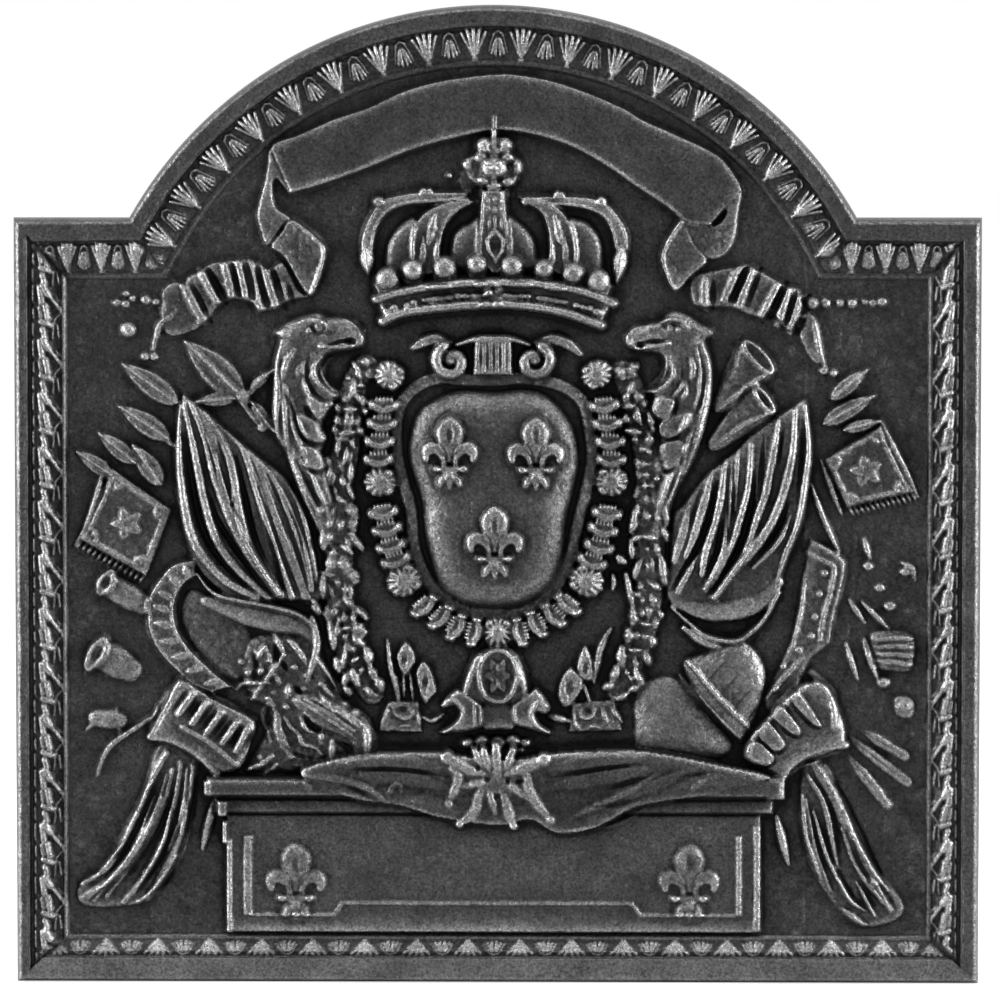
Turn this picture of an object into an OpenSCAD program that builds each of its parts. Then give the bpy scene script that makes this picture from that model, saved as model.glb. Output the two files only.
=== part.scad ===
// Cast-iron fireback with an arched top: a moulded plate that carries a crowned coat of arms,
// two eagles, draped flags, trophies of arms, a motto ribbon and a plinth.
// The back lies in the plane y = 0, the front faces -Y, and the foot stands on z = 0.

/* [Plate] */
// Overall width across the shoulders
plate_w = 967; // [900:1:1040]
// Overall height to the top of the arch
plate_h = 980; // [915:1:1050]
// Thickness of the field between the mouldings
field_t = 20; // [14:1:30]
// Radius of the arched top
arch_r = 417.5; // [404:0.5:424]
// Height of the two shoulders
shoulder_h = 768; // [748:1:780]

/* [Mouldings] */
// Width of the moulding down each side
side_w = 54; // [48:1:58]
// Width of the moulding along the foot
foot_w = 49; // [42:1:54]
// Width of the moulding on the shoulders
shoulder_w = 62; // [54:1:66]
// Width of the moulding round the arch
arch_w = 62; // [54:1:66]
// Width of the plain outer strip
fascia_w = 17; // [12:1:22]
// Width of the thin strip along the inner edge
fillet_w = 5; // [3:0.5:8]
// How far the outer strip stands above the field
rim_rise = 14; // [10:1:20]
// How far the leaves' channel stands above the field
channel_rise = 5; // [3:0.5:8]
// Slope of the cast outer edge, measured across it
draft = 3; // [1:0.5:5]
// Spacing of the leaves along the sides
side_pitch = 54; // [45:1:64]
// Spacing of the leaves along the arch, shoulders and foot
leaf_pitch = 26; // [20:1:34]
// Height of a leaf above its channel
leaf_rise = 6; // [3:0.5:9]

/* [Relief] */
// Height of the lowest ornaments above the field
low = 8; // [5:0.5:12]
// Height of the flags, trophies and collars
mid_rise = 14; // [10:0.5:18]
// Height of the eagles, the shield and the crown's straps
high = 20; // [16:0.5:26]
// Height that folds, feathers and ribs add to the form they lie on
fold = 5; // [2:0.5:8]
// Gap between one ornament and its neighbour
seam = 0.4; // [0.2:0.1:1]

/* [Ribbon] */
// Width of the motto ribbon
ribbon_w = 58; // [48:1:66]
// Distance from the arch's moulding to the ribbon
ribbon_gap = 10; // [8:1:20]
// Thickness of the ribbon above the field
ribbon_t = 9; // [6:0.5:12]
// Width of the raised edge of the ribbon
hem_w = 4; // [2:0.5:6]

/* [Shield and collars] */
// Radius of a scallop shell on the collar
shell_r = 15.5; // [13:0.5:17]
// Length of a collar link across the chain
link_l = 28; // [22:1:32]
// Width of a collar link along the chain
link_w = 11; // [7:0.5:12]
// Width of the frame round the shield
frame_w = 9; // [6:0.5:12]
// Radius of the medallion
medal_r = 30; // [26:0.5:32]
// Reach of the hanging cross from its centre to a tip
cross_r = 54; // [44:1:58]

/* [Plinth] */
// Height of the plinth's top slab
slab_h = 25; // [18:1:32]
// Height of the plinth's body under the slab
body_h = 120; // [100:1:130]
// Width of the plinth's body
body_w = 537; // [500:1:560]
// How far the slab stands out past the body at each end
slab_over = 22; // [12:1:28]
// How far the plinth's body stands out from the field
body_rise = 12; // [8:0.5:18]
// How far the slab stands out from the field
slab_rise = 22; // [18:0.5:28]

/* [Hidden] */

iron = [0.25, 0.25, 0.26];
iron_field = [0.17, 0.17, 0.18];
iron_rim = [0.34, 0.34, 0.35];
$fn = 48;

// The outlines below are drawn full size on a sheet: u runs to the right and v down, in
// millimetres, and at() carries a point of the sheet to the plate.
sheet = [967, 980];
sheet_mid = 497;
sheet_foot = 986;
arch_off = -4.4;
k = min(plate_w / sheet[0], plate_h / sheet[1]);
function at(u, v) = [(u - sheet_mid) * plate_w / sheet[0], (sheet_foot - v) * plate_h / sheet[1]];
function on(pts) = [for (p = pts) at(p[0], p[1])];

arch_x = arch_off * plate_w / sheet[0];
arch_z = plate_h - arch_r;
half_w = plate_w / 2;

function unit(v) = v / max(norm(v), 1e-6);
function side(v) = [-v[1], v[0]];
function polar(r, a) = [r * cos(a), r * sin(a)];
function lead(path, i) =
    unit(path[min(i + 1, len(path) - 1)] - path[max(i - 1, 0)]);
function centre(pts) = [for (j = [0, 1]) (max([for (p = pts) p[j]]) + min([for (p = pts) p[j]])) / 2];
function ring_faces(n, rings) = [
    for (i = [0 : rings - 2], j = [0 : n - 1])
        let (a = i * n + j, b = i * n + (j + 1) % n)
        each [[a, b, b + n], [a, b + n, a + n]]
];

// Stands the drawing up on the plate's face: drawing y is up, drawing z comes forward.
module stood(from = field_t) rotate([90, 0, 0]) translate([0, 0, from]) children();

// A flat raised piece with the given outline.
module slab(pts, rise) linear_extrude(rise) polygon(on(pts));

// A ridge along a path on the drawing, thinner towards the ends by the shares given: rounded where
// it is wide, keen where it is a narrow stroke.
rounded = [[-1, 0], [-0.62, 0.72], [0, 1], [0.62, 0.72], [1, 0]];
keen = [[-1, 0], [0, 1], [1, 0]];
stroke_w = 4;
module ridge(pts, w, rise, ends = [0.5, 0.5], base = 0) {
    path = on(pts);
    n = len(path);
    section = w > stroke_w ? rounded : keen;
    points = [
        for (i = [0 : n - 1])
            let (
                s = i / (n - 1),
                f = min(1, ends[0] + (1 - ends[0]) * s * 3, ends[1] + (1 - ends[1]) * (1 - s) * 3),
                across = side(lead(path, i)) * w * k * f
            )
            for (q = section)
                [path[i][0] + across[0] * q[0], path[i][1] + across[1] * q[0], base + rise * q[1] * f]
    ];
    m = len(section);
    polyhedron(points, concat(
        [[for (j = [m - 1 : -1 : 0]) j]],
        ring_faces(m, n),
        [[for (j = [0 : m - 1]) (n - 1) * m + j]]
    ));
}

// Twice the signed area of an outline: positive when it runs anticlockwise.
function turn(p) = [for (i = [0 : len(p) - 1])
    let (q = p[(i + 1) % len(p)]) p[i][0] * q[1] - q[0] * p[i][1]] * [for (q = p) 1];
function clockwise(p) = turn(p) < 0 ? p : [for (i = [len(p) - 1 : -1 : 0]) p[i]];

// A domed form over an outline: copies of the outline drawn in towards its middle as they rise.
module dome(pts, rise, top = 0.4, base = 0, steps = [[1, 0], [0.94, 0.55], [0.74, 0.88]]) {
    path = clockwise(on(pts));
    n = len(path);
    c = centre(path);
    rings = concat(steps, [[top, 1]]);
    last = (len(rings) - 1) * n;
    points = concat(
        [
            for (r = rings) for (p = path)
                [c[0] + (p[0] - c[0]) * r[0], c[1] + (p[1] - c[1]) * r[0], base + rise * r[1]]
        ],
        [[c[0], c[1], base], [c[0], c[1], base + rise]]
    );
    polyhedron(points, concat(
        [for (j = [0 : n - 1]) [(j + 1) % n, j, last + n]],
        ring_faces(n, len(rings)),
        [for (j = [0 : n - 1]) [last + j, last + (j + 1) % n, last + n + 1]]
    ));
}

// A flat leaf with a raised midrib, from its foot to its tip.
module leaf(foot, tip, w, rise, base = 0) {
    a = at(foot[0], foot[1]);
    b = at(tip[0], tip[1]);
    leaf_at(a, b, w * k, rise, base);
}
module leaf_at(a, b, w, rise, base = 0) {
    across = side(unit(b - a)) * w;
    waist = a + (b - a) * 0.4;
    crest = a + (b - a) * 0.55;
    outline = [a - across * 0.35, a + across * 0.35, waist + across, b, waist - across];
    points = concat(
        [for (p = outline) [p[0], p[1], base]],
        [[a[0], a[1], base + rise * 0.6], [crest[0], crest[1], base + rise]]
    );
    polyhedron(points, [
        [4, 3, 2, 1, 0], [0, 1, 5], [1, 2, 5], [2, 6, 5], [2, 3, 6], [3, 4, 6], [4, 5, 6], [4, 0, 5]
    ]);
}
// A cut leaf: three lobes down each side, given as shares of its length and half width.
lobes = [[0.12, 0.8], [0.26, 0.56], [0.44, 1], [0.58, 0.58], [0.74, 0.64]];
module cut_leaf(a, b, w, rise, base = 0) {
    across = side(unit(b - a)) * w;
    function edge(q, s) = a + (b - a) * q[0] + across * q[1] * s;
    outline = concat(
        [edge([0, 0.3], -1), edge([0, 0.3], 1)], [for (q = lobes) edge(q, 1)], [b],
        [for (i = [len(lobes) - 1 : -1 : 0]) edge(lobes[i], -1)]
    );
    n = len(outline);
    crest = a + (b - a) * 0.46;
    points = concat(
        [for (p = outline) [p[0], p[1], base]],
        [[a[0], a[1], base + rise * 0.5], [crest[0], crest[1], base + rise]]
    );
    polyhedron(points, concat(
        [concat([1, 0], [for (j = [n - 1 : -1 : 2]) j])],
        [[0, 1, n], [1, n + 1, n], [n + 1, 0, n]],
        [for (j = [1 : n - 1]) [j, (j + 1) % n, n + 1]]
    ));
}

// A round-topped bead with a flat seat, lifted on a short neck where base is given.
module bead(u, v, r, base = 0) {
    p = at(u, v);
    translate([p[0], p[1], 0]) {
        if (base > 0) cylinder(h = base, r = r * k);
        translate([0, 0, base]) rotate_extrude() intersection() {
            circle(r * k);
            square(r * k);
        }
    }
}
module spot(u, v, r) {
    p = at(u, v);
    translate(p) circle(r * k);
}
// A round ring with a half-round section.
module torus(u, v, r, thick, base = 0) {
    p = at(u, v);
    translate([p[0], p[1], base]) rotate_extrude() translate([r * k, 0]) intersection() {
        circle(thick * k, $fn = 24);
        translate([-thick * k, 0]) square([2 * thick * k, thick * k]);
    }
}
// Keeps what is carved inside the first child's outline, less the outlines given after it.
module carved() intersection() {
    linear_extrude(90) children(0);
    children(1);
}
// Takes the second child's outlines out of the first child all the way up.
module cleared() difference() {
    children(0);
    translate([0, 0, -1]) linear_extrude(90) children(1);
}
// An outline on the drawing, and the same outline with the seam round it for its neighbours to clear.
module print(pts) polygon(on(pts));
module clear() offset(delta = seam) children();

// Plate and mouldings.
module plate_face() {
    translate([-half_w, 0]) square([plate_w, shoulder_h]);
    translate([arch_x, arch_z]) circle(arch_r, $fn = 180);
}
module plate() color(iron_field) rotate([90, 0, 0]) linear_extrude(field_t) plate_face();

// Section of a moulding: distance in from the outer edge, height above the field.
function moulding(w) = [
    [0, 0], [draft, rim_rise], [fascia_w - 2, rim_rise], [fascia_w, rim_rise + 1.5],
    [fascia_w + 2, rim_rise], [fascia_w + 3, channel_rise], [w - fillet_w - 1, channel_rise],
    [w - fillet_w, rim_rise - 2], [w - 1, rim_rise - 2], [w, 0]
];
// Straight run of a moulding along +X, its outer edge on the line y = 0 and its width towards -Y.
module run(w, length) translate([-length / 2, 0, 0])
    rotate([90, 0, 90]) mirror([1, 0, 0]) linear_extrude(length) polygon(moulding(w));

// Corners of the mitres: outer and inner corner at each meeting of two mouldings.
function arch_at(r, z) = sqrt(max(r * r - pow(z - arch_z, 2), 1));
inner_r = arch_r - arch_w;
inner_shoulder = shoulder_h - shoulder_w;
foot_out = [half_w, 0];
foot_in = [half_w - side_w, foot_w];
top_out = [half_w, shoulder_h];
top_in = [half_w - side_w, inner_shoulder];
function mitre_out(s) = [arch_x + s * arch_at(arch_r, shoulder_h), shoulder_h];
function mitre_in(s) = [arch_x + s * arch_at(inner_r, inner_shoulder), inner_shoulder];
function flip(p, s) = [s * p[0], p[1]];

module border_side(s) color(iron_rim) stood() intersection() {
    translate([s * half_w, shoulder_h / 2]) rotate(-90 * s) run(side_w, plate_h * 1.2);
    linear_extrude(60) polygon([flip(foot_out, s), flip(foot_in, s), flip(top_in, s), flip(top_out, s)]);
}
module border_left() border_side(-1);
module border_right() border_side(1);
module border_foot() color(iron_rim) stood() intersection() {
    rotate(180) run(foot_w, plate_w * 1.2);
    linear_extrude(60) polygon([flip(foot_out, -1), flip(foot_in, -1), foot_in, foot_out]);
}
module border_shoulder(s) color(iron_rim) stood() intersection() {
    translate([s * half_w, shoulder_h]) run(shoulder_w, plate_w);
    linear_extrude(60) polygon([flip(top_out, s), flip(top_in, s), mitre_in(s), mitre_out(s)]);
}
module border_shoulder_left() border_shoulder(-1);
module border_shoulder_right() border_shoulder(1);
module border_arch() color(iron_rim) stood() intersection() {
    translate([arch_x, arch_z]) rotate_extrude($fn = 180)
        translate([arch_r, 0]) mirror([1, 0]) polygon(moulding(arch_w));
    linear_extrude(60) polygon([
        mitre_in(-1), mitre_out(-1), [-half_w, plate_h], [-half_w, plate_h * 1.1],
        [half_w, plate_h * 1.1], [half_w, plate_h], mitre_out(1), mitre_in(1)
    ]);
}

// Leaves cast in the channels: each row has its own spacing, fitted to a whole number of leaves.
module channel_leaf(p, a, length, w) {
    leaf_at(p - polar(length / 2, a), p + polar(length / 2, a), w, leaf_rise, channel_rise);
}
module channel_cut_leaf(p, a, length, w) {
    cut_leaf(p - polar(length / 2, a), p + polar(length / 2, a), w, leaf_rise, channel_rise);
}
channel_in = fascia_w + 4;
module side_leaves(s) color(iron_rim) stood() {
    count = floor((inner_shoulder - foot_w) / side_pitch);
    pitch = (inner_shoulder - foot_w) / count;
    band = side_w - fillet_w - channel_in;
    for (i = [0 : count - 1]) {
        z = foot_w + pitch * (i + 0.5);
        x = half_w - channel_in;
        channel_cut_leaf([s * (x - band * 0.44), z], 90, pitch * 0.96, band * 0.27);
        channel_leaf([s * (x - band * 0.85), z - pitch * 0.12], 90 + s * 14, pitch * 0.46, band * 0.12);
        channel_leaf([s * (x - band * 0.09), z + pitch * 0.22], 90, pitch * 0.4, band * 0.09);
        channel_leaf([s * (x - band * 0.09), z - pitch * 0.26], 90, pitch * 0.4, band * 0.09);
    }
}
module leaves_left() side_leaves(-1);
module leaves_right() side_leaves(1);
module leaves_foot() color(iron_rim) stood() {
    reach = 2 * (half_w - side_w);
    count = floor(reach / leaf_pitch);
    pitch = reach / count;
    band = foot_w - fillet_w - channel_in;
    for (i = [0 : count - 1])
        channel_cut_leaf([pitch * (i + 0.5) - reach / 2, channel_in + band / 2], 90, band * 0.96, pitch * 0.47);
}
module leaves_shoulders() color(iron_rim) stood() {
    band = shoulder_w - fillet_w - channel_in;
    z = shoulder_h - channel_in - band / 2;
    for (s = [-1, 1]) {
        from = half_w - side_w;
        to = abs(mitre_out(s)[0] + mitre_in(s)[0]) / 2 + band * 0.45;
        count = floor((from - to) / leaf_pitch);
        pitch = (from - to) / count;
        for (i = [0 : count - 1])
            channel_cut_leaf([s * (to + pitch * (i + 0.5)), z], 90, band * 0.94, pitch * 0.46);
    }
}
module leaves_arch() color(iron_rim) stood() {
    band = arch_w - fillet_w - channel_in;
    r = arch_r - channel_in - band / 2;
    low_a = asin((shoulder_h - arch_z) / r) - 3;
    count = floor((180 - 2 * low_a) * PI * r / 180 / leaf_pitch);
    step = (180 - 2 * low_a) / count;
    for (i = [0 : count - 1]) {
        a = low_a + step * (i + 0.5);
        channel_cut_leaf([arch_x, arch_z] + polar(r, a), a, band * 0.94, leaf_pitch * 0.37);
        channel_leaf([arch_x, arch_z] + polar(r + band * 0.2, a + step / 2), a + step / 2 + 180,
            band * 0.5, leaf_pitch * 0.14);
    }
}

// Ribbon.
ribbon_r = inner_r - ribbon_gap;
ribbon_left = 128.6;
ribbon_right = 43;
function ribbon_point(r, a) = [arch_x, arch_z] + polar(r, a);
module ribbon_print() intersection() {
    translate([arch_x, arch_z]) difference() {
        circle(ribbon_r, $fn = 120);
        circle(ribbon_r - ribbon_w, $fn = 120);
    }
    polygon([
        [arch_x, arch_z], ribbon_point(plate_h, ribbon_left), [arch_x, arch_z + plate_h * 2],
        ribbon_point(plate_h, ribbon_right)
    ]);
}
module ribbon_band() color(iron) stood() intersection() {
    translate([arch_x, arch_z]) rotate_extrude($fn = 120) translate([ribbon_r - ribbon_w, 0]) polygon([
        [0, 0], [0, ribbon_t], [hem_w, ribbon_t], [hem_w + 1, ribbon_t - 2],
        [ribbon_w - hem_w - 1, ribbon_t - 2], [ribbon_w - hem_w, ribbon_t], [ribbon_w, ribbon_t], [ribbon_w, 0]
    ]);
    linear_extrude(60) difference() {
        polygon([
            [arch_x, arch_z], ribbon_point(plate_h, ribbon_left), [arch_x, arch_z + plate_h * 2],
            ribbon_point(plate_h, ribbon_right)
        ]);
        clear() finial_print();
    }
}
// The ribbon's folded tails follow its ends when the arch changes.
function tail_shift(a, drawn) = ribbon_point(ribbon_r, a) - at(drawn[0], drawn[1]);
fall_l = [[269, 152], [263, 182], [257, 212], [268, 246], [284, 258], [312, 298], [329, 256], [321, 240],
    [296, 222], [284, 232], [284, 196]];
tail_l = [[162, 288], [185, 283], [200, 270], [216, 262], [246, 259], [262, 262], [273, 250], [286, 262],
    [312, 298], [290, 303], [262, 312], [235, 302], [204, 324], [180, 309], [165, 319], [160, 300]];
// The tasselled ends of the cords stand beyond the tails as round drops.
drops_l = [[117, 303, 5], [126, 293, 4], [134, 300, 4], [146, 300, 6], [128, 330, 9], [144, 357, 5],
    [156, 357, 5]];
module ribbon_tail_left() color(iron) stood() translate(tail_shift(ribbon_left, [270, 152])) {
    for (b = drops_l) bead(b[0], b[1], b[2]);
    carved() {
        difference() {
            union() {
                print(fall_l);
                print(tail_l);
            }
            translate(-tail_shift(ribbon_left, [270, 152])) {
                clear() ribbon_print();
                clear() eagle_l_print();
                clear() crown_print();
            }
        }
        union() {
            slab(tail_l, low);
            slab(fall_l, low);
            ridge([[296, 222], [319, 239], [327, 256], [311, 297]], 4, fold, base = low - 0.5);
            ridge([[262, 185], [259, 212], [269, 243]], 4, fold, base = low - 0.5);
            for (f = [[[184, 285], [203, 323]], [[200, 271], [216, 303]], [[225, 265], [233, 297]],
                      [[247, 262], [259, 308]], [[265, 268], [277, 307]], [[282, 270], [295, 300]]])
                ridge([f[0], (f[0] + f[1]) / 2 + [-2, 2], f[1]], 5, fold, base = low - 0.5);
        }
    }
}
fall_r = [[742, 192], [738, 218], [736, 238], [724, 256], [708, 260], [694, 280], [676, 293], [661, 252],
    [680, 220], [706, 240], [722, 226], [728, 205]];
tail_r = [[677, 293], [692, 276], [714, 268], [736, 266], [752, 265], [781, 281], [802, 294], [800, 316],
    [812, 320], [821, 352], [808, 350], [788, 332], [771, 315], [760, 320], [726, 309], [698, 309]];
drops_r = [[826, 303, 6], [839, 303, 5], [851, 303, 5.5], [863, 302, 4.5], [873, 303, 4], [883, 302, 5],
    [822, 372, 5], [834, 373, 5]];
module ribbon_tail_right() color(iron) stood() translate(tail_shift(ribbon_right, [741, 191])) {
    for (b = drops_r) bead(b[0], b[1], b[2]);
    carved() {
        difference() {
            union() {
                print(fall_r);
                print(tail_r);
            }
            translate(-tail_shift(ribbon_right, [741, 191])) {
                clear() ribbon_print();
                clear() eagle_r_print();
                clear() crown_print();
                clear() print(horn_r);
            }
        }
        union() {
            slab(tail_r, low);
            slab(fall_r, low);
            ridge([[681, 222], [663, 252], [675, 290]], 4, fold, base = low - 0.5);
            ridge([[738, 200], [736, 222], [727, 250]], 4, fold, base = low - 0.5);
            for (f = [[[704, 273], [704, 306]], [[722, 268], [718, 306]], [[738, 268], [728, 306]],
                      [[757, 270], [747, 313]], [[777, 282], [763, 317]], [[790, 290], [777, 322]],
                      [[800, 300], [790, 332]]])
                ridge([f[0], (f[0] + f[1]) / 2 + [2, 2], f[1]], 5, fold, base = low - 0.5);
        }
    }
}

// Crown.
circlet = [[377, 297], [401, 290], [442, 283], [493, 280], [544, 282], [585, 289], [612, 298], [612, 326],
    [564, 315], [524, 308], [483, 306], [432, 310], [401, 317], [380, 326]];
strap_ol = [[462, 192], [428, 196], [401, 196], [377, 202], [364, 220], [360, 250], [364, 271], [376, 273],
    [378, 247], [385, 214], [401, 206], [432, 203], [456, 200]];
strap_il = [[471, 204], [452, 204], [425, 218], [414, 235], [413, 254], [428, 274], [440, 252], [445, 228],
    [456, 216], [471, 210]];
strap_c = [[482, 196], [479, 250], [495, 273], [510, 250], [504, 196]];
strap_ir = [[511, 206], [530, 217], [542, 232], [548, 252], [559, 274], [574, 254], [566, 231], [556, 216],
    [538, 205], [514, 202]];
strap_or = [[520, 192], [554, 196], [585, 196], [606, 202], [622, 218], [628, 250], [622, 273], [608, 284],
    [610, 250], [602, 214], [588, 206], [562, 203], [530, 198]];
straps = [strap_ol, strap_il, strap_c, strap_ir, strap_or];
// The raised rims along each strap.
strap_rims = [
    [[[454, 195], [428, 198], [400, 199], [379, 205], [367, 222], [363, 250], [366, 268]],
     [[450, 202], [430, 203], [402, 205], [385, 213], [378, 230], [375, 252]]],
    [[[464, 205], [450, 207], [426, 220], [417, 236], [416, 253], [427, 270]],
     [[469, 209], [455, 214], [443, 228], [438, 252], [430, 268]]],
    [[[485, 199], [482, 249], [493, 268]], [[501, 199], [506, 249], [497, 268]]],
    [[[516, 204], [538, 208], [554, 219], [563, 233], [571, 254], [561, 270]],
     [[514, 207], [530, 219], [541, 234], [551, 252], [557, 268]]],
    [[[532, 195], [554, 197], [585, 199], [604, 205], [619, 220], [625, 250], [619, 271]],
     [[536, 201], [562, 203], [589, 205], [603, 213], [611, 232], [612, 252]]]
];
pearls = [[387, 276, 11], [412, 270, 10.5], [445, 267, 10.5], [476, 264, 10.5], [511, 265, 10.5],
    [544, 268, 10], [573, 271, 10], [597, 279, 10.5]];
crown_l = [[359, 196], [470, 188], [530, 188], [630, 196], [632, 286], [614, 300], [614, 328], [524, 312],
    [376, 330], [376, 300], [357, 275]];
module crown_print() print(crown_l);
module straps_print() for (p = straps) print(p);
module pearls_print() for (p = pearls) spot(p[0], p[1], p[2]);
module finial_print() {
    spot(496, 149, 15);
    print([[488, 150], [494, 112], [498, 112], [505, 150]]);
    spot(493, 169, 15);
    print([[466, 158], [522, 158], [522, 174], [466, 174]]);
    print([[484, 160], [503, 160], [508, 190], [480, 190]]);
}
module crown_circlet() color(iron_rim) stood() carved() {
    difference() {
        print(circlet);
        clear() pearls_print();
        clear() straps_print();
    }
    union() {
        slab(circlet, high - 3);
        ridge([[377, 297], [401, 290], [442, 283], [493, 280], [544, 282], [585, 289], [612, 298]], 4, fold,
            [1, 1], high - 3.5);
        ridge([[380, 324], [401, 314], [432, 307], [483, 303], [524, 305], [564, 312], [612, 323]], 5, fold + 1,
            [1, 1], high - 3.5);
    }
}
module crown_jewels() color(iron) stood(field_t + high - 3)
    for (j = [[389, 306, 4], [411, 300, 4], [436, 295, 5], [462, 293, 4], [492, 291, 5.5], [524, 292.5, 4],
              [547, 295, 5], [567, 299, 4], [590, 304, 4]])
        bead(j[0], j[1], j[2]);
module crown_straps() color(iron_rim) stood() for (i = [0 : 4]) carved() {
    difference() {
        print(straps[i]);
        clear() pearls_print();
        clear() finial_print();
    }
    union() {
        slab(straps[i], high - 3);
        for (q = strap_rims[i]) ridge(q, 2.8, fold, [1, 1], high - 3.5);
        if (i == 1) leaf([426, 266], [429, 222], 4.5, fold, high - 3.5);
        if (i == 3) leaf([561, 266], [555, 222], 4.5, fold, high - 3.5);
        if (i == 2) dome([[495, 228], [504, 243], [495, 262], [486, 243]], fold, 0.5, high - 3.5, [[1, 0]]);
    }
}
cap_lobes = [
    [[386, 268], [388, 235], [396, 218], [408, 212], [414, 232], [412, 262]],
    [[447, 262], [446, 235], [458, 220], [474, 212], [480, 232], [478, 262]],
    [[512, 262], [511, 230], [520, 214], [536, 226], [542, 248], [542, 262]],
    [[575, 266], [574, 240], [570, 222], [584, 212], [598, 226], [604, 262]],
    [[418, 268], [416, 262], [414, 258], [428, 270], [442, 258], [440, 268]],
    [[553, 268], [550, 262], [550, 256], [559, 272], [572, 258], [568, 268]]
];
module crown_cap() color(iron_field) stood() carved() {
    difference() {
        print([[380, 285], [372, 250], [384, 214], [402, 204], [436, 202], [470, 200], [520, 200], [560, 203],
            [590, 205], [606, 216], [616, 250], [606, 287], [544, 279], [493, 277], [442, 280], [401, 287]]);
        clear() straps_print();
        clear() pearls_print();
        clear() finial_print();
        clear() print(circlet);
    }
    union() {
        slab([[360, 290], [360, 195], [630, 195], [630, 290]], low);
        for (p = [for (i = [0 : 3]) cap_lobes[i]]) dome(p, mid_rise - low + 2, base = low - 0.5);
    }
}
module crown_pearls() color(iron_rim) stood() for (p = pearls) bead(p[0], p[1], p[2], high - 6);
module crown_finial() color(iron_rim) stood() carved() {
    finial_print();
    union() {
        linear_extrude(mid_rise) finial_print();
        for (b = [[483, 149, 6], [508, 149, 6], [496, 142, 7], [470, 166, 6], [517, 166, 6], [493, 169, 11]])
            bead(b[0], b[1], b[2], mid_rise - 1);
        ridge([[496, 140], [496, 126], [496, 113]], 4, fold, base = mid_rise - 0.5);
    }
}

// Shield.
shield_mid = [494, 500];
shield_l = [[494, 391], [523, 388], [546, 394], [563, 409], [576, 430], [580, 462], [574, 492], [567, 525],
    [561, 562], [550, 588], [523, 606], [494, 610], [463, 606], [440, 591], [429, 560], [421, 520], [414, 486],
    [408, 460], [410, 434], [419, 411], [437, 397], [459, 388]];
// The shield's outline pushed out from its middle, for the frame round it.
function around(d) = [for (p = shield_l) p + unit(p - shield_mid) * d];
frame_mid = 5 + frame_w / 2;
module shield() color(iron) stood()
    dome(shield_l, high, 0.86, steps = [[1, 0], [0.985, 0.45], [0.94, 0.8]]);
// One lily: middle petal, two curled side petals, the band and the spread foot.
drop = [[0, -31], [7, -25], [12.5, -17], [13.5, -9], [10, 0], [5, 8], [4, 19], [-4, 19], [-5, 8], [-10, 0],
    [-13.5, -9], [-12.5, -17], [-7, -25]];
module lily(u, v, size, base, rise) {
    s = size;
    function place(p) = [u + p[0] * s, v + p[1] * s];
    module petal(s_of) {
        ridge([place([s_of * 3, 18]), place([s_of * 6, 8]), place([s_of * 13, 1]), place([s_of * 21, 1]),
            place([s_of * 24, 8]), place([s_of * 22.5, 14])], 5.6 * s, rise * 0.85, [0.5, 0.8], base);
        ridge([place([s_of * 3, 26]), place([s_of * 6, 34]), place([s_of * 11, 39])], 3.6 * s,
            rise * 0.6, [0.6, 0.5], base);
        knob = place([s_of * 13.5, 22]);
        bead(knob[0], knob[1], 4.2 * s, base);
    }
    union() {
        dome([for (p = drop) place(p)], rise, 0.25, base, [[1, 0], [0.82, 0.6]]);
        petal(-1);
        petal(1);
        ridge([place([-13, 22]), place([13, 22])], 4 * s, rise * 0.9, [1, 1], base);
        ridge([place([0, 24]), place([0, 43])], 4 * s, rise * 0.7, [0.8, 0.4], base);
    }
}
lily_places = [[450, 445, 1], [536, 446, 1], [495, 535, 1]];
module shield_lilies() color(iron_rim) stood(field_t + high)
    for (p = lily_places) lily(p[0], p[1], p[2], 0, fold + 3);
module frame_print() difference() {
    print(around(frame_mid + frame_w / 2 + 0.5));
    print(around(frame_mid - frame_w / 2 - 0.5));
}
module volutes_print() {
    spot(450, 361, 19);
    spot(536, 361, 19);
    print([[466, 338], [522, 338], [522, 378], [466, 378]]);
    print([[414, 347], [440, 335], [450, 344], [440, 352], [420, 356]]);
    print([[572, 353], [548, 335], [538, 344], [546, 352], [566, 358]]);
}
module shield_frame() color(iron_rim) stood() intersection() {
    linear_extrude(60) difference() {
        frame_print();
        clear() volutes_print();
    }
    difference() {
        dome(around(frame_mid + frame_w / 2 + 0.5), mid_rise, 0.93, steps = [[1, 0], [0.98, 0.75]]);
        translate([0, 0, -1]) linear_extrude(60) print(around(frame_mid - frame_w / 2 - 0.5));
    }
}
// A scroll: a ridge wound in from its outer turn by a steady step.
module scroll(u, v, r, turn_way, start, turns = 1.6, rise = mid_rise) {
    steps = 15;
    ridge([for (i = [0 : steps])
        let (t = i / steps, a = start + turn_way * 360 * turns * t, rr = r * (1 - 0.72 * t))
        [u + rr * cos(a), v + rr * sin(a)]], r * 0.2, rise * 0.5, [0.7, 0.5], rise * 0.5);
}
module shield_volutes() color(iron_rim) stood() carved() {
    volutes_print();
    union() {
        linear_extrude(mid_rise * 0.6) volutes_print();
        scroll(450, 361, 15, -1, -60);
        scroll(536, 361, 15, 1, 240);
        dome([[474, 338], [514, 338], [510, 376], [478, 376]], mid_rise + 2, 0.7);
        ridge([[418, 351], [432, 343], [446, 343]], 5, fold, base = mid_rise * 0.6 - 0.5);
        ridge([[568, 355], [552, 344], [540, 343]], 5, fold, base = mid_rise * 0.6 - 0.5);
    }
}

// Collars.
shells = [[389, 374, 35], [380, 481, 90], [402, 580, 122], [497, 629, 180], [588, 582, 238], [611, 481, 270],
    [598, 374, -35]];
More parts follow.
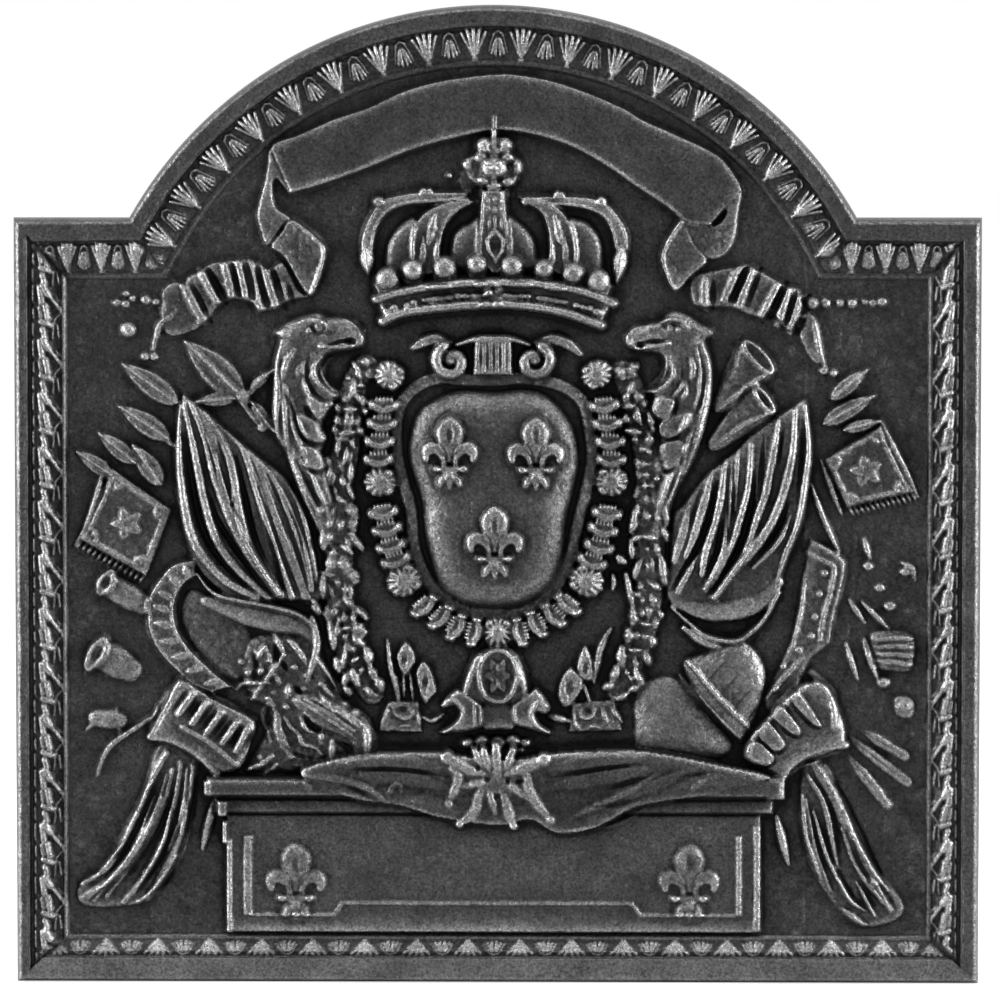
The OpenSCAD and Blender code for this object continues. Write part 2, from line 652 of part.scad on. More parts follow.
// Middle of each link and the way its chain runs there.
links = [[384, 403, 95], [381, 422, 92], [380, 441, 90], [379, 459, 90], [383, 505, 85], [386, 522, 80],
    [389, 539, 76], [393, 556, 72], [425, 606, 40], [441, 617, 34], [457, 626, 26], [474, 632, 16],
    [521, 632, -16], [537, 625, -26], [552, 615, -34], [566, 603, -42], [594, 558, -70], [599, 541, -76],
    [604, 523, -80], [608, 505, -84], [612, 458, -90], [611, 441, -92], [608, 424, -94], [604, 408, -98]];
module shell_print(s) spot(s[0], s[1], shell_r);
// A scallop shell: a hinge knob and a fan of ribs that swell to a scalloped edge.
module shell(s) {
    ribs = 7;
    function rim(i) = let (a = s[2] + 90 - 118 + 236 * i / (2 * ribs), r = shell_r * (i % 2 == 0 ? 0.86 : 1))
        [s[0] + r * cos(a), s[1] - r * sin(a)];
    function hinge(a) = [s[0], s[1]] - shell_r * 0.7 * [cos(s[2] + 90 + a), -sin(s[2] + 90 + a)];
    dome(concat([for (i = [0 : 2 * ribs]) rim(i)], [hinge(-20), hinge(20)]), mid_rise + 2, 0.35,
        steps = [[1, 0], [0.85, 0.7]]);
}
module collar_shells() color(iron_rim) stood() for (s = shells) cleared() {
    shell(s);
    clear() print(around(frame_mid + frame_w / 2 + 0.5));
}
// A link: a waisted bar across the chain with a knob at each end and a ridge along it.
module link_print(l) {
    half = link_l * k / 2;
    knob = link_w * k * 0.46;
    translate(at(l[0], l[1])) rotate(90 - l[2]) {
        polygon([
            [-half + knob, -knob * 0.7], [0, -link_w * k * 0.48], [half - knob, -knob * 0.7],
            [half - knob, knob * 0.7], [0, link_w * k * 0.48], [-half + knob, knob * 0.7]
        ]);
        for (e = [-1, 1]) translate([e * (half - knob), 0]) circle(knob);
    }
}
module collar_links() color(iron) stood() for (l = links) {
    linear_extrude(mid_rise - 4) difference() {
        link_print(l);
        clear() frame_print();
        clear() for (s = shells) shell_print(s);
    }
    along = link_l * 0.36 * [cos(90 - l[2]), -sin(90 - l[2])];
    m = [l[0], l[1]];
    ridge([m - along, m + along], link_w * 0.26, fold, [0.8, 0.8], mid_rise - 4);
    tooth = link_w * 0.36 * [cos(-l[2]), -sin(-l[2])];
    for (q = [-0.5, 0, 0.5])
        ridge([m + along * q - tooth, m + along * q + tooth], 1.8, fold + 0.8, [0.8, 0.8], mid_rise - 4.2);
}

// Each hanging collar is a string of separate castings, given by middle, width and height: kind 0 is
// a knot of two curls, kind 1 a small lily, kind 2 a bar with knobs and teeth.
outer_l = [[394, 348, 26, 16, 2], [360, 366, 24, 20, 0], [354, 391, 26, 28, 1], [347, 424, 34, 28, 0],
    [344, 449, 22, 18, 2], [338, 478, 34, 36, 1], [340, 508, 42, 20, 2], [337, 530, 38, 20, 0],
    [345, 547, 24, 11, 2], [337, 566, 34, 24, 0], [337, 590, 38, 22, 1], [342, 612, 30, 19, 2],
    [350, 634, 32, 21, 0], [357, 656, 32, 19, 2], [367, 680, 28, 25, 1]];
outer_r = [[629, 370, 24, 24, 0], [633, 390, 22, 12, 2], [637, 410, 32, 25, 0], [645, 436, 26, 22, 2],
    [648, 470, 32, 38, 1], [648, 500, 34, 18, 2], [648, 528, 40, 33, 0], [650, 551, 26, 10, 2],
    [650, 571, 36, 26, 1], [648, 594, 30, 18, 2], [646, 620, 40, 30, 0], [638, 646, 32, 19, 2],
    [630, 667, 30, 19, 1], [617, 688, 26, 18, 0]];
function cut_box(o) = let (w = o[2] / 2, h = o[3] / 2, c = min(w, h) * 0.4) [
    for (q = [[w, c - h], [w, h - c], [w - c, h], [c - w, h], [-w, h - c], [-w, c - h], [c - w, -h],
              [w - c, -h]])
        [o[0] + q[0], o[1] + q[1]]
];
module outer_print(list) for (o = list) print(cut_box(o));
module outer_piece(o) {
    u = o[0];
    v = o[1];
    w = o[2];
    h = o[3];
    base = mid_rise - 9.5;
    carved() {
        print(cut_box(o));
        union() {
            slab(cut_box(o), mid_rise - 9);
            if (o[4] == 0) {
                bead(u, v, min(w, h) * 0.2, mid_rise - 8);
                for (s = [-1, 1]) {
                    ridge([for (q = [[0.08, -0.36], [0.32, -0.32], [0.38, 0], [0.32, 0.32], [0.08, 0.36]])
                        [u + s * w * q[0], v + h * q[1]]], 3, fold + 3, base = base);
                    bead(u + s * w * 0.2, v, h * 0.1, mid_rise - 8);
                }
            }
            if (o[4] == 1) {
                leaf([u, v + h * 0.2], [u, v - h * 0.48], w * 0.14, fold + 5, base);
                for (s = [-1, 1])
                    ridge([for (q = [[0.06, 0.2], [0.24, -0.18], [0.4, -0.06], [0.36, 0.1]])
                        [u + s * w * q[0], v + h * q[1]]], 2.8, fold + 3, base = base);
                ridge([[u - w * 0.36, v + h * 0.24], [u, v + h * 0.3], [u + w * 0.36, v + h * 0.24]], 2.6,
                    fold + 2.6, base = base);
            }
            if (o[4] == 2) {
                ridge([[u - w * 0.42, v], [u, v + h * 0.2], [u + w * 0.42, v]], h * 0.18, fold + 3,
                    [0.9, 0.9], base);
                for (q = [-0.24, 0, 0.24])
                    ridge([[u + w * q, v - h * 0.44], [u + w * q, v + h * 0.1]], 2, fold + 2.4, base = base);
            }
        }
    }
}
// Leaves and a small trestle between the hanging collars and the bracket.
module fillers(leaves, u0, u1) {
    for (f = leaves) leaf(f[0], f[1], f[2], low + 2);
    for (u = [u0 + 4 : 12 : u1]) ridge([[u, 708], [u, 732]], 3.4, low, [0.9, 0.9]);
    for (v = [707, 731]) ridge([[u0, v], [u1, v]], 3, low + 1, [1, 1]);
}
module outer_collar_left() color(iron) stood() {
    for (o = outer_l) outer_piece(o);
    fillers([[[391, 700], [391, 640], 6], [[409, 676], [402, 640], 6], [[428, 698], [421, 660], 7]], 382, 422);
}
module outer_collar_right() color(iron) stood() {
    for (o = outer_r) outer_piece(o);
    fillers([[[594, 694], [607, 632], 6], [[582, 684], [587, 645], 6], [[566, 698], [573, 660], 7]], 572, 612);
}

module medallion() color(iron_rim) stood() union() {
    linear_extrude(mid_rise - 3) spot(498, 676, medal_r);
    torus(498, 676, medal_r - 4, 3.6, mid_rise - 3);
    torus(498, 676, medal_r - 11, 1.8, mid_rise - 3);
    for (i = [0 : 7]) let (a = 45 * i)
        leaf([498, 676] + polar(3, a), [498, 676] + polar(16, a), 4, 4, mid_rise - 3.2);
    bead(498, 676, 4.5, mid_rise - 1);
}
bracket_l = [[442, 704], [452, 690], [470, 694], [484, 704], [500, 708], [516, 704], [530, 694], [548, 690],
    [550, 712], [540, 728], [522, 734], [478, 736], [452, 730], [440, 720]];
module bracket_print() difference() {
    print(bracket_l);
    clear() spot(498, 676, medal_r);
    clear() for (s = shells) shell_print(s);
}
module scroll_bracket() color(iron_rim) stood() carved() {
    bracket_print();
    union() {
        slab(bracket_l, mid_rise - 4);
        scroll(456, 709, 12, 1, -150, 1.4);
        scroll(536, 709, 12, -1, -30, 1.4);
        dome([[484, 710], [512, 710], [510, 732], [486, 732]], mid_rise + 3, 0.6);
    }
}
cross_v = 776;
module cross_print() difference() {
    union() {
        for (i = [0 : 3]) rotate_about(500, cross_v, 45 + 90 * i) arm_print();
        spot(500, cross_v, cross_r * 0.3);
        print([[470, 738], [528, 738], [520, 762], [480, 762]]);
    }
    clear() bracket_print();
}
module rotate_about(u, v, a) {
    p = at(u, v);
    translate(p) rotate(a) children();
}
// One arm widens to a forked end.
module arm_print() polygon(k * cross_r * [
    [0.12, -0.12], [0.9, -0.34], [1.06, -0.3], [0.86, 0], [1.06, 0.3], [0.9, 0.34], [0.12, 0.12]
]);
module cross_pendant() color(iron_rim) stood() carved() {
    cross_print();
    union() {
        linear_extrude(mid_rise) cross_print();
        for (i = [0 : 3]) rotate_about(500, cross_v, 45 + 90 * i) {
            leaf_at([3, 0], [cross_r * k * 0.98, cross_r * k * 0.26], 3.6 * k, fold, mid_rise - 0.2);
            leaf_at([3, 0], [cross_r * k * 0.98, -cross_r * k * 0.26], 3.6 * k, fold, mid_rise - 0.2);
        }
        bead(500, cross_v, 12, mid_rise);
        for (b = [[480, 748], [493, 744], [507, 744], [520, 748]]) bead(b[0], b[1], 5.5, mid_rise - 0.5);
    }
}

// Eagles.
eagle_l = [[365, 336], [362, 328], [355, 320], [330, 314], [305, 313], [292, 320], [276, 331], [279, 342],
    [275, 355], [275, 375], [271, 390], [275, 402], [270, 414], [276, 428], [276, 440], [285, 450],
    [292, 468], [300, 492], [306, 506], [330, 512], [342, 505], [334, 470], [325, 444], [327, 434],
    [323, 420], [333, 414], [331, 402], [342, 391], [352, 374], [352, 356], [362, 349]];
module eagle_l_print() print(eagle_l);
module eagle_left() color(iron) stood() carved() {
    difference() {
        eagle_l_print();
        clear() outer_print(outer_l);
    }
    union() {
        slab(eagle_l, low);
        dome([[366, 340], [352, 318], [325, 312], [298, 317], [280, 334], [284, 352], [310, 356], [350, 352]],
            high, 0.45);
        dome([[276, 340], [268, 390], [272, 425], [290, 460], [318, 455], [330, 420], [340, 392], [330, 366],
            [312, 348], [290, 338]], high - 2, 0.5);
        dome([[276, 430], [290, 475], [304, 508], [340, 512], [334, 470], [320, 440], [296, 428]],
            mid_rise, 0.5);
        ridge([[364, 345], [358, 327], [338, 319]], 6, fold + 2, base = high - 4);
        bead(314, 330, 5, high - 1);
        ridge([[292, 326], [306, 319], [322, 320], [330, 327]], 3, fold, base = high - 3);
        ridge([[322, 347], [336, 350], [354, 345]], 3, fold, base = high - 5);
        for (f = [[[297, 350], [285, 362], [281, 380]], [[305, 360], [303, 375], [311, 400]],
                  [[317, 360], [318, 375], [331, 390]], [[326, 360], [328, 378], [342, 390]],
                  [[304, 404], [308, 413], [318, 420]], [[290, 405], [295, 428], [305, 448]],
                  [[283, 385], [284, 405], [290, 436]], [[300, 450], [310, 475], [322, 498]],
                  [[288, 452], [298, 476], [310, 500]], [[311, 367], [311, 384], [321, 402]],
                  [[292, 366], [290, 386], [297, 404]], [[298, 418], [303, 438], [314, 456]],
                  [[279, 400], [281, 424], [288, 444]]])
            ridge(f, 4.5, fold, base = high - 8);
    }
}
eagle_r = [[625, 339], [630, 327], [642, 320], [659, 317], [673, 312], [688, 316], [701, 322], [714, 330],
    [711, 342], [713, 360], [713, 380], [712, 400], [707, 425], [701, 444], [691, 466], [681, 486],
    [672, 502], [656, 512], [650, 504], [662, 478], [660, 452], [658, 432], [651, 414], [651, 400],
    [642, 388], [636, 372], [638, 356], [628, 350]];
module eagle_r_print() print(eagle_r);
module eagle_right() color(iron) stood() carved() {
    difference() {
        eagle_r_print();
        clear() outer_print(outer_r);
    }
    union() {
        slab(eagle_r, low);
        dome([[624, 342], [638, 320], [672, 311], [700, 320], [714, 334], [708, 352], [680, 358], [640, 354]],
            high, 0.45);
        dome([[710, 342], [716, 385], [710, 425], [694, 460], [668, 452], [654, 420], [642, 390], [656, 368],
            [676, 350]], high - 2, 0.5);
        dome([[706, 428], [692, 470], [674, 504], [652, 512], [660, 470], [668, 440], [688, 428]],
            mid_rise, 0.5);
        ridge([[627, 345], [632, 327], [652, 319]], 6, fold + 2, base = high - 4);
        bead(672, 329, 5, high - 1);
        ridge([[694, 326], [681, 319], [666, 320], [658, 327]], 3, fold, base = high - 3);
        ridge([[667, 349], [652, 352], [636, 347]], 3, fold, base = high - 5);
        for (f = [[[704, 348], [708, 371], [702, 398]], [[692, 352], [696, 370], [692, 392]],
                  [[678, 358], [680, 376], [672, 393]], [[666, 360], [664, 376], [654, 392]],
                  [[690, 404], [686, 420], [676, 432]], [[702, 405], [696, 430], [686, 450]],
                  [[664, 400], [660, 412], [666, 424]], [[690, 455], [682, 475], [672, 494]],
                  [[676, 450], [672, 470], [664, 492]], [[698, 372], [698, 392], [690, 412]],
                  [[672, 368], [674, 386], [663, 404]], [[676, 406], [674, 426], [666, 442]],
                  [[707, 400], [702, 424], [694, 444]]])
            ridge(f, 4.5, fold, base = high - 8);
    }
}

// Flags and trophies, left.
flag_l = [[183, 397], [174, 440], [172, 480], [178, 525], [190, 562], [212, 592], [210, 612], [240, 626],
    [290, 634], [314, 628], [312, 612], [321, 598], [317, 560], [308, 520], [290, 488], [255, 458],
    [225, 428], [193, 397]];
module flag_l_print() difference() {
    print(flag_l);
    clear() eagle_l_print();
    clear() outer_print(outer_l);
}
module flag_left() color(iron) stood() carved() {
    flag_l_print();
    union() {
        slab(flag_l, low);
        ridge([[179, 402], [176, 470], [182, 515], [202, 565], [232, 590]], 7, fold + 2, base = low - 1);
        ridge([[185, 405], [190, 450], [205, 505], [228, 560], [256, 592]], 5, fold + 1, base = low - 1);
        ridge([[189, 402], [203, 440], [222, 502], [244, 550], [272, 594]], 5, fold, base = low - 1);
        ridge([[203, 420], [222, 450], [236, 500], [258, 555], [282, 594]], 5, fold + 1, base = low - 1);
        ridge([[215, 424], [240, 460], [258, 510], [276, 560], [298, 596]], 5, fold, base = low - 1);
        ridge([[245, 452], [265, 490], [285, 540], [308, 594]], 5, fold + 1, base = low - 1);
        ridge([[270, 472], [288, 496], [304, 540], [314, 578]], 4, fold, base = low - 1);
        ridge([[182, 420], [182, 470], [192, 520], [214, 570]], 3.4, fold - 1, base = low - 1);
        ridge([[258, 462], [276, 500], [294, 545], [312, 592]], 3.4, fold - 1, base = low - 1);
        ridge([[210, 600], [240, 612], [280, 616], [314, 612]], 13, fold + 4, base = low - 2);
    }
}
spear_tips = [[[240, 394], [185, 342], 16], [[172, 394], [120, 364], 9], [[163, 436], [117, 408], 9],
    [[130, 450], [97, 434], 8], [[108, 474], [75, 454], 8]];
knots_l = [[246, 400, 9], [262, 378, 5], [263, 430, 6], [235, 404, 5], [145, 466, 12]];
module spears_left() color(iron) stood() difference() {
    union() {
        for (s = spear_tips) leaf(s[0], s[1], s[2], mid_rise - 2);
        for (q = knots_l) bead(q[0], q[1], q[2], low - 4);
        ridge([[241, 396], [262, 430], [270, 446]], 4, low);
    }
    translate([0, 0, -1]) linear_extrude(60) {
        clear() flag_l_print();
        clear() eagle_l_print();
        clear() banner_l_print();
    }
}
banner_l = [[112, 467], [174, 508], [147, 578], [77, 540]];
module banner_l_print() difference() {
    print(banner_l);
    clear() flag_l_print();
    clear() crescent_l_print();
    clear() cannons_print();
}
// A small square standard: raised hem, a plain leaf device and a fringe along its lower edge.
module banner(pts) {
    slab(pts, low);
    c = centre([pts[0], pts[2]]);
    hem = [for (p = pts) p + (c - p) * 0.1];
    for (i = [0 : 3]) ridge([hem[i], hem[(i + 1) % 4]], 3.5, fold, [1, 1], low - 0.5);
    for (a = [20 : 90 : 290]) leaf(c + polar(3, a), c + polar(22, a), 5, fold, low - 0.1);
    for (t = [0.12 : 0.1 : 0.92]) let (p = pts[3] + (pts[2] - pts[3]) * t, way = unit(pts[3] - pts[0]))
        ridge([p - way * 7, p - way * 1.5], 2.4, fold - 1, [0.9, 0.9], low - 0.5);
}
module banner_left() color(iron) stood() carved() {
    banner_l_print();
    banner(banner_l);
}
crescent_l = [[192, 562], [174, 565], [160, 579], [149, 597], [146, 620], [150, 640], [160, 660], [182, 680],
    [214, 700], [236, 712], [244, 690], [262, 662], [262, 632], [232, 622], [212, 600], [206, 576]];
module crescent_l_print() difference() {
    print(crescent_l);
    clear() flag_l_print();
    clear() quiver_l_print();
    clear() helmet_l_print();
}
module crescent_left() color(iron) stood() carved() {
    crescent_l_print();
    union() {
        slab(crescent_l, low - 2);
        ridge([[192, 565], [174, 569], [162, 584], [152, 602], [150, 622], [156, 646], [170, 668], [190, 684]],
            5, fold + 4, [1, 1], low - 2.5);
        ridge([[200, 578], [186, 584], [177, 599], [174, 614], [179, 634], [192, 654], [212, 672], [230, 686]],
            3.5, fold + 2, [1, 1], low - 2.5);
        for (p = [[168, 588], [162, 606], [164, 626], [172, 646], [186, 664]]) bead(p[0], p[1], 4.5, low - 2);
    }
}
cannons = [[[105, 584], [146, 603], 15, 12], [[93, 655], [124, 668], 20, 15], [[84, 724], [118, 716], 11, 10]];
module cannons_print() for (c = cannons) let (
    a = at(c[0][0], c[0][1]), b = at(c[1][0], c[1][1]), n = side(unit(b - a)) * k)
    polygon([a - n * (c[2] + 1), a + n * (c[2] + 1), b + n * (c[3] + 1), b - n * (c[3] + 1)]);
// Gun barrels that lie half sunk: a tapered tube with a muzzle ring.
module cannons_left() color(iron) stood() for (c = cannons) let (
    a = at(c[0][0], c[0][1]), b = at(c[1][0], c[1][1]), way = atan2(b[1] - a[1], b[0] - a[0]),
    length = norm(b - a), r1 = c[2] * k, r2 = c[3] * k)
    difference() {
        intersection() {
            translate(a) rotate(way) rotate([0, 90, 0]) difference() {
                union() {
                    cylinder(h = length, r1 = r1 * 0.86, r2 = r2);
                    cylinder(h = r1 * 0.4, r = r1);
                    translate([0, 0, length * 0.6]) cylinder(h = r1 * 0.25, r = r1 * 0.98);
                }
                translate([0, 0, -1]) cylinder(h = r1 * 0.6, r = r1 * 0.55);
            }
            linear_extrude(60) translate(a) rotate(way) translate([0, -r1 * 1.2]) square([length, r1 * 2.4]);
        }
        translate([0, 0, -1]) linear_extrude(60) clear() crescent_l_print();
    }
helmet_l = [[280, 642], [296, 637], [306, 634], [318, 644], [316, 662], [338, 684], [352, 700], [368, 724],
    [372, 758], [366, 768], [300, 770], [246, 772], [250, 752], [268, 742], [270, 718], [250, 702],
    [240, 690], [268, 664]];
module helmet_l_print() difference() {
    print(helmet_l);
    clear() outer_print(outer_l);
    clear() quiver_l_print();
    clear() slab_face();
    clear() flag_l_print();
}
module helmet_left() color(iron) stood() carved() {
    helmet_l_print();
    union() {
        slab(helmet_l, low);
        dome([[270, 722], [286, 704], [318, 696], [346, 706], [366, 730], [370, 762], [330, 768], [296, 766],
            [280, 748]], high - 2, 0.45);
        dome([[284, 648], [306, 636], [316, 656], [338, 690], [316, 702], [290, 696], [274, 672]], mid_rise, 0.4);
        for (i = [0 : 3]) ridge([[300 + 11 * i, 700 + 2 * i], [322 + 11 * i, 718 + 3 * i], [342 + 9 * i, 738]],
            3.5, fold, base = high - 7);
        ridge([[270, 664], [252, 700]], 4, fold + 3, [1, 1], low - 1);
        ridge([[273, 640], [290, 668], [318, 700]], 4, fold + 3, base = mid_rise - 4);
        ridge([[314, 656], [300, 684], [280, 704]], 4, fold + 3, base = mid_rise - 4);
    }
}
quiver_l = [[181, 680], [149, 730], [150, 741], [178, 752], [202, 768], [218, 777], [241, 769], [255, 722],
    [216, 700]];
module quiver_l_print() difference() {
    print(quiver_l);
    clear() slab_face();
}
// A quiver's mouth: a banded slab cut by a row of arrow slots.
module quiver(pts, slots, bars) {
    difference() {
        slab(pts, mid_rise);
        for (q = slots) translate([0, 0, low]) linear_extrude(60) print(
            [[q[0] - 5, q[1] - 6], [q[0] + 1, q[1] - 8], [q[0] + 5, q[1] + 5], [q[0] - 2, q[1] + 8]]);
    }
    for (q = bars) ridge(q, 4, fold, [1, 1], mid_rise - 0.5);
}
module quiver_left() color(iron) stood() carved() {
    quiver_l_print();
    quiver(quiver_l, [[184, 694], [201, 707], [215, 717], [232, 730]],
        [[[184, 686], [215, 708], [250, 726]], [[160, 716], [190, 736], [236, 756]],
         [[152, 738], [180, 750], [216, 772]]]);
}
drapery_l = [[158, 742], [150, 758], [140, 790], [118, 850], [80, 884], [76, 903], [100, 905], [146, 903],
    [182, 862], [196, 842], [198, 800], [196, 776], [176, 756]];
module drapery_l_print() difference() {
    print(drapery_l);
    clear() quiver_l_print();
    clear() plinth_print();
}
module drapery_left() color(iron) stood() carved() {
    drapery_l_print();
    union() {
        slab(drapery_l, low - 2);
        ridge([[162, 754], [150, 785], [132, 822], [108, 866], [82, 886]], 5, fold + 2, base = low - 2.5);
        ridge([[170, 762], [160, 800], [142, 838], [117, 872], [80, 899]], 4.5, fold + 1, base = low - 2.5);
        ridge([[186, 776], [176, 815], [156, 850], [130, 882], [104, 900]], 5, fold + 2, base = low - 2.5);
        ridge([[194, 800], [182, 840], [162, 872], [140, 900]], 4, fold, base = low - 2.5);
        ridge([[178, 766], [166, 806], [148, 846], [118, 886]], 3.4, fold, base = low - 2.5);
    }
}

// Flags and trophies, right.
flag_r = [[800, 404], [786, 408], [760, 420], [740, 435], [720, 455], [700, 470], [688, 487], [676, 510],
    [670, 560], [667, 594], [672, 620], [692, 630], [720, 640], [745, 638], [762, 626], [772, 604],
    [790, 566], [804, 530], [809, 490], [809, 450]];
module flag_r_print() difference() {
    print(flag_r);
    clear() eagle_r_print();
    clear() outer_print(outer_r);
}
module flag_right() color(iron) stood() carved() {
    flag_r_print();
    union() {
        slab(flag_r, low);
        ridge([[804, 410], [806, 460], [799, 512], [782, 560], [766, 596]], 7, fold + 2, base = low - 1);
        ridge([[797, 408], [791, 460], [776, 512], [752, 560], [728, 596]], 5, fold + 1, base = low - 1);
        ridge([[786, 412], [775, 470], [755, 520], [735, 560], [708, 598]], 5, fold, base = low - 1);
        ridge([[775, 418], [760, 470], [740, 520], [718, 566], [698, 596]], 5, fold + 1, base = low - 1);
        ridge([[764, 424], [745, 485], [722, 546], [694, 596]], 4.5, fold, base = low - 1);
        ridge([[745, 438], [725, 500], [700, 556], [682, 592]], 5, fold + 1, base = low - 1);
        ridge([[720, 458], [703, 510], [684, 556], [674, 594]], 4.5, fold, base = low - 1);
        ridge([[802, 440], [797, 490], [782, 540], [764, 580]], 3.4, fold - 1, base = low - 1);
        ridge([[704, 472], [690, 515], [678, 558], [671, 590]], 3.4, fold - 1, base = low - 1);
        ridge([[672, 606], [700, 616], [735, 618], [766, 604]], 12, fold + 4, base = low - 2);
    }
}
spears_r = [[[846, 398], [867, 370], 10], [[832, 420], [874, 395], 7]];
module spears_right() color(iron) stood() difference() {
    union() {
        for (s = spears_r) leaf(s[0], s[1], s[2], mid_rise - 2);
        bead(881, 330, 14, 1);
        ridge([[822, 462], [832, 490], [842, 512]], 3.5, low);
        ridge([[812, 486], [824, 520], [838, 552]], 3.5, low);
        ridge([[864, 536], [870, 560]], 4, low);
        ridge([[898, 566], [908, 568], [915, 580]], 4, low);
    }
    translate([0, 0, -1]) linear_extrude(60) {
        clear() banner_r_print();
        clear() flag_r_print();
        clear() buckler_print();
        translate([0, inner_shoulder - 2 * seam]) square([half_w, plate_h]);
    }
}
banner_r = [[822, 459], [878, 425], [916, 492], [844, 528]];
module banner_r_print() difference() {
    print(banner_r);
    clear() flag_r_print();
}
module banner_right() color(iron) stood() carved() {
    banner_r_print();
    banner(banner_r);
}
horn_r = [[740, 338], [752, 334], [768, 344], [777, 372], [770, 378], [742, 392], [716, 412], [718, 386]];
horn_2 = [[745, 384], [760, 381], [776, 414], [758, 421], [722, 450], [706, 446]];
module trumpets_right() color(iron) stood() cleared() {
    union() {
        dome(horn_r, mid_rise, 0.3);
        dome(horn_2, mid_rise - 3, 0.3);
        ridge([[742, 341], [752, 340], [766, 356], [773, 370]], 4, fold + 3, [1, 1], low);
        ridge([[752, 384], [762, 390], [772, 412]], 3.5, fold + 2, [1, 1], low - 2);
    }
    union() {
        clear() flag_r_print();
        clear() eagle_r_print();
    }
}
drum_r = [[644, 756], [676, 767], [716, 763], [740, 746], [755, 726], [766, 700], [766, 676], [758, 655],
    [744, 641], [720, 641], [700, 642], [683, 662], [664, 678], [644, 690], [636, 712], [636, 734]];
module drum_print() difference() {
    print(drum_r);
    clear() outer_print(outer_r);
    clear() slab_face();
    clear() flag_r_print();
}
module drum_right() color(iron) stood() cleared() {
    union() {
        dome(drum_r, high, 0.5);
        ridge([[691, 661], [722, 694], [751, 729]], 4, fold + 2, [1, 1], high - 4);
        ridge([[683, 676], [712, 708], [741, 741]], 3.5, fold + 1, [1, 1], high - 4);
    }
    union() {
        clear() outer_print(outer_r);
        clear() slab_face();
        clear() flag_r_print();
    }
}
buckler = [[811, 539], [826, 546], [842, 558], [844, 590], [834, 622], [830, 646], [812, 658], [798, 690],
    [772, 716], [768, 690], [786, 668], [772, 640], [776, 606], [796, 566]];
module buckler_print() difference() {
    print(buckler);
    clear() flag_r_print();
    clear() drum_print();
    clear() quiver_r_print();
}
module buckler_right() color(iron) stood() carved() {
    buckler_print();
    union() {
        slab(buckler, low - 2);
        ridge([[806, 545], [824, 550], [839, 562], [840, 590], [830, 622], [825, 645], [806, 658]], 4, fold + 4,
            [1, 1], low - 2.5);
        ridge([[800, 560], [826, 570], [828, 592], [818, 620], [812, 640]], 3, fold, base = low - 2.5);
        ridge([[800, 661], [782, 682], [766, 704]], 4, fold, base = low - 2.5);
        bead(812, 634, 4, low - 1);
    }
}
quiver_r = [[811, 682], [834, 694], [838, 720], [847, 745], [822, 753], [802, 764], [782, 782], [756, 768],
    [744, 752], [760, 722], [774, 706], [788, 690]];
module quiver_r_print() difference() {
    print(quiver_r);
    clear() slab_face();
    clear() drum_print();
}
module quiver_right() color(iron) stood() carved() {
    quiver_r_print();
    quiver(quiver_r, [[764, 744], [782, 726], [798, 710], [822, 706]],
        [[[748, 752], [770, 764]], [[766, 724], [788, 744]], [[786, 700], [806, 730]], [[812, 686], [830, 730]],
         [[784, 774], [802, 760], [824, 750], [844, 744]]]);
}
drapery_r = [[806, 776], [828, 766], [846, 800], [858, 840], [880, 884], [876, 900], [862, 930], [848, 932],
    [840, 892], [824, 862], [808, 900], [798, 860], [794, 812]];
module drapery_r_print() difference() {
    print(drapery_r);
    clear() quiver_r_print();
    clear() plinth_print();
}
module drapery_right() color(iron) stood() carved() {
    drapery_r_print();
    union() {
        slab(drapery_r, low - 2);
        ridge([[822, 772], [842, 802], [853, 841], [872, 884]], 5, fold + 2, base = low - 2.5);
        ridge([[814, 780], [832, 826], [848, 866], [854, 920]], 5, fold + 1, base = low - 2.5);
        ridge([[806, 800], [803, 850], [806, 892]], 4, fold, base = low - 2.5);
        ridge([[810, 790], [822, 830], [838, 880]], 3.4, fold, base = low - 2.5);
    }
}
arrows = [[[906, 757], [863, 732], 5], [[907, 783], [850, 739], 6], [[888, 806], [848, 762], 6],
    [[862, 626], [849, 598], 5], [[888, 630], [862, 602], 5], [[860, 682], [846, 644], 6],
    [[880, 681], [865, 640], 5]];
module arrows_right() color(iron) stood() difference() {
    union() {
        for (a = arrows) leaf(a[0], a[1], a[2], mid_rise - 4);
        for (i = [0 : 3]) bead(904 + 3 * sin(120 * i), 636 + 12 * i, 7, low - 2);
        bead(906, 706, 8, low - 2);
        bead(885, 698, 7, low - 3);
    }
    translate([0, 0, -1]) linear_extrude(60) {
        clear() quiver_r_print();
        clear() buckler_print();
    }
}

// Plinth.
plinth_top = foot_w + body_h + slab_h;
slab_half = body_w / 2 + slab_over;
module slab_face() translate([-slab_half, foot_w + body_h]) square([2 * slab_half, slab_h]);
module cloth_print() difference() {
    print([[318, 762], [372, 752], [450, 756], [548, 756], [640, 752], [704, 766], [742, 776], [700, 786],
        [620, 806], [556, 832], [470, 826], [400, 802], [345, 786], [300, 778]]);
    clear() cross_print();
    clear() print(helmet_l);
}
module plinth_print() {
    slab_face();
    translate([-body_w / 2 - slab_over * 0.7, foot_w]) square([body_w + slab_over * 1.4, body_h]);
}
module plinth_slab() color(iron_rim) stood() difference() {
    rotate([0, 90, 0]) linear_extrude(2 * slab_half, center = true) polygon([
        [0, plinth_top], [-slab_rise, plinth_top], [-slab_rise, plinth_top - slab_h * 0.62],
        [-slab_rise + 4, plinth_top - slab_h * 0.72], [-slab_rise + 4, plinth_top - slab_h],
        [0, plinth_top - slab_h]
    ]);
    translate([0, 0, -1]) linear_extrude(60) {
        clear() cloth_print();
        clear() cross_print();
    }
}
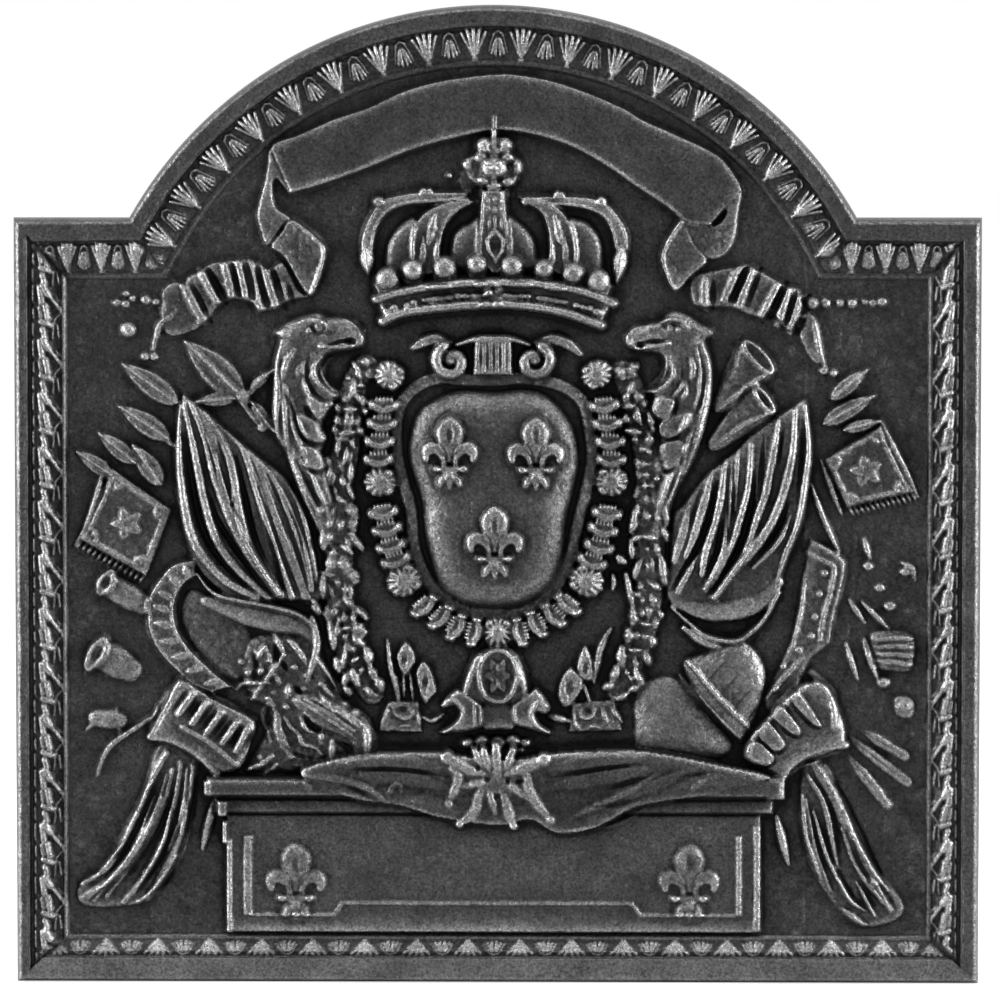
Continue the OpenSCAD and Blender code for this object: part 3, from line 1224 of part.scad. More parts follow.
module plinth_body() color(iron) stood() difference() {
    union() {
        translate([-body_w / 2, foot_w, 0]) cube([body_w, body_h, die_rise]);
        for (s = [-1, 1], i = [0, 1])
            translate([s * (body_w / 2 - strip_w - strip_gap * i) - strip_w / 2, foot_w, 0])
                cube([strip_w, body_h - 16 * i, body_rise]);
        for (s = [-1, 1]) translate([0, foot_w, 0]) linear_extrude(body_rise) polygon([
            [s * (body_w / 2), body_h], [s * (body_w / 2 + slab_over * 0.6), body_h],
            [s * (body_w / 2 + slab_over * 0.6), body_h * 0.9], [s * (body_w / 2 + 3), body_h * 0.6],
            [s * (body_w / 2), body_h * 0.55]
        ]);
    }
    translate([0, 0, -1]) linear_extrude(60) {
        clear() cloth_print();
        clear() cross_print();
    }
}
// A raised line round the foot of the die, stepped up in the middle.
strip_w = 8;
strip_gap = 16;
die_rise = body_rise - 4;
panel_half = body_w / 2 - 2 * strip_w - strip_gap - 4;
line_w = 4;
step_up = 12;
step_half = body_w * 0.28;
panel_z = foot_w + 18;
module plinth_panel() color(iron_rim) stood(field_t + die_rise) linear_extrude(3) union() {
    for (s = [-1, 1]) {
        translate([s > 0 ? step_half : -panel_half, panel_z]) square([panel_half - step_half, line_w]);
        translate([s * step_half - line_w / 2, panel_z]) square([line_w, step_up + line_w]);
    }
    translate([-step_half, panel_z + step_up]) square([2 * step_half, line_w]);
}
// The two lilies stand over the ends of the raised line.
lily_size = min(1, (body_h - 45) / 75);
module plinth_lilies() color(iron_rim) stood(field_t + die_rise) for (s = [-1, 1])
    translate([s * (panel_half - 42), panel_z + line_w + 4]) translate(-at(0, 42 * lily_size))
        lily(0, 0, lily_size, 0, fold + 2);
module plinth_cloth() color(iron) stood() carved() {
    cloth_print();
    union() {
        slab([[290, 745], [760, 745], [760, 840], [290, 840]], slab_rise - 2);
        for (f = [[[330, 764], [400, 796], [452, 812]], [[362, 757], [430, 778], [458, 790]],
                  [[640, 757], [590, 774], [544, 786]], [[700, 768], [620, 790], [552, 812]],
                  [[640, 784], [596, 806], [560, 826]]])
            ridge(f, 6, fold, base = slab_rise - 2.5);
    }
}

plate();
border_left();
border_right();
border_foot();
border_shoulder_left();
border_shoulder_right();
border_arch();
leaves_left();
leaves_right();
leaves_foot();
leaves_shoulders();
leaves_arch();
ribbon_band();
ribbon_tail_left();
ribbon_tail_right();
crown_circlet();
crown_jewels();
crown_straps();
crown_cap();
crown_pearls();
crown_finial();
shield();
shield_lilies();
shield_frame();
shield_volutes();
collar_shells();
collar_links();
outer_collar_left();
outer_collar_right();
medallion();
scroll_bracket();
cross_pendant();
eagle_left();
eagle_right();
flag_left();
flag_right();
spears_left();
spears_right();
banner_left();
banner_right();
crescent_left();
cannons_left();
helmet_left();
quiver_left();
drapery_left();
trumpets_right();
drum_right();
buckler_right();
quiver_right();
drapery_right();
arrows_right();
plinth_slab();
plinth_body();
plinth_panel();
plinth_lilies();
plinth_cloth();
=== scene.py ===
import math
import bpy
import bmesh
import numpy as np
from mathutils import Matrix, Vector


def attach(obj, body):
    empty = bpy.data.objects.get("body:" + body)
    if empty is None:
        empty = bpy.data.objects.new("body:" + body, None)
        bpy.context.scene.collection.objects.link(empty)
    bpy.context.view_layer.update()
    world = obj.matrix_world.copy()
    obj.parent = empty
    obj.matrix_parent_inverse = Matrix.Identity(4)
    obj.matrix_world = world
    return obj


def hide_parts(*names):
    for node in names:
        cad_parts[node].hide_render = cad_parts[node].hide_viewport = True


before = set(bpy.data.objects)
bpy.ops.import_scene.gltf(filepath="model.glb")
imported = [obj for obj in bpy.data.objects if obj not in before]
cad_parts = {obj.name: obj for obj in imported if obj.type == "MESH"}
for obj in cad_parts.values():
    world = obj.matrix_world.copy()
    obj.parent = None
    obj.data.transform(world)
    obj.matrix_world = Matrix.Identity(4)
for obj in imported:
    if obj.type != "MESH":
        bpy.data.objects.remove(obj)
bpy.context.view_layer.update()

print("frame loaded:", len(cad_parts), "cast pieces")

# the drawing sheet: u runs right and v runs down, in mm, and the relief is in mm above the plain field
sheet = {
    "middle": 497,      # u of the plate's upright middle line
    "foot": 986,        # v of the plate's foot
    "cell": 1.25,       # distance between the points of the relief
    "left": 56, "right": 941, "top": 56, "bottom": 946,
    "field": 20.0,      # back of the plate to the plain field
    "seat": 18.0,       # back of the plate to where the cast pieces sit
    "deepest": 1.6,     # lowest that weathering may cut the field
    "highest": 27.6,    # the tallest relief, which stays under the plate's full depth
}

cell = sheet["cell"]
uLine = np.arange(sheet["left"], sheet["right"] + cell / 2, cell)
vLine = np.arange(sheet["top"], sheet["bottom"] + cell / 2, cell)
uGrid, vGrid = np.meshgrid(uLine, vLine)
relief = np.zeros(uGrid.shape)
owner = np.zeros(uGrid.shape, int)
pieceNames = ["field"]


def numberOf(name):
    if name not in pieceNames:
        pieceNames.append(name)
    return pieceNames.index(name)


def place(u, v, height):
    # a point of the sheet, in metres in the plate's own frame
    return Vector(((u - sheet["middle"]) / 1000, -height / 1000, (sheet["foot"] - v) / 1000))


# drawing on the sheet

def flow(points, closed=False, parts=7):
    # a smooth line through the points
    p = np.asarray(points, float)
    if len(p) < 3:
        return p
    if closed:
        p = np.vstack([p[-1], p, p[0], p[1]])
    else:
        p = np.vstack([2 * p[0] - p[1], p, 2 * p[-1] - p[-2]])
    share = np.linspace(0, 1, parts, endpoint=False)[:, None]
    line = []
    for a, b, c, d in zip(p[:-3], p[1:-2], p[2:-1], p[3:]):
        line.append(0.5 * (2 * b + (c - a) * share + (2 * a - 5 * b + 4 * c - d) * share ** 2
                           + (3 * b - a - 3 * c + d) * share ** 3))
    if not closed:
        line.append(p[-2:-1])
    return np.vstack(line)


def around(points, margin):
    # the part of the relief that holds the points
    p = np.asarray(points, float)
    c0 = max(int((p[:, 0].min() - margin - sheet["left"]) / cell), 0)
    c1 = max(int((p[:, 0].max() + margin - sheet["left"]) / cell) + 2, 0)
    r0 = max(int((p[:, 1].min() - margin - sheet["top"]) / cell), 0)
    r1 = max(int((p[:, 1].max() + margin - sheet["top"]) / cell) + 2, 0)
    return np.s_[r0:r1, c0:c1]


def nearPath(path, u, v):
    # distance to a line, and how far along it, from 0 to 1
    nearest = np.full(u.shape, 1e9)
    along = np.zeros(u.shape)
    lengths = np.hypot(*np.diff(path, axis=0).T)
    run = 0
    for a, b, length in zip(path[:-1], path[1:], lengths):
        if length < 1e-6:
            continue
        way = (b - a) / length
        step = np.clip((u - a[0]) * way[0] + (v - a[1]) * way[1], 0, length)
        gap = (u - a[0] - step * way[0]) ** 2 + (v - a[1] - step * way[1]) ** 2
        nearer = gap < nearest
        nearest[nearer] = gap[nearer]
        along[nearer] = run + step[nearer]
        run += length
    return np.sqrt(nearest), along / max(run, 1e-6)


def within(path, u, v):
    # which points lie inside a closed outline
    inside = np.zeros(u.shape, bool)
    for a, b in zip(path, np.roll(path, -1, axis=0)):
        if a[1] == b[1]:
            continue
        crosses = (a[1] > v) != (b[1] > v)
        inside ^= crosses & (u < a[0] + (v - a[1]) * (b[0] - a[0]) / (b[1] - a[1]))
    return inside


def lay(name, view, shape, base=None, claim=0.25):
    # without a base the shape swells what is there; with one it stands there, where it is the higher
    number = numberOf(name)
    if base is None:
        relief[view] += shape
        owner[view][shape > claim] = number
    else:
        wins = (shape > 0) & (base + shape > relief[view])
        relief[view][wins] = (base + shape)[wins]
        owner[view][wins] = number


def strip(points, width, ends, smooth=True):
    # the relief round a line, the line's share of its full size there, and its rounded section; ends says how
    # much of its size the line keeps at its first and last points
    first, last = ends if isinstance(ends, tuple) else (ends, ends)
    path = flow(points) if smooth else np.asarray(points, float)
    view = around(path, width + cell)
    gap, along = nearPath(path, uGrid[view], vGrid[view])
    full = np.clip(np.minimum(first + (1 - first) * along * 3,
                              last + (1 - last) * (1 - along) * 3), 0.05, 1)
    return view, full, np.clip(1 - (gap / (width * full)) ** 2, 0, None)


def ridge(name, points, width, rise, base=None, ends=0.5, power=0.6, smooth=True):
    # a rounded strand of half this width along a line, drawn in at its ends
    view, full, section = strip(points, width, ends, smooth)
    lay(name, view, rise * full * section ** power, base)


def groove(points, width, depth, ends=0.5):
    # a hollow line, which stays on the piece it is cut in
    view, full, section = strip(points, width, ends)
    relief[view] -= depth * full * section


def ridges(name, lines, width, rise, base=None, **looks):
    for line in lines:
        ridge(name, line, width, rise, base, **looks)


def strokes(name, parts, **looks):
    # each part is a line with its own half width and height
    for line, width, rise in parts:
        ridge(name, line, width, rise, **looks)


def cuts(parts, **looks):
    # each part is a line with its own half width and depth
    for line, width, depth in parts:
        groove(line, width, depth, **looks)


def dome(name, outline, rise, edge, base=None, smooth=True, power=0.5):
    # a filled form whose rim is rounded over this distance
    path = flow(outline, closed=True) if smooth else np.asarray(outline, float)
    view = around(path, 2 * cell)
    u, v = uGrid[view], vGrid[view]
    gap, _ = nearPath(np.vstack([path, path[:1]]), u, v)
    inside = within(path, u, v)
    into = np.clip(gap / edge, 0, 1)
    shape = rise * (1 - (1 - into) ** 2) ** power
    lay(name, view, np.where(inside, shape, 0), base)


def bandOf(upper, lower):
    # the outline of the band between two smooth lines
    return np.vstack([flow(upper), flow(lower)[::-1]])


def spot(u, v, ru, rv, turn):
    # the relief round an oval, and how far out each point lies, squared, with the rim at 1
    view = around([[u, v]], max(ru, rv) + cell)
    du, dv = uGrid[view] - u, vGrid[view] - v
    c, s = math.cos(math.radians(turn)), math.sin(math.radians(turn))
    return view, ((du * c + dv * s) / ru) ** 2 + ((dv * c - du * s) / rv) ** 2


def oval(name, u, v, ru, rv, rise, base=None, turn=0, power=0.5):
    view, far = spot(u, v, ru, rv, turn)
    lay(name, view, rise * np.clip(1 - far, 0, None) ** power, base)


def hollow(u, v, ru, rv, depth, turn=0):
    view, far = spot(u, v, ru, rv, turn)
    relief[view] -= depth * np.clip(1 - far, 0, None)


def hoop(name, u, v, ru, rv, width, rise, base=None, turn=0):
    # an oval ring
    c, s = math.cos(math.radians(turn)), math.sin(math.radians(turn))
    line = [(u + ru * math.cos(t) * c - rv * math.sin(t) * s,
             v + ru * math.cos(t) * s + rv * math.sin(t) * c) for t in np.radians(np.arange(0, 361, 15))]
    ridge(name, line, width, rise, base, ends=1)


def leaf(name, foot, tip, width, rise, base=None, crease=0.35):
    # a pointed leaf with a creased middle
    foot, tip = np.asarray(foot, float), np.asarray(tip, float)
    length = np.hypot(*(tip - foot))
    way = (tip - foot) / length
    view = around([foot, tip], width + cell)
    du, dv = uGrid[view] - foot[0], vGrid[view] - foot[1]
    along = (du * way[0] + dv * way[1]) / length
    across = du * -way[1] + dv * way[0]
    inside = (along > 0) & (along < 1)
    half = width * np.clip(np.sin(np.pi * np.clip(along, 0, 1) ** 0.75), 0, 1) ** 0.8 + 0.01
    spread = np.clip(1 - (across / half) ** 2, 0, None)
    body = spread ** 0.5 * (1 - crease * np.exp(-(across / (0.16 * width)) ** 2))
    lay(name, view, np.where(inside, rise * body, 0), base)


def fan(name, u, v, radius, turn, rise, base, ribs=6.5):
    # a domed scallop shell, smooth in the middle, with ribs round its rim and two lobes at the hinge, which
    # points the way of turn (0 is up the sheet)
    t = math.radians(turn)
    view = around([[u, v]], radius * 1.4)
    du, dv = uGrid[view] - u, vGrid[view] - v
    away = du * -math.sin(t) + dv * math.cos(t)
    side = du * math.cos(t) + dv * math.sin(t)
    angle = np.arctan2(side, away + radius * 0.12)
    wave = 0.5 + 0.5 * np.cos(angle * ribs * 2)
    out = np.hypot(away * 0.95, side * 1.04) / (radius * (0.95 + 0.05 * wave))
    body = np.clip(1 - out ** 2, 0, None) ** 0.4
    body = body * (1 - 0.34 * (1 - wave) * np.clip((out - 0.3) / 0.35, 0, 1))
    lay(name, view, rise * body, base)
    for way in (-42, 42):
        a = t + math.radians(way)
        oval(name, u + radius * 0.8 * math.sin(a), v - radius * 0.8 * math.cos(a),
             radius * 0.34, radius * 0.26, rise * 0.9, base, turn + way)


def soften(heights, passes):
    # each pass blends a point with its four neighbours
    for _ in range(passes):
        wide = np.pad(heights, 1, mode="edge")
        heights = (wide[:-2, 1:-1] + wide[2:, 1:-1] + wide[1:-1, :-2] + wide[1:-1, 2:] + 4 * heights) / 8
    return heights


def mottle(u, v, pitch, seed):
    # seeded smooth unevenness, from -1 to 1, with lumps this far apart in mm
    rng = np.random.default_rng(seed)
    table = rng.uniform(-1, 1, (67, 67))
    a, b = u / pitch % 66, v / pitch % 66
    i, j = np.floor(a).astype(int), np.floor(b).astype(int)
    fa, fb = a - i, b - j
    fa, fb = fa * fa * (3 - 2 * fa), fb * fb * (3 - 2 * fb)
    near = table[j, i] * (1 - fa) + table[j, i + 1] * fa
    far = table[j + 1, i] * (1 - fa) + table[j + 1, i + 1] * fa
    return near * (1 - fb) + far * fb


def castSkin(u, v, seed):
    # the skin that damp sand leaves on iron
    return (0.30 * mottle(u, v, 23, seed) + 0.20 * mottle(u, v, 8, seed + 1)
            + 0.20 * mottle(u, v, 3.7, seed + 2) + 0.17 * mottle(u, v, 2.1, seed + 3))


# faint mould lines in the field
mouldLines = {
    "lines": [[(805, 240), (805, 935)], [(497, 118), (497, 150)]], "width": 1.8, "rise": 0.9,
}
ridges("field", mouldLines["lines"], mouldLines["width"], mouldLines["rise"], ends=0.6)

# the ribbon over the crown, with its two tails
ribbon = {
    "upper": [(271, 150), (277, 143), (300, 135), (332, 121), (370, 108), (405, 92), (446, 81), (497, 75),
        (519, 76), (548, 81), (580, 91), (621, 108), (643, 121), (679, 137), (717, 156), (736, 179),
        (741, 191)],
    "lower": [(290, 194), (322, 185), (367, 169), (414, 150), (462, 137), (497, 131), (532, 135), (570, 147),
        (605, 166), (637, 188), (666, 207), (685, 222), (710, 226)],
    "thick": 8.5, "rim": 2.6, "hem": 2.8, "hemRise": 3.2,
}


def drawRibbon():
    dome("ribbon_band", bandOf(ribbon["upper"], ribbon["lower"]), ribbon["thick"], ribbon["rim"], base=0,
         smooth=False)
    ridges("ribbon_band", (ribbon["upper"], ribbon["lower"]), ribbon["hem"], ribbon["hemRise"], ends=1)


ribbonLeft = {
    "fall": [(271, 150), (265, 179), (257, 210), (259, 228), (268, 247), (284, 226), (291, 218), (276, 205),
        (276, 180), (290, 194)],
    "panel": [(293, 220), (319, 239), (327, 255), (311, 297), (284, 258), (271, 247), (281, 232)],
    "panelRim": [(294, 219), (318, 238), (326, 256), (311, 297)],
    "tail": [(185, 283), (200, 270), (215, 262), (240, 259), (255, 260), (270, 268), (284, 262), (300, 290),
        (310, 297), (290, 302), (275, 310), (260, 312), (250, 303), (235, 300), (220, 306), (203, 323)],
    "pleats": [[(184, 285), (203, 323)], [(200, 270), (217, 302)], [(225, 265), (232, 296)],
        [(238, 262), (246, 298)], [(248, 262), (260, 310)], [(265, 272), (277, 308)],
        [(280, 285), (285, 303)]],
    "end": [(163, 290), (184, 284), (203, 322), (180, 336), (163, 330)],
    "curl": [(186, 300), (172, 316), (160, 325), (153, 350)],
    "knobs": [(145, 357, 5), (154, 357, 5), (128, 330, 9), (117, 303, 5), (126, 294, 4), (126, 304, 5),
        (133, 299, 4), (146, 300, 6), (156, 302, 5), (166, 304, 5)],
    "thick": 7, "fold": 4.5,
}
ribbonRight = {
    "fall": [(741, 191), (738, 217), (736, 236), (726, 255), (708, 260), (694, 246), (680, 221), (710, 226),
        (724, 214), (722, 190)],
    "panel": [(680, 220), (661, 252), (664, 274), (675, 292), (691, 277), (707, 261), (694, 243)],
    "panelRim": [(681, 220), (661, 252), (665, 276), (675, 292)],
    "tail": [(691, 277), (712, 270), (736, 266), (749, 265), (781, 282), (801, 293), (790, 331), (771, 314),
        (760, 319), (726, 308), (698, 308), (690, 298)],
    "pleats": [[(704, 281), (704, 308)], [(738, 268), (723, 300)], [(752, 268), (738, 306)],
        [(777, 284), (761, 316)], [(787, 290), (777, 325)], [(800, 297), (789, 332)]],
    "end": [(796, 300), (812, 316), (824, 356), (812, 362), (798, 334)],
    "curl": [(800, 316), (812, 319), (819, 350), (824, 366)],
    "knobs": [(823, 371, 5), (833, 373, 5), (812, 303, 7), (825, 303, 6), (839, 303, 5), (851, 303, 6),
        (864, 302, 4), (872, 303, 5), (881, 302, 6)],
    "thick": 7, "fold": 4.5,
}


def drawTail(name, tail):
    dome(name, tail["end"], tail["thick"] - 2, edge=3, base=0)
    dome(name, tail["tail"], tail["thick"] - 1, edge=5, base=0)
    for number, pleat in enumerate(tail["pleats"]):
        ridge(name, pleat, width=5, rise=tail["fold"], ends=0.8)
        groove(np.asarray(pleat, float) + (8.5, 0), width=3 + number % 2 * 1.6, depth=4 + number % 2 * 2,
               ends=0.7)
    dome(name, tail["fall"], tail["thick"], edge=4, base=0)
    dome(name, tail["panel"], tail["thick"] + 1, edge=3, base=0)
    ridge(name, tail["panelRim"], width=4, rise=3.5, ends=(0.8, 0.6))
    ridge(name, tail["curl"], width=4.5, rise=7, base=0)
    for u, v, r in tail["knobs"]:
        oval(name, u, v, r, r, r + 1, base=0)


# crown
crown = {
    "pit": [(376, 276), (367, 246), (374, 214), (396, 203), (440, 200), (497, 192), (552, 200), (590, 206),
        (612, 216), (620, 246), (612, 280), (560, 270), (497, 266), (430, 270)],
    "pitRise": 1.2,
    "lobes": [[(386, 276), (385, 250), (391, 234), (403, 221), (416, 217), (424, 240), (424, 274)],
        [(450, 268), (450, 240), (457, 228), (468, 222), (480, 219), (484, 268)], [(506, 268), (507, 218),
        (521, 222), (532, 233), (538, 248), (538, 270)], [(566, 276), (567, 222), (578, 218), (590, 223),
        (600, 236), (604, 252), (602, 280)]],
    "lobeRise": 12, "lobeEdge": 10,
    "outerStraps": [([(470, 193), (440, 193), (420, 193), (398, 196), (381, 202), (369, 220), (363, 236),
        (361, 251)], [(464, 200), (434, 203), (408, 205), (390, 212), (379, 225), (375, 238), (373, 253)]),
        ([(518, 197), (552, 197), (585, 198), (606, 204), (619, 218), (627, 234), (628, 250)], [(524, 204),
        (562, 206), (588, 210), (603, 218), (611, 232), (615, 250)])],
    "innerStraps": [([(468, 198), (440, 205), (422, 216), (414, 234), (414, 262), (424, 275)], [(476, 202),
        (458, 212), (446, 226), (441, 244), (440, 262), (430, 275)]), ([(522, 202), (540, 212), (548, 230),
        (549, 250), (548, 264), (558, 275)], [(526, 199), (554, 206), (568, 220), (575, 240), (575, 262),
        (564, 275)])],
    "middleStrap": ([(482, 190), (480, 215), (479, 240), (480, 256), (492, 274)], [(505, 190), (507, 215),
        (509, 240), (509, 256), (499, 274)]),
    "strapRise": 12, "rim": 2.7, "rimRise": 3.6,
    "blades": [((428, 246), (436, 214), 4.4), ((422, 270), (424, 236), 4.4), ((436, 268), (437, 240), 3.4),
        ((562, 246), (554, 214), 4.4), ((566, 270), (565, 236), 4.4), ((553, 268), (552, 240), 3.4)],
    "drops": [((366, 247), (369, 276), 8.5), ((622, 246), (616, 284), 8.5)],
    "lozenge": [(495, 231), (504, 241), (503, 250), (496, 262), (489, 250), (487, 241), (495, 231)],
    "lozengeDish": (495.5, 245, 6, 9),
    "teeth": [(488, 201), (495, 200), (502, 201), (488, 209), (495, 210), (502, 209)],
    "bars": [[(490, 218), (489, 229)], [(501, 218), (502, 229)], [(495, 216), (495, 228)]],
    "beads": [(424, 192, 4.4), (430, 192, 4), (379, 202, 6), (557, 195, 4.4), (562, 196, 4), (601, 202, 6),
        (525, 202, 4.5), (450, 176, 3.4)],
    "pearls": [(388, 279, 13), (413, 270, 12), (445, 268, 13), (477, 264, 11.5), (512, 266, 12.5),
        (544, 269, 11), (573, 273, 12.5), (598, 281, 13)],
    "pearlRise": 14, "pearlBase": 9,
    "rimUpper": [(377, 299), (401, 292), (442, 285), (493, 282), (544, 284), (585, 292), (613, 303)],
    "rimLower": [(383, 321), (401, 313), (432, 308), (483, 304), (524, 305), (564, 312), (601, 325)],
    "seat": [(381, 288), (413, 281), (445, 276), (493, 272), (544, 276), (585, 282), (608, 291)],
    "rimWidth": 5.6, "barRise": 12.5, "circletRise": 13,
    "bands": [[(424, 300), (452, 297)], [(538, 298), (566, 302)], [(470, 296), (484, 295.5)],
        [(500, 295.5), (516, 296)]],
    "jewels": [(388, 311, 4.5, 4), (395, 307, 4, 3.6), (407, 305, 3.5, 3.4), (414, 302, 3.5, 3.4),
        (459, 296, 3.5, 3.4), (465, 296, 3.5, 3.4), (491, 294, 6, 5), (498, 300, 4, 3.5),
        (522, 296, 3.5, 3.4), (528, 296, 3.5, 3.4), (576, 305, 3.5, 3.4), (583, 307, 3.5, 3.4),
        (590, 308, 4, 3.6), (597, 312, 4.5, 4), (481, 285, 6, 4), (491, 283, 6, 5), (488, 291, 4, 4),
        (498, 289, 4, 4), (486, 304, 5, 4), (497, 305, 5, 4), (440, 287, 12, 3), (520, 285, 12, 3),
        (556, 289, 10, 3)],
    "finial": [(494, 168, 15, 13), (484, 146, 8, 9), (505, 146, 8, 9), (494, 152, 6, 16), (481, 158, 7, 7),
        (507, 158, 7, 7), (468, 165, 6, 7), (517, 167, 6, 9), (508, 182, 8, 6), (484, 181, 8, 6),
        (494, 186, 9, 6), (494, 134, 3.4, 8), (495, 123, 2.8, 11)],
    "finialDisc": (469, 180, 10, 12),
    "finialDots": [(488, 163), (500, 163), (488, 174), (500, 174), (494, 168), (494, 180), (488, 152),
        (500, 152)],
    "finialBed": [(480, 138), (508, 138), (512, 152), (520, 160), (520, 174), (512, 186), (478, 188),
        (464, 172), (464, 160), (476, 152)],
}


def drawStrap(edges, rise, rim):
    # a flat band between two lines, with a raised rim along each
    dome("crown_straps", bandOf(*edges), rise, edge=2.2, base=0, smooth=False)
    ridges("crown_straps", edges, rim, crown["rimRise"], ends=1)


def drawCrown():
    dome("crown_cap", crown["pit"], crown["pitRise"], edge=3, base=0)
    for outline in crown["lobes"]:
        dome("crown_cap", outline, crown["lobeRise"], crown["lobeEdge"], base=0, power=0.6)
    rise, rim = crown["strapRise"], crown["rim"]
    oval("crown_finial", *crown["finialDisc"], rise=3, base=0, power=0.3)
    dome("crown_finial", crown["finialBed"], rise=8, edge=5, base=0)
    for edges in crown["outerStraps"]:
        drawStrap(edges, rise - 3, rim)
    for edges in crown["innerStraps"]:
        drawStrap(edges, rise - 1, rim)
    for foot, tip, width in crown["blades"]:
        leaf("crown_straps", foot, tip, width, rise=3.4, crease=0.0)
    for foot, tip, width in crown["drops"]:
        leaf("crown_straps", foot, tip, width, rise=13, base=0, crease=-0.2)
    drawStrap(crown["middleStrap"], rise, rim + 0.8)
    ridge("crown_straps", crown["lozenge"], width=2.2, rise=3.6, ends=1, smooth=False)
    hollow(*crown["lozengeDish"], depth=3)
    for u, v in crown["teeth"]:
        oval("crown_straps", u, v, 2.6, 2.8, rise=2.4)
    ridges("crown_straps", crown["bars"], width=2.0, rise=2.6)
    for u, v, r in crown["beads"]:
        oval("crown_pearls", u, v, r, r, r, base=9)
    dome("crown_circlet", bandOf(crown["seat"], crown["rimUpper"]), rise=9, edge=3, base=0, smooth=False)
    dome("crown_circlet", bandOf(crown["rimUpper"], crown["rimLower"]), crown["circletRise"], edge=3, base=0,
         smooth=False)
    ridges("crown_circlet", (crown["rimUpper"], crown["rimLower"]), crown["rimWidth"], crown["barRise"],
           base=8, ends=1, power=0.45)
    ridges("crown_jewels", crown["bands"], width=3.8, rise=4.6, ends=0.8)
    for u, v, ru, rv in crown["jewels"]:
        oval("crown_jewels", u, v, ru * 1.2, rv * 1.15, rise=5)
    for u, v, r in crown["pearls"]:
        ridge("crown_pearls", [(u - r, v + r * 0.35), (u - r * 0.6, v + r * 0.95), (u, v + r * 1.05),
              (u + r * 0.6, v + r * 0.95), (u + r, v + r * 0.35)], width=2.6, rise=5,
              base=crown["pearlBase"])
        oval("crown_pearls", u, v, r, r, crown["pearlRise"], crown["pearlBase"])
    for u, v, ru, rv in crown["finial"]:
        oval("crown_finial", u, v, ru, rv, min(ru, rv) * 0.7 + 5, base=4)
    for u, v in crown["finialDots"]:
        oval("crown_finial", u, v, 3.6, 3.4, rise=3.0)


# shield
shield = {
    "outline": [(494, 391), (459, 389), (436, 398), (417, 412), (408, 439), (408, 462), (415, 484),
        (421, 502), (423, 530), (429, 559), (440, 590), (463, 606), (494, 609), (523, 606), (551, 589),
        (563, 559), (567, 521), (574, 492), (580, 462), (574, 427), (561, 408), (544, 393), (523, 388)],
    "rise": 14.5, "edge": 24, "swell": 4, "swellSpread": (80, 106),
    "ring": [(494, 380), (467, 380), (440, 378), (418, 386), (401, 404), (396, 430), (398, 460), (405, 488),
        (411, 512), (413, 540), (420, 566), (436, 592), (464, 611), (494, 615), (524, 612), (551, 594),
        (570, 560), (577, 528), (584, 500), (592, 462), (590, 432), (583, 403), (562, 386), (530, 379)],
    "ringWidth": 6.8, "ringRise": 5.5, "lilies": [(450, 445, 1.0), (536, 446, 1.0), (495, 535, 1.0)],
}


def drawLily(name, u, v, size, rise, worn=1.0):
    # broad middle petal, two curled side petals, the band with its knobs and the spread foot
    s = size

    def at(a, b):
        return u + a * s, v + b * s

    moat = [at(0, -33), at(17, -16), at(15, -6), at(30, 2), at(30, 18), at(18, 24), at(13, 42), at(0, 47),
            at(-13, 42), at(-18, 24), at(-30, 18), at(-30, 2), at(-15, -6), at(-17, -16)]
    ridge(name, moat + moat[:1], 5 * s, rise=-0.9, ends=1, power=1.5)
    petal = [(0, -31), (8, -27), (13.5, -19), (14.5, -10), (12, -2), (7.5, 5), (3.6, 11), (2.6, 17)]
    petal = [at(a, b) for a, b in petal] + [at(-a, b) for a, b in petal[:0:-1]]
    dome(name, petal, rise * worn, 6.5 * s)
    hollow(u, v - 11 * s, 4.5 * s, 11 * s, rise * 0.3 * worn)
    for side in (-1, 1):
        wing = [(2.8, 19), (3.6, 9), (8, 0.5), (15, -5), (22.5, -4.5), (28, 0.5), (29.5, 8), (26, 17),
                (20.5, 17), (19, 11.5), (16, 9.5), (12.5, 11.5), (9.5, 15), (8, 19.5)]
        dome(name, [at(side * a, b) for a, b in wing], rise * 0.95 * worn, 4.6 * s)
        oval(name, *at(side * 14.5, 23.2), 5 * s, 5 * s, rise * 0.8 * worn)
        ridge(name, [at(side * 3.6, 29), at(side * 7.5, 34), at(side * 10, 40)], 4.6 * s, rise * 0.8 * worn,
              ends=(0.9, 0.7))
    ridge(name, [at(0, 29), at(0, 43)], 4.2 * s, rise * 0.8 * worn, ends=(0.9, 0.6))
    ridge(name, [at(-14, 23), at(0, 23.6), at(14, 23)], 4.4 * s, rise * 0.85 * worn, ends=0.9)


def drawShield():
    ridge("shield_frame", shield["ring"] + shield["ring"][:1], shield["ringWidth"], shield["ringRise"],
          base=1.5, ends=1, power=0.3)
    dome("shield", shield["outline"], shield["rise"], shield["edge"], base=0, power=0.62)
    middle = np.mean(shield["outline"], axis=0)
    oval("shield", *middle, *shield["swellSpread"], rise=shield["swell"], power=1.0)
    for u, v, size in shield["lilies"]:
        drawLily("shield_lilies", u, v, size, rise=7.6)


volutes = {
    "scrolls": [(452, 361, -1), (534, 361, 1)], "block": [(474, 337), (512, 337), (514, 376), (472, 376)],
    "arms": [[(414, 348), (424, 342), (436, 339), (450, 343)], [(580, 354), (566, 343), (551, 339),
        (536, 343)]],
    "flutes": [481, 487.5, 494, 500.5, 507], "fluteTop": 341, "fluteFoot": 373,
    "cornice": [(456, 345), (476, 339), (494, 338), (512, 339), (530, 345)], "rise": 11, "radius": 17,
}


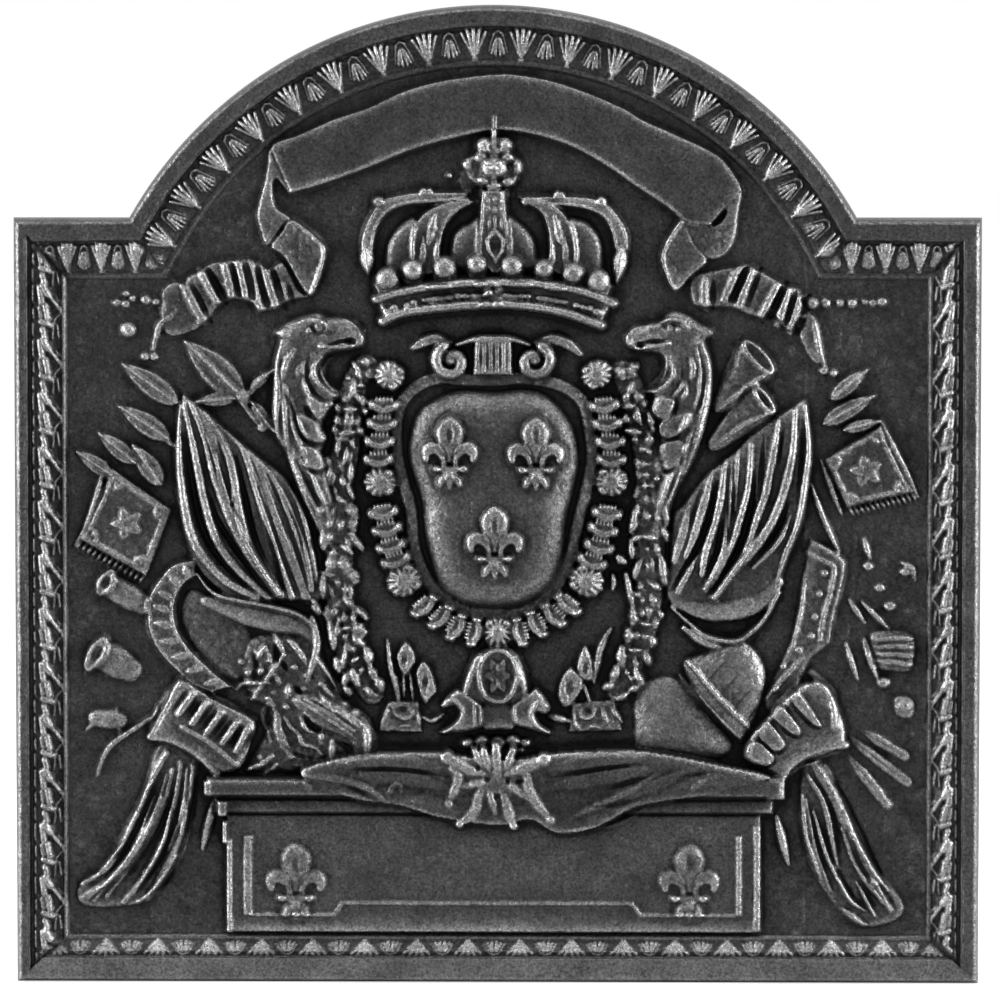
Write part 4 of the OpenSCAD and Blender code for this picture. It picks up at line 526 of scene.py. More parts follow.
def drawScroll(name, u, v, side, radius, width, rise, base, start, turns=1.25):
    # a volute that winds in to its eye
    line = []
    for k in range(int(turns * 12) + 1):
        share = k / (turns * 12)
        angle = math.radians(start + side * k * 30)
        far = radius * (1 - 0.85 * share)
        line.append((u + far * math.cos(angle), v + far * math.sin(angle)))
    ridge(name, line, width, rise, base, ends=(1, 0.7))
    oval(name, u, v, radius * 0.3, radius * 0.3, rise * 0.9, base)


def drawVolutes():
    name = "shield_volutes"
    dome(name, volutes["block"], volutes["rise"] - 1, edge=5, base=4, smooth=False)
    for u in volutes["flutes"]:
        groove([(u, volutes["fluteTop"]), (u, volutes["fluteFoot"])], width=1.9, depth=2.8)
    for line in volutes["arms"]:
        ridge(name, line, width=7, rise=9, base=2)
        groove(line, width=2.4, depth=2.5)
    for u, v, side in volutes["scrolls"]:
        drawScroll(name, u, v, side, volutes["radius"], width=7.2, rise=volutes["rise"], base=5,
                   start=-60 if side > 0 else -120)
    ridge(name, volutes["cornice"], width=4.4, rise=11, base=5)


# inner collar of shells and links
collar = {
    "shells": [(389, 375, 16, 115), (380, 482, 17, 90), (404, 581, 18, 62), (498, 633, 17, 0),
        (587, 581, 18, -62), (612, 481, 17, -90), (597, 374, 16, -115)],
    "links": [(384, 405, 2), (382, 423, 2), (380, 441, 0), (379, 459, -2), (383, 512, -8), (387, 529, -12),
        (391, 546, -14), (396, 560, -18), (424, 606, -42), (440, 617, -48), (456, 627, -60), (474, 632, -76),
        (520, 632, 76), (537, 624, 60), (554, 615, 48), (568, 604, 42), (592, 561, 18), (599, 546, 14),
        (603, 529, 12), (607, 513, 8), (611, 459, 2), (610, 441, 0), (607, 423, -3), (604, 405, -6)],
    "shellRise": 13, "shellBase": 4, "linkRise": 10, "linkBase": 4, "linkLong": 29,
}


def drawLink(name, u, v, turn, long, rise, base):
    # a link lying across the collar: a sagging bar with knobs at its ends, and a comb of teeth over it
    t = math.radians(turn)
    way = np.array([math.cos(t), math.sin(t)])
    down = np.array([-way[1], way[0]])
    c = np.array([u, v])
    oval(name, u, v, long * 0.46, 8.8, rise * 0.72, base, turn, power=0.25)
    ridge(name, [c - way * long * 0.44 - down * 1, c - way * long * 0.22 + down * 3.4, c + down * 5,
          c + way * long * 0.22 + down * 3.4, c + way * long * 0.44 - down * 1], width=5.2, rise=rise * 0.95,
          base=base, ends=0.9, power=0.4)
    for end in (-1, 1):
        p = c + way * end * long * 0.43
        oval(name, p[0], p[1], 4.2, 6.8, rise * 1.3, base, turn, power=0.6)
    for part in (-0.26, -0.13, 0, 0.13, 0.26):
        p = c + way * long * part
        ridge(name, [p - down * 8, p - down * 2.6], width=1.9, rise=rise * 1.12, base=base, ends=(0.9, 0.5))


def drawCollar():
    for u, v, turn in collar["links"]:
        drawLink("collar_links", u, v, turn, collar["linkLong"], collar["linkRise"], collar["linkBase"])
    for u, v, r, turn in collar["shells"]:
        fan("collar_shells", u, v, r, turn, collar["shellRise"], collar["shellBase"])


# outer collars, which hang from the eagles: worn strands, each from point to point with its half width
outerLeft = {
    "seed": 31,
    "bed": [(366, 366), (354, 386), (349, 420), (346, 450), (339, 480), (339, 530), (339, 570), (340, 605),
        (346, 640), (355, 670), (372, 694)],
    "strands": [(366, 360, 367, 364, 5), (354, 363, 360, 372, 3), (357, 370, 361, 378, 3),
        (365, 372, 374, 375, 5), (348, 376, 350, 379, 3), (355, 380, 349, 400, 3.5),
        (361, 383, 363, 386, 3.5), (356, 392, 361, 402, 3), (345, 396, 347, 402, 4.5),
        (363, 398, 363, 406, 4), (345, 409, 356, 409, 4), (337, 406, 339, 411, 3.6),
        (363, 410, 366, 413, 3.6), (337, 417, 341, 423, 4.5), (347, 412, 346, 426, 3),
        (352, 415, 350, 428, 3), (359, 419, 359, 424, 5), (334, 427, 336, 433, 3.4),
        (340, 433, 354, 432, 4.2), (359, 429, 362, 433, 4.2), (336, 438, 352, 440, 2.8),
        (340, 439, 338, 455, 3.6), (353, 439, 354, 447, 3.2), (347, 448, 344, 464, 3),
        (351, 453, 350, 462, 3.4), (327, 459, 331, 466, 4), (339, 462, 345, 474, 3.8),
        (324, 472, 325, 491, 3), (330, 468, 329, 483, 3.6), (334, 473, 333, 484, 2.5),
        (351, 464, 350, 482, 3.6), (342, 476, 343, 486, 4), (334, 487, 336, 495, 3), (348, 484, 353, 498, 3),
        (336, 496, 344, 502, 4), (324, 505, 319, 515, 4.6), (334, 507, 328, 518, 3.2),
        (350, 506, 355, 516, 6), (322, 524, 322, 528, 5), (332, 519, 329, 529, 4.4), (339, 518, 335, 527, 3),
        (343, 521, 339, 530, 3), (350, 520, 353, 529, 6), (324, 532, 324, 548, 4.8), (330, 532, 328, 542, 4),
        (350, 533, 362, 549, 4), (345, 539, 351, 545, 3.4), (342, 545, 351, 553, 4), (333, 548, 332, 556, 4),
        (332, 559, 330, 571, 6.6), (344, 558, 345, 571, 6.2), (321, 573, 336, 576, 3),
        (350, 572, 355, 581, 5.6), (323, 577, 323, 597, 4), (329, 585, 333, 599, 3), (338, 580, 339, 586, 3),
        (344, 585, 344, 594, 3.8), (350, 587, 350, 598, 3), (345, 598, 352, 608, 4), (343, 600, 334, 608, 3),
        (314, 602, 319, 613, 4), (327, 608, 328, 619, 4.4), (335, 607, 334, 616, 4),
        (344, 614, 345, 623, 4.4), (339, 617, 339, 623, 3), (354, 612, 354, 623, 3.4),
        (357, 608, 366, 619, 3.4), (330, 623, 334, 648, 4.8), (338, 624, 337, 636, 3.4),
        (352, 624, 362, 633, 6.6), (342, 629, 350, 627, 3), (342, 639, 347, 634, 3.4),
        (354, 636, 361, 644, 4.8), (347, 642, 352, 652, 5.6), (345, 652, 343, 668, 3),
        (366, 650, 369, 664, 4.8), (336, 660, 339, 671, 4.6), (350, 663, 358, 658, 3),
        (349, 672, 344, 684, 4.4), (352, 669, 358, 686, 4.4), (362, 668, 360, 674, 3),
        (370, 669, 373, 678, 4.6), (376, 679, 381, 690, 4.8), (345, 689, 350, 694, 4),
        (366, 690, 374, 696, 4.6)],
}
outerRight = {
    "seed": 47,
    "bed": [(622, 372), (632, 390), (638, 415), (645, 440), (650, 470), (650, 520), (650, 570), (648, 600),
        (643, 630), (633, 660), (618, 690)],
    "strands": [(618, 371, 622, 376, 7), (632, 366, 633, 374, 5.4), (637, 364, 636, 369, 3),
        (627, 375, 628, 378, 3), (632, 383, 630, 392, 4), (627, 393, 624, 400, 4), (636, 393, 638, 400, 5.2),
        (624, 406, 634, 405, 4), (642, 404, 646, 403, 4), (637, 408, 641, 424, 3), (626, 416, 629, 421, 4.6),
        (634, 413, 637, 422, 2.6), (648, 414, 652, 427, 4.4), (627, 430, 640, 432, 4),
        (652, 428, 653, 430, 3.6), (635, 437, 636, 441, 4), (648, 434, 648, 445, 5.6),
        (641, 447, 641, 451, 4.4), (649, 449, 650, 453, 4), (637, 461, 638, 466, 4.8),
        (643, 461, 643, 466, 3.4), (649, 461, 649, 466, 3), (658, 460, 661, 473, 5.4),
        (638, 473, 639, 477, 4.8), (647, 472, 648, 477, 4), (657, 476, 657, 481, 4), (645, 483, 645, 488, 4),
        (652, 483, 653, 488, 4), (662, 485, 662, 491, 3.6), (638, 487, 636, 496, 3.4),
        (655, 493, 655, 505, 4), (647, 496, 647, 503, 4), (638, 506, 632, 524, 4), (644, 510, 642, 518, 3),
        (648, 513, 648, 520, 4), (658, 515, 659, 522, 4), (664, 505, 666, 524, 4), (636, 522, 631, 531, 4),
        (660, 520, 660, 525, 4), (658, 528, 656, 539, 3.4), (663, 528, 667, 540, 3.4),
        (631, 540, 642, 536, 3.6), (644, 536, 656, 538, 3.6), (631, 544, 632, 557, 3.4),
        (656, 545, 657, 554, 4), (648, 546, 648, 551, 3), (641, 560, 635, 577, 4), (647, 561, 648, 571, 2.6),
        (652, 559, 653, 570, 3), (661, 557, 665, 583, 4.4), (640, 584, 642, 588, 4.4),
        (652, 584, 659, 588, 4.4), (635, 593, 639, 596, 3), (652, 596, 653, 604, 4.8),
        (643, 598, 643, 603, 3.4), (648, 607, 648, 619, 4), (643, 610, 642, 617, 2.6),
        (633, 611, 634, 623, 4.8), (655, 620, 655, 626, 4.4), (660, 612, 661, 618, 3),
        (641, 622, 649, 625, 3), (629, 631, 629, 640, 5.4), (637, 633, 637, 638, 4), (644, 634, 644, 639, 4),
        (652, 637, 652, 646, 4), (622, 649, 623, 666, 5), (635, 658, 636, 667, 3.4),
        (630, 650, 641, 650, 2.8), (645, 653, 649, 664, 4), (617, 668, 613, 682, 4.8),
        (612, 684, 606, 688, 4.6), (627, 671, 628, 675, 3.4), (630, 677, 632, 681, 3),
        (636, 671, 642, 683, 4.4), (631, 690, 639, 686, 4), (627, 694, 618, 699, 3.6),
        (613, 576, 613, 589, 3), (626, 574, 633, 606, 3.4), (618, 557, 624, 562, 4.6)],
}


def drawOuter(name, parts):
    ridge(name, parts["bed"], width=15.5, rise=8.5, base=0, ends=0.8, power=0.3)
    rng = np.random.default_rng(parts["seed"])
    for u0, v0, u1, v1, width in parts["strands"]:
        rise = rng.uniform(6, 10.5)
        ridge(name, [(u0, v0), ((u0 + u1) / 2 + rng.uniform(-1, 1), (v0 + v1) / 2), (u1, v1)], width * 1.3,
              rise, base=5.5, ends=0.7, power=0.7)


# medallion, bracket and hanging cross
medal = {
    "u": 498, "v": 676, "inner": (19, 26),
    "outline": [(461, 694), (467, 673), (474, 656), (486, 648), (498, 645), (512, 648), (521, 659),
        (528, 684), (528, 697), (516, 704), (498, 707), (478, 704)],
    "bands": [[(465, 692), (471, 672), (479, 656)], [(525, 692), (521, 672), (514, 656)]],
}


def drawMedallion():
    u, v = medal["u"], medal["v"]
    dome("medallion", medal["outline"], rise=9, edge=6, base=4)
    ridges("medallion", medal["bands"], width=5, rise=4, ends=0.6)
    ru, rv = medal["inner"]
    hoop("medallion", u, v, ru, rv, width=3.2, rise=4.5)
    hollow(u, v, ru - 2, rv - 2, depth=3)
    for turn in range(0, 360, 60):
        t = math.radians(turn + 30)
        leaf("medallion", (u + 3 * math.sin(t), v - 3 * math.cos(t)),
             (u + 14 * math.sin(t), v - 20 * math.cos(t)), width=5.4, rise=4)
    oval("medallion", u, v, 4, 4, rise=4)


bracket = {
    "scrolls": [[(440, 706), (447, 696), (457, 689), (468, 693), (483, 705), (485, 723), (477, 731),
        (446, 735), (440, 732), (455, 722), (459, 713), (454, 707), (445, 709)], [(511, 705), (526, 696),
        (537, 688), (551, 706), (546, 715), (537, 714), (540, 723), (551, 732), (548, 736), (532, 731),
        (511, 724)]],
    "block": [(482, 706), (513, 705), (515, 729), (500, 731), (483, 730)],
    "rims": [([(444, 733), (457, 723), (462, 712), (455, 701), (446, 700)], 3.2), ([(549, 732), (537, 724),
        (532, 714), (538, 703), (547, 706)], 3.6), ([(474, 702), (476, 727)], 2),
        ([(480, 706), (481, 726)], 2), ([(514, 706), (516, 724)], 2),
        ([(457, 690), (468, 697), (480, 706)], 2.4), ([(537, 689), (526, 697), (514, 706)], 2.4)],
    "cluster": [(468, 744, 7), (482, 742, 8), (498, 744, 9), (513, 742, 8), (525, 744, 6), (475, 752, 5),
        (490, 755, 6), (506, 755, 6), (520, 752, 5)],
}


def drawBracket():
    name = "scroll_bracket"
    dome(name, bracket["block"], rise=8, edge=5, base=4)
    for line in bracket["scrolls"]:
        dome(name, line, rise=11, edge=6, base=4)
    for line, width in bracket["rims"]:
        ridge(name, line, width, rise=3.6, ends=0.7)
    for u, v, r in bracket["cluster"]:
        oval(name, u, v, r, r * 0.9, r, base=4)


cross = {
    "centre": (499, 783),
    "strokes": [([(452, 768), (459, 778), (449, 803)], 4.4), ([(481, 790), (474, 812), (460, 824)], 4.6),
        ([(490, 793), (496, 814)], 3.6), ([(503, 793), (513, 825)], 4.6),
        ([(526, 772), (532, 796), (551, 819)], 4.8), ([(508, 784), (532, 800)], 4),
        ([(508, 773), (543, 761)], 5), ([(450, 758), (468, 769), (488, 774)], 5),
        ([(484, 750), (490, 772)], 4), ([(496, 746), (499, 784)], 4.6), ([(475, 750), (483, 768)], 3.4),
        ([(513, 750), (504, 772)], 4), ([(464, 786), (488, 780)], 4)],
    "knobs": [(448, 757, 7.5), (544, 759, 7.5), (460, 824, 5), (514, 826, 5), (449, 804, 5), (551, 820, 5)],
    "dents": [(488, 779, 5, 3), (508, 781, 3, 5), (497, 796, 3.4, 4), (478, 768, 3, 3.4),
        (520, 781, 6, 2.6)],
    "base": 21.5, "rise": 5,
}


def drawCross():
    name, (u, v) = "cross_pendant", cross["centre"]
    oval(name, u, v, 24, 22, cross["rise"] * 0.55, cross["base"], power=0.4)
    for line, width in cross["strokes"]:
        ridge(name, line, width * 1.35, cross["rise"], cross["base"], ends=(0.8, 0.5))
    for u, v, r in cross["knobs"]:
        oval(name, u, v, r, r, cross["rise"] + 0.6, cross["base"])
    for u, v, ru, rv in cross["dents"]:
        hollow(u, v, ru, rv, depth=3.5)


# eagles
eagleLeft = {
    "outline": [(363, 347), (365, 340), (362, 331), (354, 322), (342, 317), (328, 316), (318, 312),
        (302, 315), (288, 321), (277, 328), (274, 334), (278, 341), (274, 362), (272, 390), (270, 414),
        (275, 437), (286, 456), (294, 480), (304, 506), (320, 540), (334, 552), (340, 520), (334, 490),
        (328, 466), (324, 452), (328, 438), (324, 424), (335, 404), (344, 394), (330, 384), (322, 368),
        (328, 356), (344, 352), (354, 350)],
    "lobes": [([(310, 394), (322, 401), (334, 402), (332, 416), (322, 420), (313, 414), (308, 403)], 4),
        ([(298, 414), (316, 420), (328, 436), (324, 443), (310, 440), (300, 430)], 3.5), ([(300, 446),
        (318, 449), (328, 464), (320, 471), (308, 466)], 3.5), ([(312, 472), (326, 480), (334, 498),
        (328, 506), (316, 494)], 3)],
    "strands": [([(344, 318), (355, 323), (362, 332), (363, 345)], 3.6, 4.5), ([(277, 333), (284, 333),
        (291, 330)], 6, 3.5), ([(332, 357), (326, 362), (323, 370), (326, 380), (334, 388),
        (343, 392)], 3.2, 4), ([(322, 358), (316, 364), (314, 372), (319, 382), (327, 390),
        (337, 397)], 3.2, 3.6), ([(305, 361), (303, 368), (305, 375)], 2.6, 3), ([(300, 364), (298, 372),
        (299, 378)], 2.2, 2.4), ([(304, 378), (307, 388), (312, 400)], 3.2, 3.6), ([(295, 350), (287, 360),
        (284, 370), (282, 380)], 4, 3.6), ([(282, 342), (277, 360), (276, 380), (277, 400), (276, 420),
        (278, 438)], 4.6, 4), ([(284, 386), (284, 400), (286, 420), (287, 440), (290, 456)], 3.2, 3.4),
        ([(290, 406), (294, 426), (301, 444), (307, 454)], 3.2, 4), ([(297, 414), (302, 430),
        (311, 443)], 2.6, 3), ([(304, 403), (311, 414), (321, 421), (325, 430), (327, 439)], 2.4, 2.6),
        ([(293, 462), (306, 487), (321, 516)], 3, 3.4), ([(300, 456), (312, 476), (322, 498),
        (330, 520)], 2.6, 3), ([(286, 452), (294, 474), (306, 500), (318, 526)], 3.4, 3.4),
        ([(331, 400), (334, 408)], 2.2, 2.5), ([(283, 382), (290, 396), (296, 410)], 2.4, 2.6)],
    "slits": [([(310, 354), (307, 366), (308, 380), (314, 392), (326, 402)], 2.2, 3.6), ([(304, 404),
        (308, 411), (316, 419)], 2.8, 5.5), ([(326, 361), (319, 370), (322, 381), (331, 390)], 1.8, 3),
        ([(328, 345), (342, 341), (352, 340)], 2, 5), ([(291, 352), (281, 364), (280, 384)], 1.8, 2.4),
        ([(290, 386), (291, 402), (297, 424), (306, 442)], 2, 2.8), ([(299, 432), (310, 443),
        (324, 446)], 1.8, 3.5), ([(304, 467), (318, 474)], 1.8, 3), ([(281, 404), (281, 424),
        (285, 444)], 1.8, 2.4), ([(296, 458), (308, 484), (322, 512)], 1.8, 2.6)],
    "hollows": [(316, 329, 11, 7, 4.5), (351, 341, 8, 4, 6), (331, 333, 9, 4, 1.6)],
    "knobs": [(310, 330, 3.4, 4.2), (318.5, 328, 4.8, 4.6), (325, 322, 3, 3), (322, 346, 2.8, 2.6),
        (352, 346, 2.6, 3), (342, 328, 1.8, 1.6)],
    "jaw": [(321, 347), (332, 347.5), (344, 347.5), (352, 346)],
    "brow": [(300, 322), (310, 319), (322, 321), (327, 327)],
}
eagleRight = {
    "outline": [(627, 348), (625, 336), (632, 328), (646, 323), (660, 320), (666, 313), (676, 310),
        (690, 315), (700, 322), (712, 328), (713, 335), (706, 341), (712, 360), (713, 380), (712, 400),
        (707, 425), (701, 443), (691, 466), (680, 487), (668, 520), (655, 548), (646, 552), (648, 520),
        (656, 488), (660, 466), (656, 450), (658, 436), (656, 424), (650, 410), (652, 396), (640, 392),
        (656, 384), (664, 370), (660, 356), (646, 353), (636, 351)],
    "lobes": [([(656, 395), (674, 399), (676, 407), (666, 418), (654, 415), (650, 405)], 4), ([(662, 420),
        (690, 411), (690, 425), (674, 437), (660, 436), (657, 428)], 3.5), ([(660, 443), (680, 439),
        (687, 452), (676, 467), (662, 469), (656, 456)], 3.5), ([(656, 474), (672, 474), (668, 494),
        (656, 508), (650, 498)], 3)],
    "strands": [([(642, 324), (632, 328), (626, 336), (627, 346)], 3.6, 4.5), ([(704, 339), (708, 334),
        (712, 328)], 4.6, 3.5), ([(667, 358), (665, 368), (660, 377), (652, 384), (644, 389)], 3.2, 4),
        ([(673, 364), (672, 375), (664, 385), (656, 391)], 3.2, 3.6), ([(681, 375), (680, 386),
        (673, 396)], 3.2, 3.6), ([(690, 356), (693, 368), (690, 381)], 3.2, 3.4), ([(685, 381), (685, 392),
        (681, 401)], 3, 3.4), ([(702, 345), (708, 360), (709, 380), (707, 400), (702, 420), (697, 440),
        (690, 464), (682, 484)], 5, 4.4), ([(698, 410), (692, 428), (686, 446), (682, 462)], 3, 3.2),
        ([(688, 412), (682, 428), (675, 436)], 3, 3.4), ([(655, 397), (651, 406), (655, 415), (666, 418),
        (673, 411)], 2.2, 2.6), ([(652, 420), (643, 430), (646, 434)], 2, 1), ([(663, 421), (659, 429),
        (662, 436)], 2.2, 2.6), ([(696, 350), (700, 372), (698, 396), (692, 414)], 2.6, 3), ([(680, 470),
        (672, 492), (662, 514)], 3, 3.4), ([(672, 470), (664, 492), (656, 516)], 2.8, 3)],
    "slits": [([(682, 366), (681, 378), (676, 388), (669, 397)], 2, 3.4), ([(676, 398), (675, 408),
        (670, 415)], 2.6, 5.5), ([(638, 343), (652, 341), (665, 341)], 2, 5),
        ([(684, 453), (679, 464)], 2.4, 5), ([(698, 346), (702, 366), (702, 390), (697, 412),
        (690, 432)], 1.8, 2.6), ([(669, 366), (668, 376), (660, 385)], 1.8, 3), ([(660, 438), (672, 439),
        (684, 430)], 1.8, 3), ([(658, 470), (668, 471), (678, 463)], 1.8, 3.5),
        ([(676, 474), (666, 500)], 1.8, 2.6)],
    "hollows": [(671, 326, 11, 5.5, 4.5), (640, 345, 6, 4, 6), (654, 332, 9, 4, 1.6)],
    "knobs": [(670, 327, 4, 4.4), (677, 328, 3.2, 3.8), (637, 348, 2.8, 2.8), (668, 343, 2.6, 2.4)],
    "jaw": [(637, 348), (646, 347.5), (658, 345.5), (669, 342.5)],
    "brow": [(660, 322), (670, 319), (681, 321), (687, 327)],
}


def drawEagle(name, bird):
    # head and neck with overlapping feathers, curling strands between them and slits at their roots
    dome(name, bird["outline"], rise=12, edge=12, base=0)
    for line, rise in bird["lobes"]:
        dome(name, line, rise, edge=4)
    strokes(name, bird["strands"], ends=0.4, power=0.55)
    cuts(bird["slits"])
    for u, v, ru, rv, depth in bird["hollows"]:
        hollow(u, v, ru, rv, depth)
    ridges(name, (bird["jaw"], bird["brow"]), width=2.2, rise=3, ends=0.8)
    for u, v, r, rise in bird["knobs"]:
        oval(name, u, v, r, r, rise)


# flags
flagLeft = {
    "outline": [(181, 397), (190, 398), (206, 409), (234, 436), (278, 470), (292, 486), (307, 512),
        (314, 545), (320, 575), (322, 600), (300, 602), (262, 604), (236, 604), (216, 590), (196, 568),
        (182, 530), (176, 480), (175, 440)],
    "folds": [([(179, 402), (179, 468), (185, 512), (197, 548), (224, 580), (256, 598)], 5.6, 7),
        ([(184, 401), (195, 453), (204, 498), (216, 539), (237, 569), (268, 598)], 5.2, 6.5), ([(190, 402),
        (206, 439), (216, 477), (231, 518), (249, 553), (277, 593)], 6.4, 7.5), ([(198, 408), (214, 440),
        (222, 470), (231, 500)], 3.6, 5), ([(205, 412), (224, 445), (234, 476), (240, 512), (254, 551),
        (281, 595)], 6, 7), ([(226, 430), (242, 448), (254, 480), (264, 514), (275, 552), (292, 598)], 5, 6),
        ([(240, 442), (257, 462), (272, 504), (287, 546), (301, 584), (307, 602)], 6.4, 5), ([(262, 462),
        (280, 490), (294, 524), (305, 556), (312, 590)], 4.4, 5.5), ([(290, 488), (302, 512), (311, 545),
        (317, 580)], 3.2, 4.5)],
    "gaps": [([(184, 432), (190, 474), (200, 524), (218, 558), (246, 587)], 4.6, 8), ([(207, 490),
        (217, 520), (233, 546), (258, 581)], 3.4, 7), ([(203, 428), (212, 458), (219, 486)], 1.6, 4),
        ([(236, 456), (245, 500), (256, 545), (275, 582)], 4, 8), ([(262, 520), (273, 552),
        (284, 590)], 2.8, 7), ([(216, 446), (226, 480), (234, 512)], 1.6, 3.5), ([(251, 466), (262, 498),
        (274, 532)], 1.5, 3), ([(266, 480), (280, 514), (292, 550)], 1.5, 3), ([(282, 494), (298, 532),
        (308, 572)], 2, 4.5), ([(182, 410), (184, 460), (191, 510)], 1.2, 2)],
    "roll": [(206, 602), (232, 611), (266, 620), (300, 628), (315, 640)],
    "lip": [(196, 574), (214, 594), (244, 602), (276, 608), (304, 618), (317, 634)],
    "tail": [(312, 618), (317, 640), (313, 662), (305, 688)],
}
flagRight = {
    "outline": [(805, 399), (791, 406), (772, 418), (750, 433), (737, 448), (715, 466), (704, 475),
        (683, 503), (672, 516), (669, 560), (667, 600), (700, 604), (740, 603), (768, 592), (783, 572),
        (797, 536), (806, 506), (810, 476), (812, 450), (810, 418)],
    "folds": [([(805, 405), (809, 450), (804, 489), (798, 524), (785, 555), (779, 580)], 4.8, 7),
        ([(795, 409), (793, 446), (785, 485), (772, 520), (752, 551), (732, 573), (715, 597)], 5.6, 7.5),
        ([(791, 515), (778, 542), (753, 567)], 3.4, 6), ([(778, 420), (772, 457), (765, 494), (754, 524),
        (746, 548), (726, 581), (713, 597)], 5, 6.5), ([(779, 421), (777, 444), (775, 468)], 1.8, 2.5),
        ([(751, 444), (748, 489), (741, 515), (732, 546), (719, 573), (706, 590)], 4.8, 7), ([(738, 448),
        (736, 480), (735, 508)], 2.6, 4), ([(732, 461), (730, 494), (729, 526)], 2.2, 4.5), ([(726, 515),
        (724, 546), (715, 568), (704, 588)], 3.6, 6), ([(725, 459), (721, 494), (715, 520), (706, 550),
        (702, 574)], 5, 7), ([(712, 470), (704, 502), (696, 529), (687, 556)], 5.4, 5.5), ([(689, 506),
        (683, 533), (674, 560)], 5.4, 4.5), ([(696, 556), (687, 574), (678, 592)], 4.4, 6)],
    "gaps": [([(789, 500), (778, 527), (759, 555)], 3, 7), ([(754, 470), (752, 496), (747, 522), (737, 550),
        (713, 592)], 5, 8), ([(734, 478), (733, 507), (730, 524)], 1.6, 4),
        ([(722, 520), (717, 550), (706, 579)], 3, 7), ([(717, 480), (711, 511), (700, 542),
        (672, 590)], 4, 8), ([(783, 424), (780, 448), (777, 470)], 1.6, 5), ([(764, 432), (761, 470),
        (757, 500)], 2.4, 4), ([(803, 412), (801, 460), (796, 500)], 2, 5),
        ([(760, 592), (770, 584), (776, 572)], 2, 4), ([(703, 482), (695, 508), (690, 530)], 1.6, 3)],
    "roll": [(676, 602), (704, 610), (740, 608), (764, 598), (777, 582)],
    "lip": [(671, 607), (688, 622), (706, 636), (736, 641), (756, 628), (768, 613), (779, 592)],
    "tail": [(684, 628), (704, 642), (730, 650)],
}


def drawFlag(name, flag):
    dome(name, flag["outline"], rise=8, edge=6, base=0)
    strokes(name, flag["folds"], ends=(0.35, 0.8), power=0.45)
    cuts(flag["gaps"], ends=0.3)
    ridge(name, flag["roll"], width=12, rise=8, base=4, ends=(0.5, 0.6), power=0.5)
    ridge(name, flag["lip"], width=3.4, rise=11, base=3, ends=(0.5, 0.8), power=0.5)
    ridge(name, flag["tail"], width=5, rise=8, base=5, ends=(0.7, 0.4), power=0.5)


# trophies behind the flags
spearsLeft = {
    "leaves": [((244, 398), (184, 340), 17), ((178, 404), (121, 363), 13), ((170, 440), (117, 405), 12),
        ((136, 464), (97, 432), 10), ((112, 476), (75, 451), 9), ((162, 486), (132, 444), 12),
        ((250, 390), (274, 369), 6), ((252, 402), (276, 434), 7), ((236, 398), (194, 402), 8)],
    "staffs": [[(232, 388), (262, 430)], [(245, 400), (262, 378)], [(235, 400), (253, 402)],
        [(170, 392), (178, 402)], [(162, 436), (176, 448)], [(130, 456), (150, 474)],
        [(106, 478), (122, 490)]],
    "knots": [(243, 396, 9), (262, 380, 7), (262, 428, 6), (150, 478, 6), (172, 396, 5)],
}
spearsRight = {
    "leaves": [((830, 400), (868, 368), 9), ((822, 424), (876, 394), 10), ((842, 430), (882, 420), 7)],
    "staffs": [[(821, 461), (841, 514)], [(811, 484), (824, 520), (839, 553)], [(864, 539), (870, 559)],
        [(902, 563), (912, 568), (915, 580)], [(849, 600), (865, 623)], [(862, 602), (888, 628)],
        [(846, 644), (858, 680)], [(865, 639), (878, 680)]],
    "knots": [(890, 606, 7), (880, 588, 6), (905, 572, 6), (868, 566, 6), (884, 683, 8), (905, 706, 9)],
}


def drawSpears(name, parts):
    ridges(name, parts["staffs"], width=4, rise=6, base=1)
    for foot, tip, width in parts["leaves"]:
        leaf(name, foot, tip, width, rise=8, base=1, crease=-0.35)
        leaf(name, foot, tip, width * 0.66, rise=-2.6, crease=0.9)
    for u, v, r in parts["knots"]:
        oval(name, u, v, r, r * 0.85, r, base=1)


bannerLeft = {
    "corners": [(112, 468), (172, 510), (146, 578), (78, 540)], "pole": [(106, 462), (88, 520), (74, 546)],
}
bannerRight = {
    "corners": [(823, 459), (880, 424), (914, 492), (846, 508)],
    "pole": [(880, 420), (900, 460), (918, 496)],
}


def drawBanner(name, banner):
    # a square with a raised hem, a star of five leaves, small leaves in its corners and a fringe below
    c = np.asarray(banner["corners"], float)
    centre = c.mean(axis=0)
    dome(name, c, rise=6, edge=3, base=1, smooth=False)
    inner = c + (centre - c) * 0.16
    for a, b in zip(inner, np.roll(inner, -1, axis=0)):
        ridge(name, [a, b], width=2.2, rise=2.4, smooth=False)
    side = (c[1] - c[0]) / np.hypot(*(c[1] - c[0]))
    down = np.array([-side[1], side[0]])
    for turn in range(0, 360, 72):
        t = math.radians(turn)
        tip = centre + (side * math.cos(t) + down * math.sin(t)) * 17
        leaf(name, centre + (tip - centre) * 0.15, tip, width=6, rise=4.5)
    oval(name, centre[0], centre[1], 4, 4, rise=4)
    for corner in inner:
        near = corner * 0.72 + centre * 0.28
        out = (corner - centre) / np.hypot(*(corner - centre))
        for turn in (-55, 0, 55):
            t = math.radians(turn)
            tip = near + np.array([out[0] * math.cos(t) - out[1] * math.sin(t),
                                   out[0] * math.sin(t) + out[1] * math.cos(t)]) * 9
            leaf(name, near, tip, width=2.6, rise=2.6)
    for share in np.linspace(0.04, 0.96, 13):
        root = c[3] + (c[2] - c[3]) * share
        ridge(name, [root, root + down * 9], width=2.2, rise=4.5, base=1)
    ridge(name, banner["pole"], width=4, rise=8, base=1)


